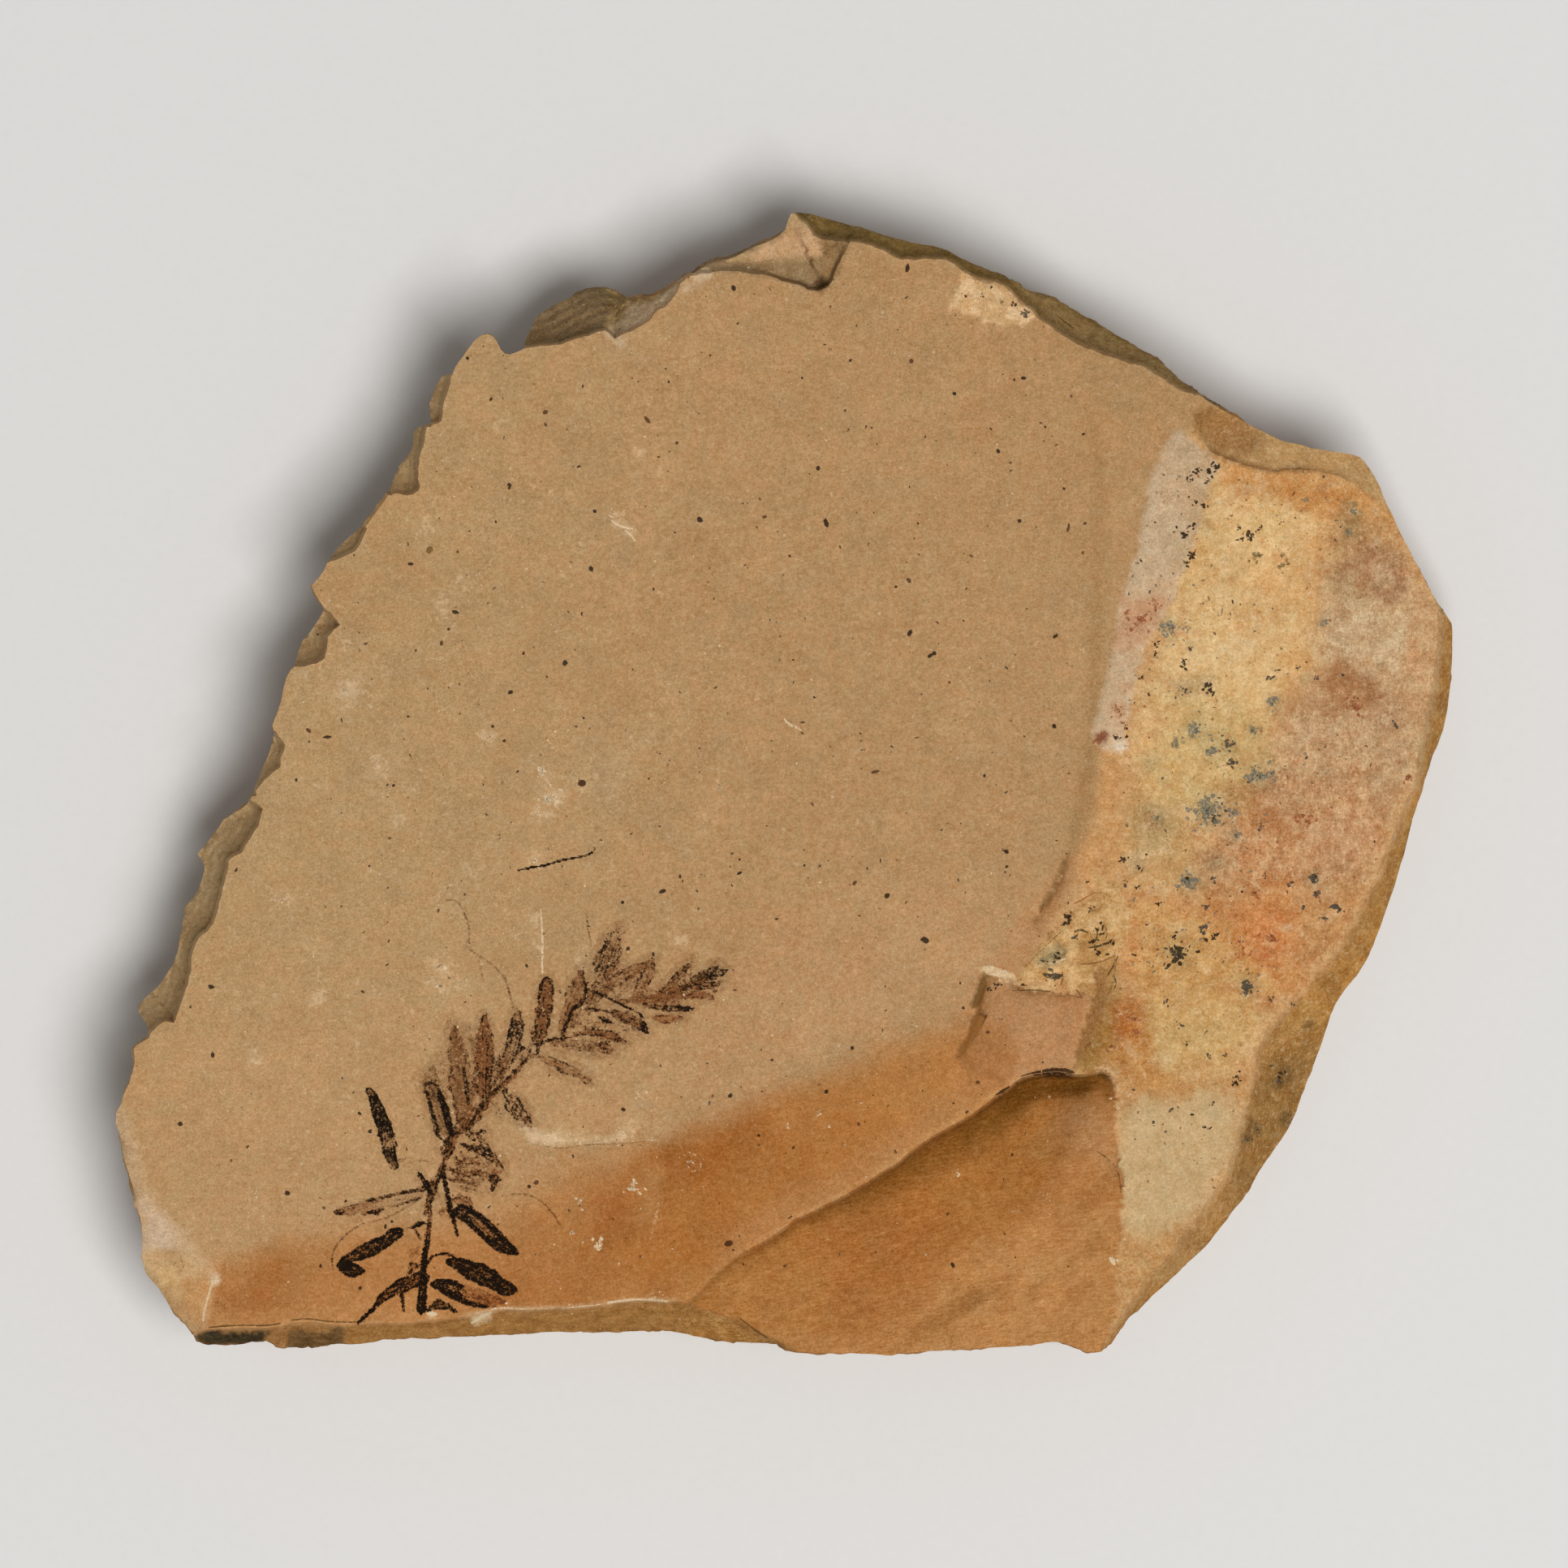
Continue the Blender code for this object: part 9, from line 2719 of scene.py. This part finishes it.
# Manganese on the weathered face: pixel place, spread, number, size, ink.
MANGANESE = [
    (1464, 590, 7, 5, 2.2, BLACK), (1473, 580, 8, 7, 2.4, BLACK), (1490, 582, 9, 10, 3.2, BLACK),
    (1499, 576, 7, 7, 3, BLACK), (1487, 593, 5, 4, 2.2, BLACK), (1472, 619, 4, 3, 2.2, BLACK),
    (1484, 623, 5, 5, 3, BLACK), (1466, 648, 7, 7, 2.6, BLACK), (1458, 657, 8, 9, 2.8, BLACK),
    (1467, 684, 7, 8, 3, BLACK), (1462, 694, 5, 4, 2.2, BLACK), (1538, 661, 14, 12, 3, BLACK),
    (1552, 652, 6, 4, 2, BLACK), (1528, 650, 6, 5, 2, SLATE), (1423, 793, 6, 5, 2.4, BLACK),
    (1423, 804, 5, 4, 2.2, BLACK), (1406, 835, 6, 5, 2.4, BLACK), (1459, 818, 7, 7, 2.4, BLACK),
    (1466, 800, 5, 4, 2.4, SLATE), (1491, 849, 10, 11, 3.4, BLACK), (1461, 850, 9, 8, 2, SLATE),
    (1375, 908, 6, 6, 2.2, BLACK), (1386, 897, 5, 5, 2.4, BLACK), (1388, 908, 4, 4, 2, BLACK),
    (1549, 685, 9, 4, 3.4, OLIVE), (1584, 695, 9, 4, 3.4, OLIVE), (1608, 615, 6, 3, 3, GREEN_GREY),
    (1668, 629, 8, 4, 3.4, GREEN_GREY), (1660, 655, 6, 3, 3, GREEN_GREY),
    (1443, 772, 9, 8, 4.6, BLUE_GREY), (1462, 772, 6, 4, 3, GREEN_GREY),
    (1474, 900, 9, 8, 4, BLUE_GREY), (1450, 917, 9, 6, 3, GREEN_GREY),
    (1495, 924, 9, 7, 3.4, BLUE_GREY), (1512, 916, 8, 6, 3, SLATE), (1518, 940, 9, 7, 3.4, SLATE),
    (1543, 900, 8, 6, 3, BLUE_GREY), (1610, 933, 6, 4, 2.4, SLATE), (1632, 765, 6, 4, 3, BLUE_GREY),
    (1599, 823, 5, 3, 2.4, SLATE), (1620, 836, 6, 4, 2.4, SLATE), (1655, 832, 5, 3, 2.2, SLATE),
    (1719, 893, 6, 3, 2.4, SLATE), (1567, 836, 6, 4, 2.6, SLATE), (1568, 866, 8, 6, 3.4, BLUE_GREY),
    (1425, 1008, 8, 4, 3, GREEN_GREY), (1554, 1019, 7, 4, 2.6, SLATE),
    (1550, 957, 13, 16, 4.6, BLUE_GREY), (1488, 997, 20, 28, 4.2, BLUE_GREY),
    (1495, 1010, 16, 16, 3, SLATE), (1520, 1003, 8, 6, 3, BLUE_GREY),
    (1523, 1030, 8, 6, 3, BLUE_GREY), (1464, 1086, 12, 14, 4.4, BLUE_GREY),
    (1462, 1082, 8, 6, 3, BLACK), (1495, 1082, 6, 4, 2.6, SLATE), (1619, 1082, 8, 9, 4, SLATE),
    (1621, 1080, 4, 3, 2.6, BLACK), (1587, 1092, 6, 4, 2.6, SLATE),
    (1622, 1102, 7, 6, 3.4, (96, 80, 66)), (1650, 1120, 8, 7, 3.8, SLATE),
    (1606, 1119, 5, 4, 2.6, SLATE), (1633, 1132, 6, 4, 2.4, SLATE), (1486, 1117, 6, 4, 2.8, SLATE),
    (1427, 1115, 5, 3, 2.4, BLACK), (1482, 1143, 8, 6, 3, SLATE), (1495, 1156, 8, 6, 3, BLACK),
    (1453, 1174, 19, 26, 3.8, BLACK), (1446, 1176, 12, 10, 3.4, SLATE),
    (1386, 1060, 7, 6, 2.8, BLACK), (1402, 1067, 5, 4, 2.2, BLACK), (1402, 1093, 5, 4, 2.2, BLACK),
    (1388, 1090, 6, 4, 2.4, SLATE), (1447, 1153, 6, 4, 2.4, BLACK),
    (1537, 1216, 13, 14, 3.8, SLATE), (1438, 1237, 6, 4, 2.4, SLATE),
    (1565, 1232, 6, 4, 2.4, SLATE), (1594, 1239, 6, 4, 2.6, SLATE), (1398, 1255, 7, 4, 3, RUST),
    (1400, 1270, 6, 4, 2.6, RUST), (1342, 1287, 5, 3, 2.4, RUST), (1369, 1290, 6, 4, 2.6, RUST),
    (1455, 1263, 6, 4, 2.4, SLATE), (1462, 1287, 6, 4, 2.4, BLACK), (1488, 1300, 6, 3, 2.4, SLATE),
    (1510, 1300, 5, 3, 2.4, SLATE), (1523, 1333, 9, 8, 3, BLACK), (1580, 1323, 9, 9, 3.4, BLACK),
    (1574, 1332, 6, 5, 3, SLATE), (1495, 1358, 5, 3, 2.4, SLATE), (1443, 1367, 5, 3, 2.2, SLATE),
    (1467, 1373, 5, 3, 2.4, BLACK), (1422, 1384, 5, 3, 2, SLATE), (1485, 1388, 5, 3, 2.4, BLACK),
    (1546, 1395, 9, 6, 2.6, SLATE), (1533, 1405, 6, 4, 2.2, SLATE), (1358, 909, 8, 6, 3, RUST),
    (1406, 762, 14, 9, 3.4, RUST), (1379, 876, 9, 6, 3, RUST), (1424, 742, 8, 5, 2.6, RUST),
    (1568, 1157, 8, 6, 3, RUST), (1735, 957, 7, 4, 3, RUST), (1546, 1100, 9, 6, 2.6, RUST),
    (1668, 870, 18, 10, 3, RUST), (1604, 1010, 18, 10, 2.6, RUST), (1530, 1170, 16, 8, 2.6, RUST),
    (1317, 1130, 8, 8, 2.8, BLACK), (1312, 1138, 6, 5, 2.4, BLACK), (1325, 1155, 7, 5, 2.4, SLATE),
    (1300, 1180, 8, 6, 2.4, BLACK), (1285, 1185, 6, 5, 2.2, BLACK), (1298, 1201, 8, 6, 3, SLATE),
    (1227, 1213, 5, 4, 2.6, BLACK), (1260, 1213, 7, 5, 2.2, BLACK), (1352, 1145, 9, 8, 2.6, BLACK),
    (1347, 1161, 7, 6, 2.4, BLACK), (1355, 1174, 7, 6, 2.6, BLACK), (1371, 1163, 8, 6, 2.4, BLACK),
    (1345, 1120, 7, 5, 2.4, SLATE), (1190, 366, 4, 3, 1.8, BLACK), (1209, 364, 4, 3, 1.8, BLACK),
    (1222, 355, 4, 3, 1.8, BLACK), (1262, 386, 8, 8, 2.8, SLATE), (1251, 376, 5, 3, 2.2, BLACK),
    (1235, 372, 5, 3, 1.8, SLATE), (1219, 1217, 4, 3, 2.4, BLACK),
]
manganese = Film(*STAIN_VALUES)
for k, (px, py, spread, count, size, ink) in enumerate(MANGANESE):
    soft = ink in (BLUE_GREY, GREEN_GREY, OLIVE, RUST)
    cluster(manganese, px, py, spread * (1.15 if soft else 1.0),
            round(count * (2.6 if soft else 1.6)), size * (0.74 if soft else 0.66), ink, 3000 + k,
            cover=0.56 if soft else 0.78)
WEATHERED = np.concatenate([TURN, TURN_AROUND])
for k in range(1700):            # fine manganese dust, thickest on the yellow ground
    px, py = 1380 + 330 * rng.random(), 580 + 900 * rng.random()
    where = mm([(px, py)])
    thick = noise(where, 5.0, 601)[0] * 0.5 + 0.5
    if rng.random() > thick**2 * (1.4 if px < 1600 and py < 1200 else 0.5):
        continue
    if not inside(where, WEATHERED)[0]:
        continue
    blot(manganese, px, py, 0.8 + 1.2 * rng.random() ** 2,
         (SLATE, OLIVE, GREEN_GREY, BLUE_GREY, RUST, BLACK)[int(6 * rng.random() ** 1.2)], 7000 + k,
         1 + rng.random(), 180 * rng.random(), 0.4, 0.60)
manganese.build("manganese_spots", STAIN)

# Fine open cracks, and painted shadows in gaps and below edges: dark lines with a ragged border.
cracks = Film(*STAIN_VALUES)
CRACK_AND_SHADOW_BROWN, GAP_SHADOW_DARK = (104, 70, 34), (52, 34, 18)
for k, (line, width, ink, cover) in enumerate([
        # painted shadow along the break of slope across the scar's floor
        ([(1222, 1578), (1209, 1588), (1196, 1598), (1180, 1600), (1164, 1606)],
         (1.2, 2.4, 3, 2, 1.4), CRACK_AND_SHADOW_BROWN, 0.34),
        ([(1162, 1608), (1150, 1617), (1139, 1630), (1126, 1638), (1113, 1652), (1100, 1660)],
         (1.6, 3.8, 2.6, 4, 3, 1.4), CRACK_AND_SHADOW_BROWN, 0.30),
        # painted shadow line below the shallow lip
        ([(664, 1411), (690, 1415), (712, 1412), (735, 1410), (770, 1409), (804, 1405)],
         (1, 2, 1.6, 2, 1.6, 1), (132, 94, 54), 0.5),
        ([(1350, 1417), (1361, 1425), (1373, 1436), (1379, 1450), (1381, 1472)],
         (1.4, 2.6, 2.2, 2.2, 1.2), CRACK_AND_SHADOW_BROWN, 0.52),
        # painted shadows in the gaps under the facet's edge
        ([(1256, 1327), (1268, 1323), (1284, 1320), (1298, 1319), (1311, 1319), (1326, 1322)],
         (1.6, 2.8, 4.8, 7.0, 6.6, 1.6), GAP_SHADOW_DARK, 1.0),
        ([(1274, 1321), (1286, 1319), (1300, 1318), (1313, 1318), (1324, 1320)],
         (1.4, 3.6, 4.6, 4.4, 1.4), GAP_SHADOW_DARK, 1.0),
        ([(1272, 1325), (1286, 1323), (1300, 1322), (1312, 1322), (1322, 1323)],
         (1.4, 3.4, 4.4, 4.2, 1.4), GAP_SHADOW_DARK, 1.0),
        ([(1226, 1350), (1234, 1345), (1245, 1338)], (1.8, 5.4, 1.6), GAP_SHADOW_DARK, 1.0),
        # painted shadow line running down from the scar's left corner
        ([(910, 1623), (920, 1631), (934, 1641), (948, 1650)], (1.4, 2.8, 2.8, 1.4),
         CRACK_AND_SHADOW_BROWN, 0.66),
        ([(1189, 1372), (1194, 1368)], (4.4, 3.4), (84, 54, 24), 0.9),
        # painted shadow in the gap at the scar's upper right corner
        ([(1352, 1319), (1362, 1319), (1369, 1324)], (1.2, 2.4, 1.4), CRACK_AND_SHADOW_BROWN, 0.50),
        ([(1322, 1114), (1334, 1108), (1346, 1101), (1356, 1099)], (1.4, 2.2, 2.0, 1.2),
         (150, 94, 44), 0.60),
        ([(1349, 1141), (1352, 1150), (1350, 1160)], (1.8, 3.2, 1.6), (96, 84, 44), 0.62),
        ([(1360, 1138), (1364, 1148), (1362, 1160)], (1.4, 2.4, 1.4), (120, 84, 44), 0.56),
        ([(1330, 1188), (1346, 1187), (1362, 1183), (1374, 1177)], (1.4, 2.6, 2.4, 1.4),
         (134, 90, 48), 0.60),
        ([(1378, 1177), (1372, 1190), (1364, 1203)], (1.4, 3.0, 1.6), (92, 60, 30), 0.66),
        ([(1371, 1200), (1375, 1210), (1373, 1220)], (1.4, 2.8, 1.4), (84, 60, 34), 0.62),
        ([(1309, 1196), (1309, 1208), (1306, 1216)], (1.6, 2.6, 1.4), (120, 76, 40), 0.60),
        ([(1325, 1218), (1331, 1226), (1334, 1232)], (1.4, 3.0, 1.4), (124, 78, 46), 0.56),
        ([(1214, 1203), (1210, 1220), (1204, 1235), (1199, 1243)], (4, 9, 9, 3),
         (122, 86, 44), 0.72),
        ([(1210, 1250), (1203, 1264), (1192, 1284), (1181, 1303)], (11, 13, 10, 3),
         (146, 98, 50), 0.62),
        ([(1217, 1249), (1209, 1262), (1200, 1277), (1195, 1286)], (2, 3, 3, 1.4),
         (84, 52, 24), 0.8),
        ([(1197, 1281), (1189, 1292), (1180, 1303)], (2, 3.4, 1.6), (100, 64, 30), 0.72),
        ([(1246, 1221), (1270, 1220), (1296, 1222)], (1.2, 2, 1.2), (92, 64, 36), 0.6),
        ([(1304, 1223), (1322, 1227), (1336, 1230)], (1.2, 1.8, 1.2), (104, 70, 40), 0.5),
        ([(1284, 1199), (1292, 1202), (1302, 1203), (1311, 1201)], (2.4, 7, 8, 2.4),
         (50, 46, 34), 0.66),
        ([(1276, 1186), (1286, 1181), (1298, 1177), (1312, 1177)], (2, 7, 8, 3),
         (128, 118, 84), 0.56),
        ([(1322, 1148), (1332, 1146), (1342, 1150)], (2, 4, 2), (64, 58, 38), 0.6),
        ([(1340, 1168), (1352, 1166), (1364, 1162), (1372, 1156)], (1.6, 3.4, 3.4, 1.6),
         (52, 44, 26), 0.64),
        ([(254, 1636), (276, 1634), (300, 1633), (330, 1633), (348, 1630)],
         (1.4, 2.2, 1.8, 2.2, 1.4), (84, 66, 34), 0.66),
        ([(356, 1627), (380, 1625), (403, 1628), (430, 1629), (452, 1628)],
         (1.4, 2.2, 1.8, 2.2, 1.4), (96, 70, 36), 0.60),
        # painted shadow line down the right side of the crumbled rind
        ([(1372, 1168), (1374, 1190), (1370, 1214), (1360, 1238)], (2, 3, 3, 1.4),
         (120, 88, 50), 0.5),
        ([(1308, 1148), (1292, 1162), (1276, 1178), (1262, 1192)], (1.2, 1.8, 1.8, 1),
         (112, 78, 44), 0.5),
        ([(1190, 1590), (1216, 1581), (1244, 1577), (1270, 1580)], (1.2, 1.8, 1.6, 1.2),
         CRACK_AND_SHADOW_BROWN, 0.42),
        ([(1186, 1612), (1220, 1601), (1252, 1599)], (1.2, 1.8, 1.2), CRACK_AND_SHADOW_BROWN, 0.42),
        ([(255, 1518), (258, 1528), (252, 1536), (242, 1534)], (1.2, 1.6, 1.4, 1), CRACK_AND_SHADOW_BROWN, 0.4),
        ([(212, 1560), (222, 1552), (226, 1562), (218, 1570)], (1.4, 2, 2, 1.2), CRACK_AND_SHADOW_BROWN, 0.45),
        ([(380, 1506), (388, 1520), (392, 1536)], (1.2, 1.6, 1.2), CRACK_AND_SHADOW_BROWN, 0.36),
        ([(200, 1476), (201, 1490)], (1.2, 1.2), CRACK_AND_SHADOW_BROWN, 0.4)]):
    streak(cracks, line, width, ink, 650 + k, cover)
cracks.build("fine_cracks", STAIN)

# Pale flecks, crumbs and scratches on the bedding plane and in the scar.
pale = Film(*STAIN_VALUES)
for k, (line, width, cover) in enumerate([
        ([(752, 640), (760, 646), (770, 650), (782, 652)], (2, 3, 3, 2), 0.62),
        ([(768, 652), (778, 660), (783, 668)], (2, 3, 2), 0.6),
        ([(748, 634), (756, 638)], (2, 2), 0.6),
        ([(965, 884), (972, 892), (984, 898), (988, 902)], (2, 4, 4, 2), 0.60),
        ([(340, 1112), (350, 1106), (362, 1106)], (2, 4, 2), 0.5),
        ([(666, 1118), (668, 1150), (668, 1180), (668, 1216)], (2, 3, 3.4, 2), 0.55),
        ([(667, 1217), (664, 1226), (659, 1240), (655, 1252)], (2.4, 2.4, 2.4, 2), 0.85),
        ([(1118, 322), (1110, 400), (1104, 480), (1100, 560)], (1.6, 2, 2, 1.4), 0.34),
        ([(814, 1330), (806, 1340), (800, 1348)], (2, 3, 2), 0.42),
        ([(812, 1478), (808, 1500), (800, 1530)], (3, 5, 3), 0.42),
        ([(840, 1424), (850, 1420), (862, 1428), (862, 1440), (850, 1444)], (2, 3, 3, 3, 2), 0.45),
        ([(600, 1617), (612, 1612), (650, 1613), (684, 1612)], (2, 3.4, 1.4, 2), 0.52),
        ([(690, 1612), (716, 1610), (742, 1607)], (1.6, 2.6, 1.4), 0.56),
        ([(746, 1606), (764, 1603), (785, 1601), (805, 1602), (826, 1604)],
         (3.4, 4.2, 2.6, 3.8, 1.6), 0.60),
        ([(579, 1631), (588, 1626), (598, 1620), (607, 1617)], (3, 5, 5, 2), 0.75),
        ([(524, 1619), (531, 1618), (540, 1620)], (3, 6, 3), 0.8),
        ([(1209, 1194), (1220, 1194), (1234, 1198), (1248, 1204)], (5, 10, 10, 4), 0.56),
        ([(1214, 1199), (1228, 1201), (1242, 1206)], (3, 6, 3), 0.56),
        ([(1292, 1188), (1304, 1184), (1316, 1180)], (2, 4, 2), 0.52),
        ([(646, 1396), (656, 1400), (670, 1403), (686, 1407)], (6, 12, 12, 4), 0.50),
        ([(684, 1408), (706, 1410), (728, 1408), (744, 1408)], (3, 3, 2.4, 2), 0.42),
        ([(748, 1406), (760, 1402), (772, 1398)], (5, 9, 4), 0.42),
        ([(770, 1396), (780, 1386), (788, 1378)], (3, 4, 2), 0.42),
        ([(774, 1406), (792, 1405), (812, 1405)], (2.4, 2, 1.4), 0.42),
        ([(262, 1576), (258, 1592), (252, 1612), (250, 1630)], (3, 3, 3.4, 2.4), 0.62),
        ([(1366, 1548), (1371, 1554), (1374, 1560)], (3, 6, 3), 0.8),
        ([(1262, 326), (1300, 321), (1340, 322), (1368, 327)], (1.4, 1.8, 1.6, 1.2), 0.36)]):
    streak(pale, line, width, PALE if cover > 0.5 else CREAM, 700 + k, cover)
for k, (px, py, spread, count, size, cover) in enumerate([
        (668, 950, 12, 9, 2.6, 0.6), (676, 985, 16, 16, 3, 0.62), (664, 1002, 10, 7, 2.4, 0.6),
        (660, 1060, 14, 8, 2.2, 0.5), (425, 850, 10, 6, 3, 0.5), (350, 1110, 9, 5, 2.6, 0.5),
        (542, 1190, 9, 6, 3, 0.5), (540, 1216, 8, 6, 2.8, 0.5), (780, 1462, 12, 12, 2.8, 0.62),
        (735, 1535, 10, 9, 2.6, 0.62), (705, 1520, 8, 6, 2.4, 0.6), (715, 1480, 8, 6, 2.4, 0.6),
        (850, 1430, 13, 10, 2, 0.5), (1010, 1370, 8, 5, 2, 0.45), (970, 1390, 7, 4, 1.8, 0.45),
        (1040, 1410, 6, 4, 1.8, 0.45), (1180, 1446, 5, 3, 2, 0.6), (600, 700, 60, 26, 2.4, 0.40),
        (560, 800, 60, 26, 2.6, 0.40), (700, 900, 60, 22, 2.4, 0.40), (430, 1000, 60, 18, 2.4, 0.38),
        (900, 700, 120, 22, 2, 0.36), (800, 500, 90, 18, 2, 0.36), (600, 560, 60, 16, 2.2, 0.38),
        (1100, 800, 100, 20, 1.8, 0.36), (630, 1150, 50, 14, 2.2, 0.42), (317, 1474, 8, 5, 2.2, 0.5),
        (790, 1350, 14, 9, 2, 0.45), (762, 1397, 12, 12, 2.0, 0.5), (668, 1400, 16, 14, 2.2, 0.5), (716, 1404, 16, 9, 1.8, 0.45),
        (800, 1404, 12, 6, 1.6, 0.45), (700, 1610, 50, 12, 1.6, 0.5), (800, 1600, 20, 9, 1.8, 0.55),
        (620, 1616, 16, 8, 2.0, 0.55), (588, 1628, 10, 8, 2.2, 0.6), (1040, 1380, 30, 8, 1.8, 0.4),
        (1372, 1552, 6, 5, 2.4, 0.8), (1236, 1199, 10, 8, 2.4, 0.6), (1390, 1350, 16, 6, 2.2, 0.5),
        (265, 1578, 7, 6, 2.6, 0.75), (1290, 1470, 50, 10, 1.8, 0.42), (548, 1412, 20, 8, 2, 0.45)]):
    cluster(pale, px, py, spread, count, size, PALE, 5000 + k, cover)
for k in range(500):             # pale silt grains all over the bedding plane
    px, py = 300 + 1040 * rng.random(), 320 + 1280 * rng.random()
    if k % 6 and py > np.interp(px, [300, 620, 850, 1250], [1540, 1400, 1350, 1230]):
        continue                 # few in the orange band and the scar
    blot(pale, px, py, 0.9 + 0.9 * rng.random() ** 2, (PALE, CREAM)[k % 2], 9000 + k,
         1 + 0.6 * rng.random(), 180 * rng.random(), cover=0.55)
pale.build("pale_flecks", STAIN)


# ---------------------------------------------------------------- floor, light, camera
def area_light(name, position, size, power, target=(0.0, 0.0, 0.0), colour=(1.0, 1.0, 1.0)):
    data = bpy.data.lights.new(name, "AREA")
    data.shape = "SQUARE"
    data.size = size
    data.energy = power
    data.color = colour
    light = bpy.data.objects.new(name, data)
    light.location = position
    light.rotation_euler = (Vector(target) - Vector(position)).to_track_quat("-Z", "Y").to_euler()
    bpy.context.scene.collection.objects.link(light)
    return light


def floor_finish():
    material = bpy.data.materials.new("pale_floor")
    material.use_nodes = True
    n = Nodes(material.node_tree)
    shader = material.node_tree.nodes["Principled BSDF"]
    where = n.add("ShaderNodeTexCoord").outputs["Object"]
    grain = n.noise(where, 900.0, 3.0, 0.6)
    n.put(shader.inputs["Base Color"], n.mix(grain, (0.74, 0.73, 0.71), (0.78, 0.77, 0.75)))
    n.put(shader.inputs["Roughness"], n.span(grain, 0.0, 1.0, 0.72, 0.86, smooth=False))
    return material


half = 1.6
floor_mesh = bpy.data.meshes.new("floor")
floor_mesh.from_pydata([(-half, -half, -0.0002), (half, -half, -0.0002),
                        (half, half, -0.0002), (-half, half, -0.0002)], [], [(0, 1, 2, 3)])
floor_mesh.materials.append(floor_finish())
floor = bpy.data.objects.new("floor", floor_mesh)
bpy.context.scene.collection.objects.link(floor)

area_light("overhead_softbox", (0.50, -0.62, 2.65), 1.1, 60.0, (0.0, 0.0, 0.02))

world = bpy.data.worlds.new("studio")
world.use_nodes = True
world.node_tree.nodes["Background"].inputs["Color"].default_value = (1.0, 1.0, 1.0, 1.0)
world.node_tree.nodes["Background"].inputs["Strength"].default_value = 0.22
scene = bpy.context.scene
scene.world = world
scene.view_settings.view_transform = "Standard"
scene.view_settings.look = "None"
scene.view_settings.exposure = 0.0

# The eye is straight above the middle of the picture, EYE above the bedding plane.
camera_data = bpy.data.cameras.new("camera")
camera_data.sensor_width = 36.0
camera_data.lens = 36.0 * EYE / (2 * MID * PX)
camera = bpy.data.objects.new("camera", camera_data)
camera.location = (-CENTRE[0] * 0.001, -CENTRE[1] * 0.001, (THICK + EYE) * 0.001)
camera.rotation_euler = (0.0, 0.0, 0.0)
scene.collection.objects.link(camera)
scene.camera = camera

bpy.context.view_layer.update()
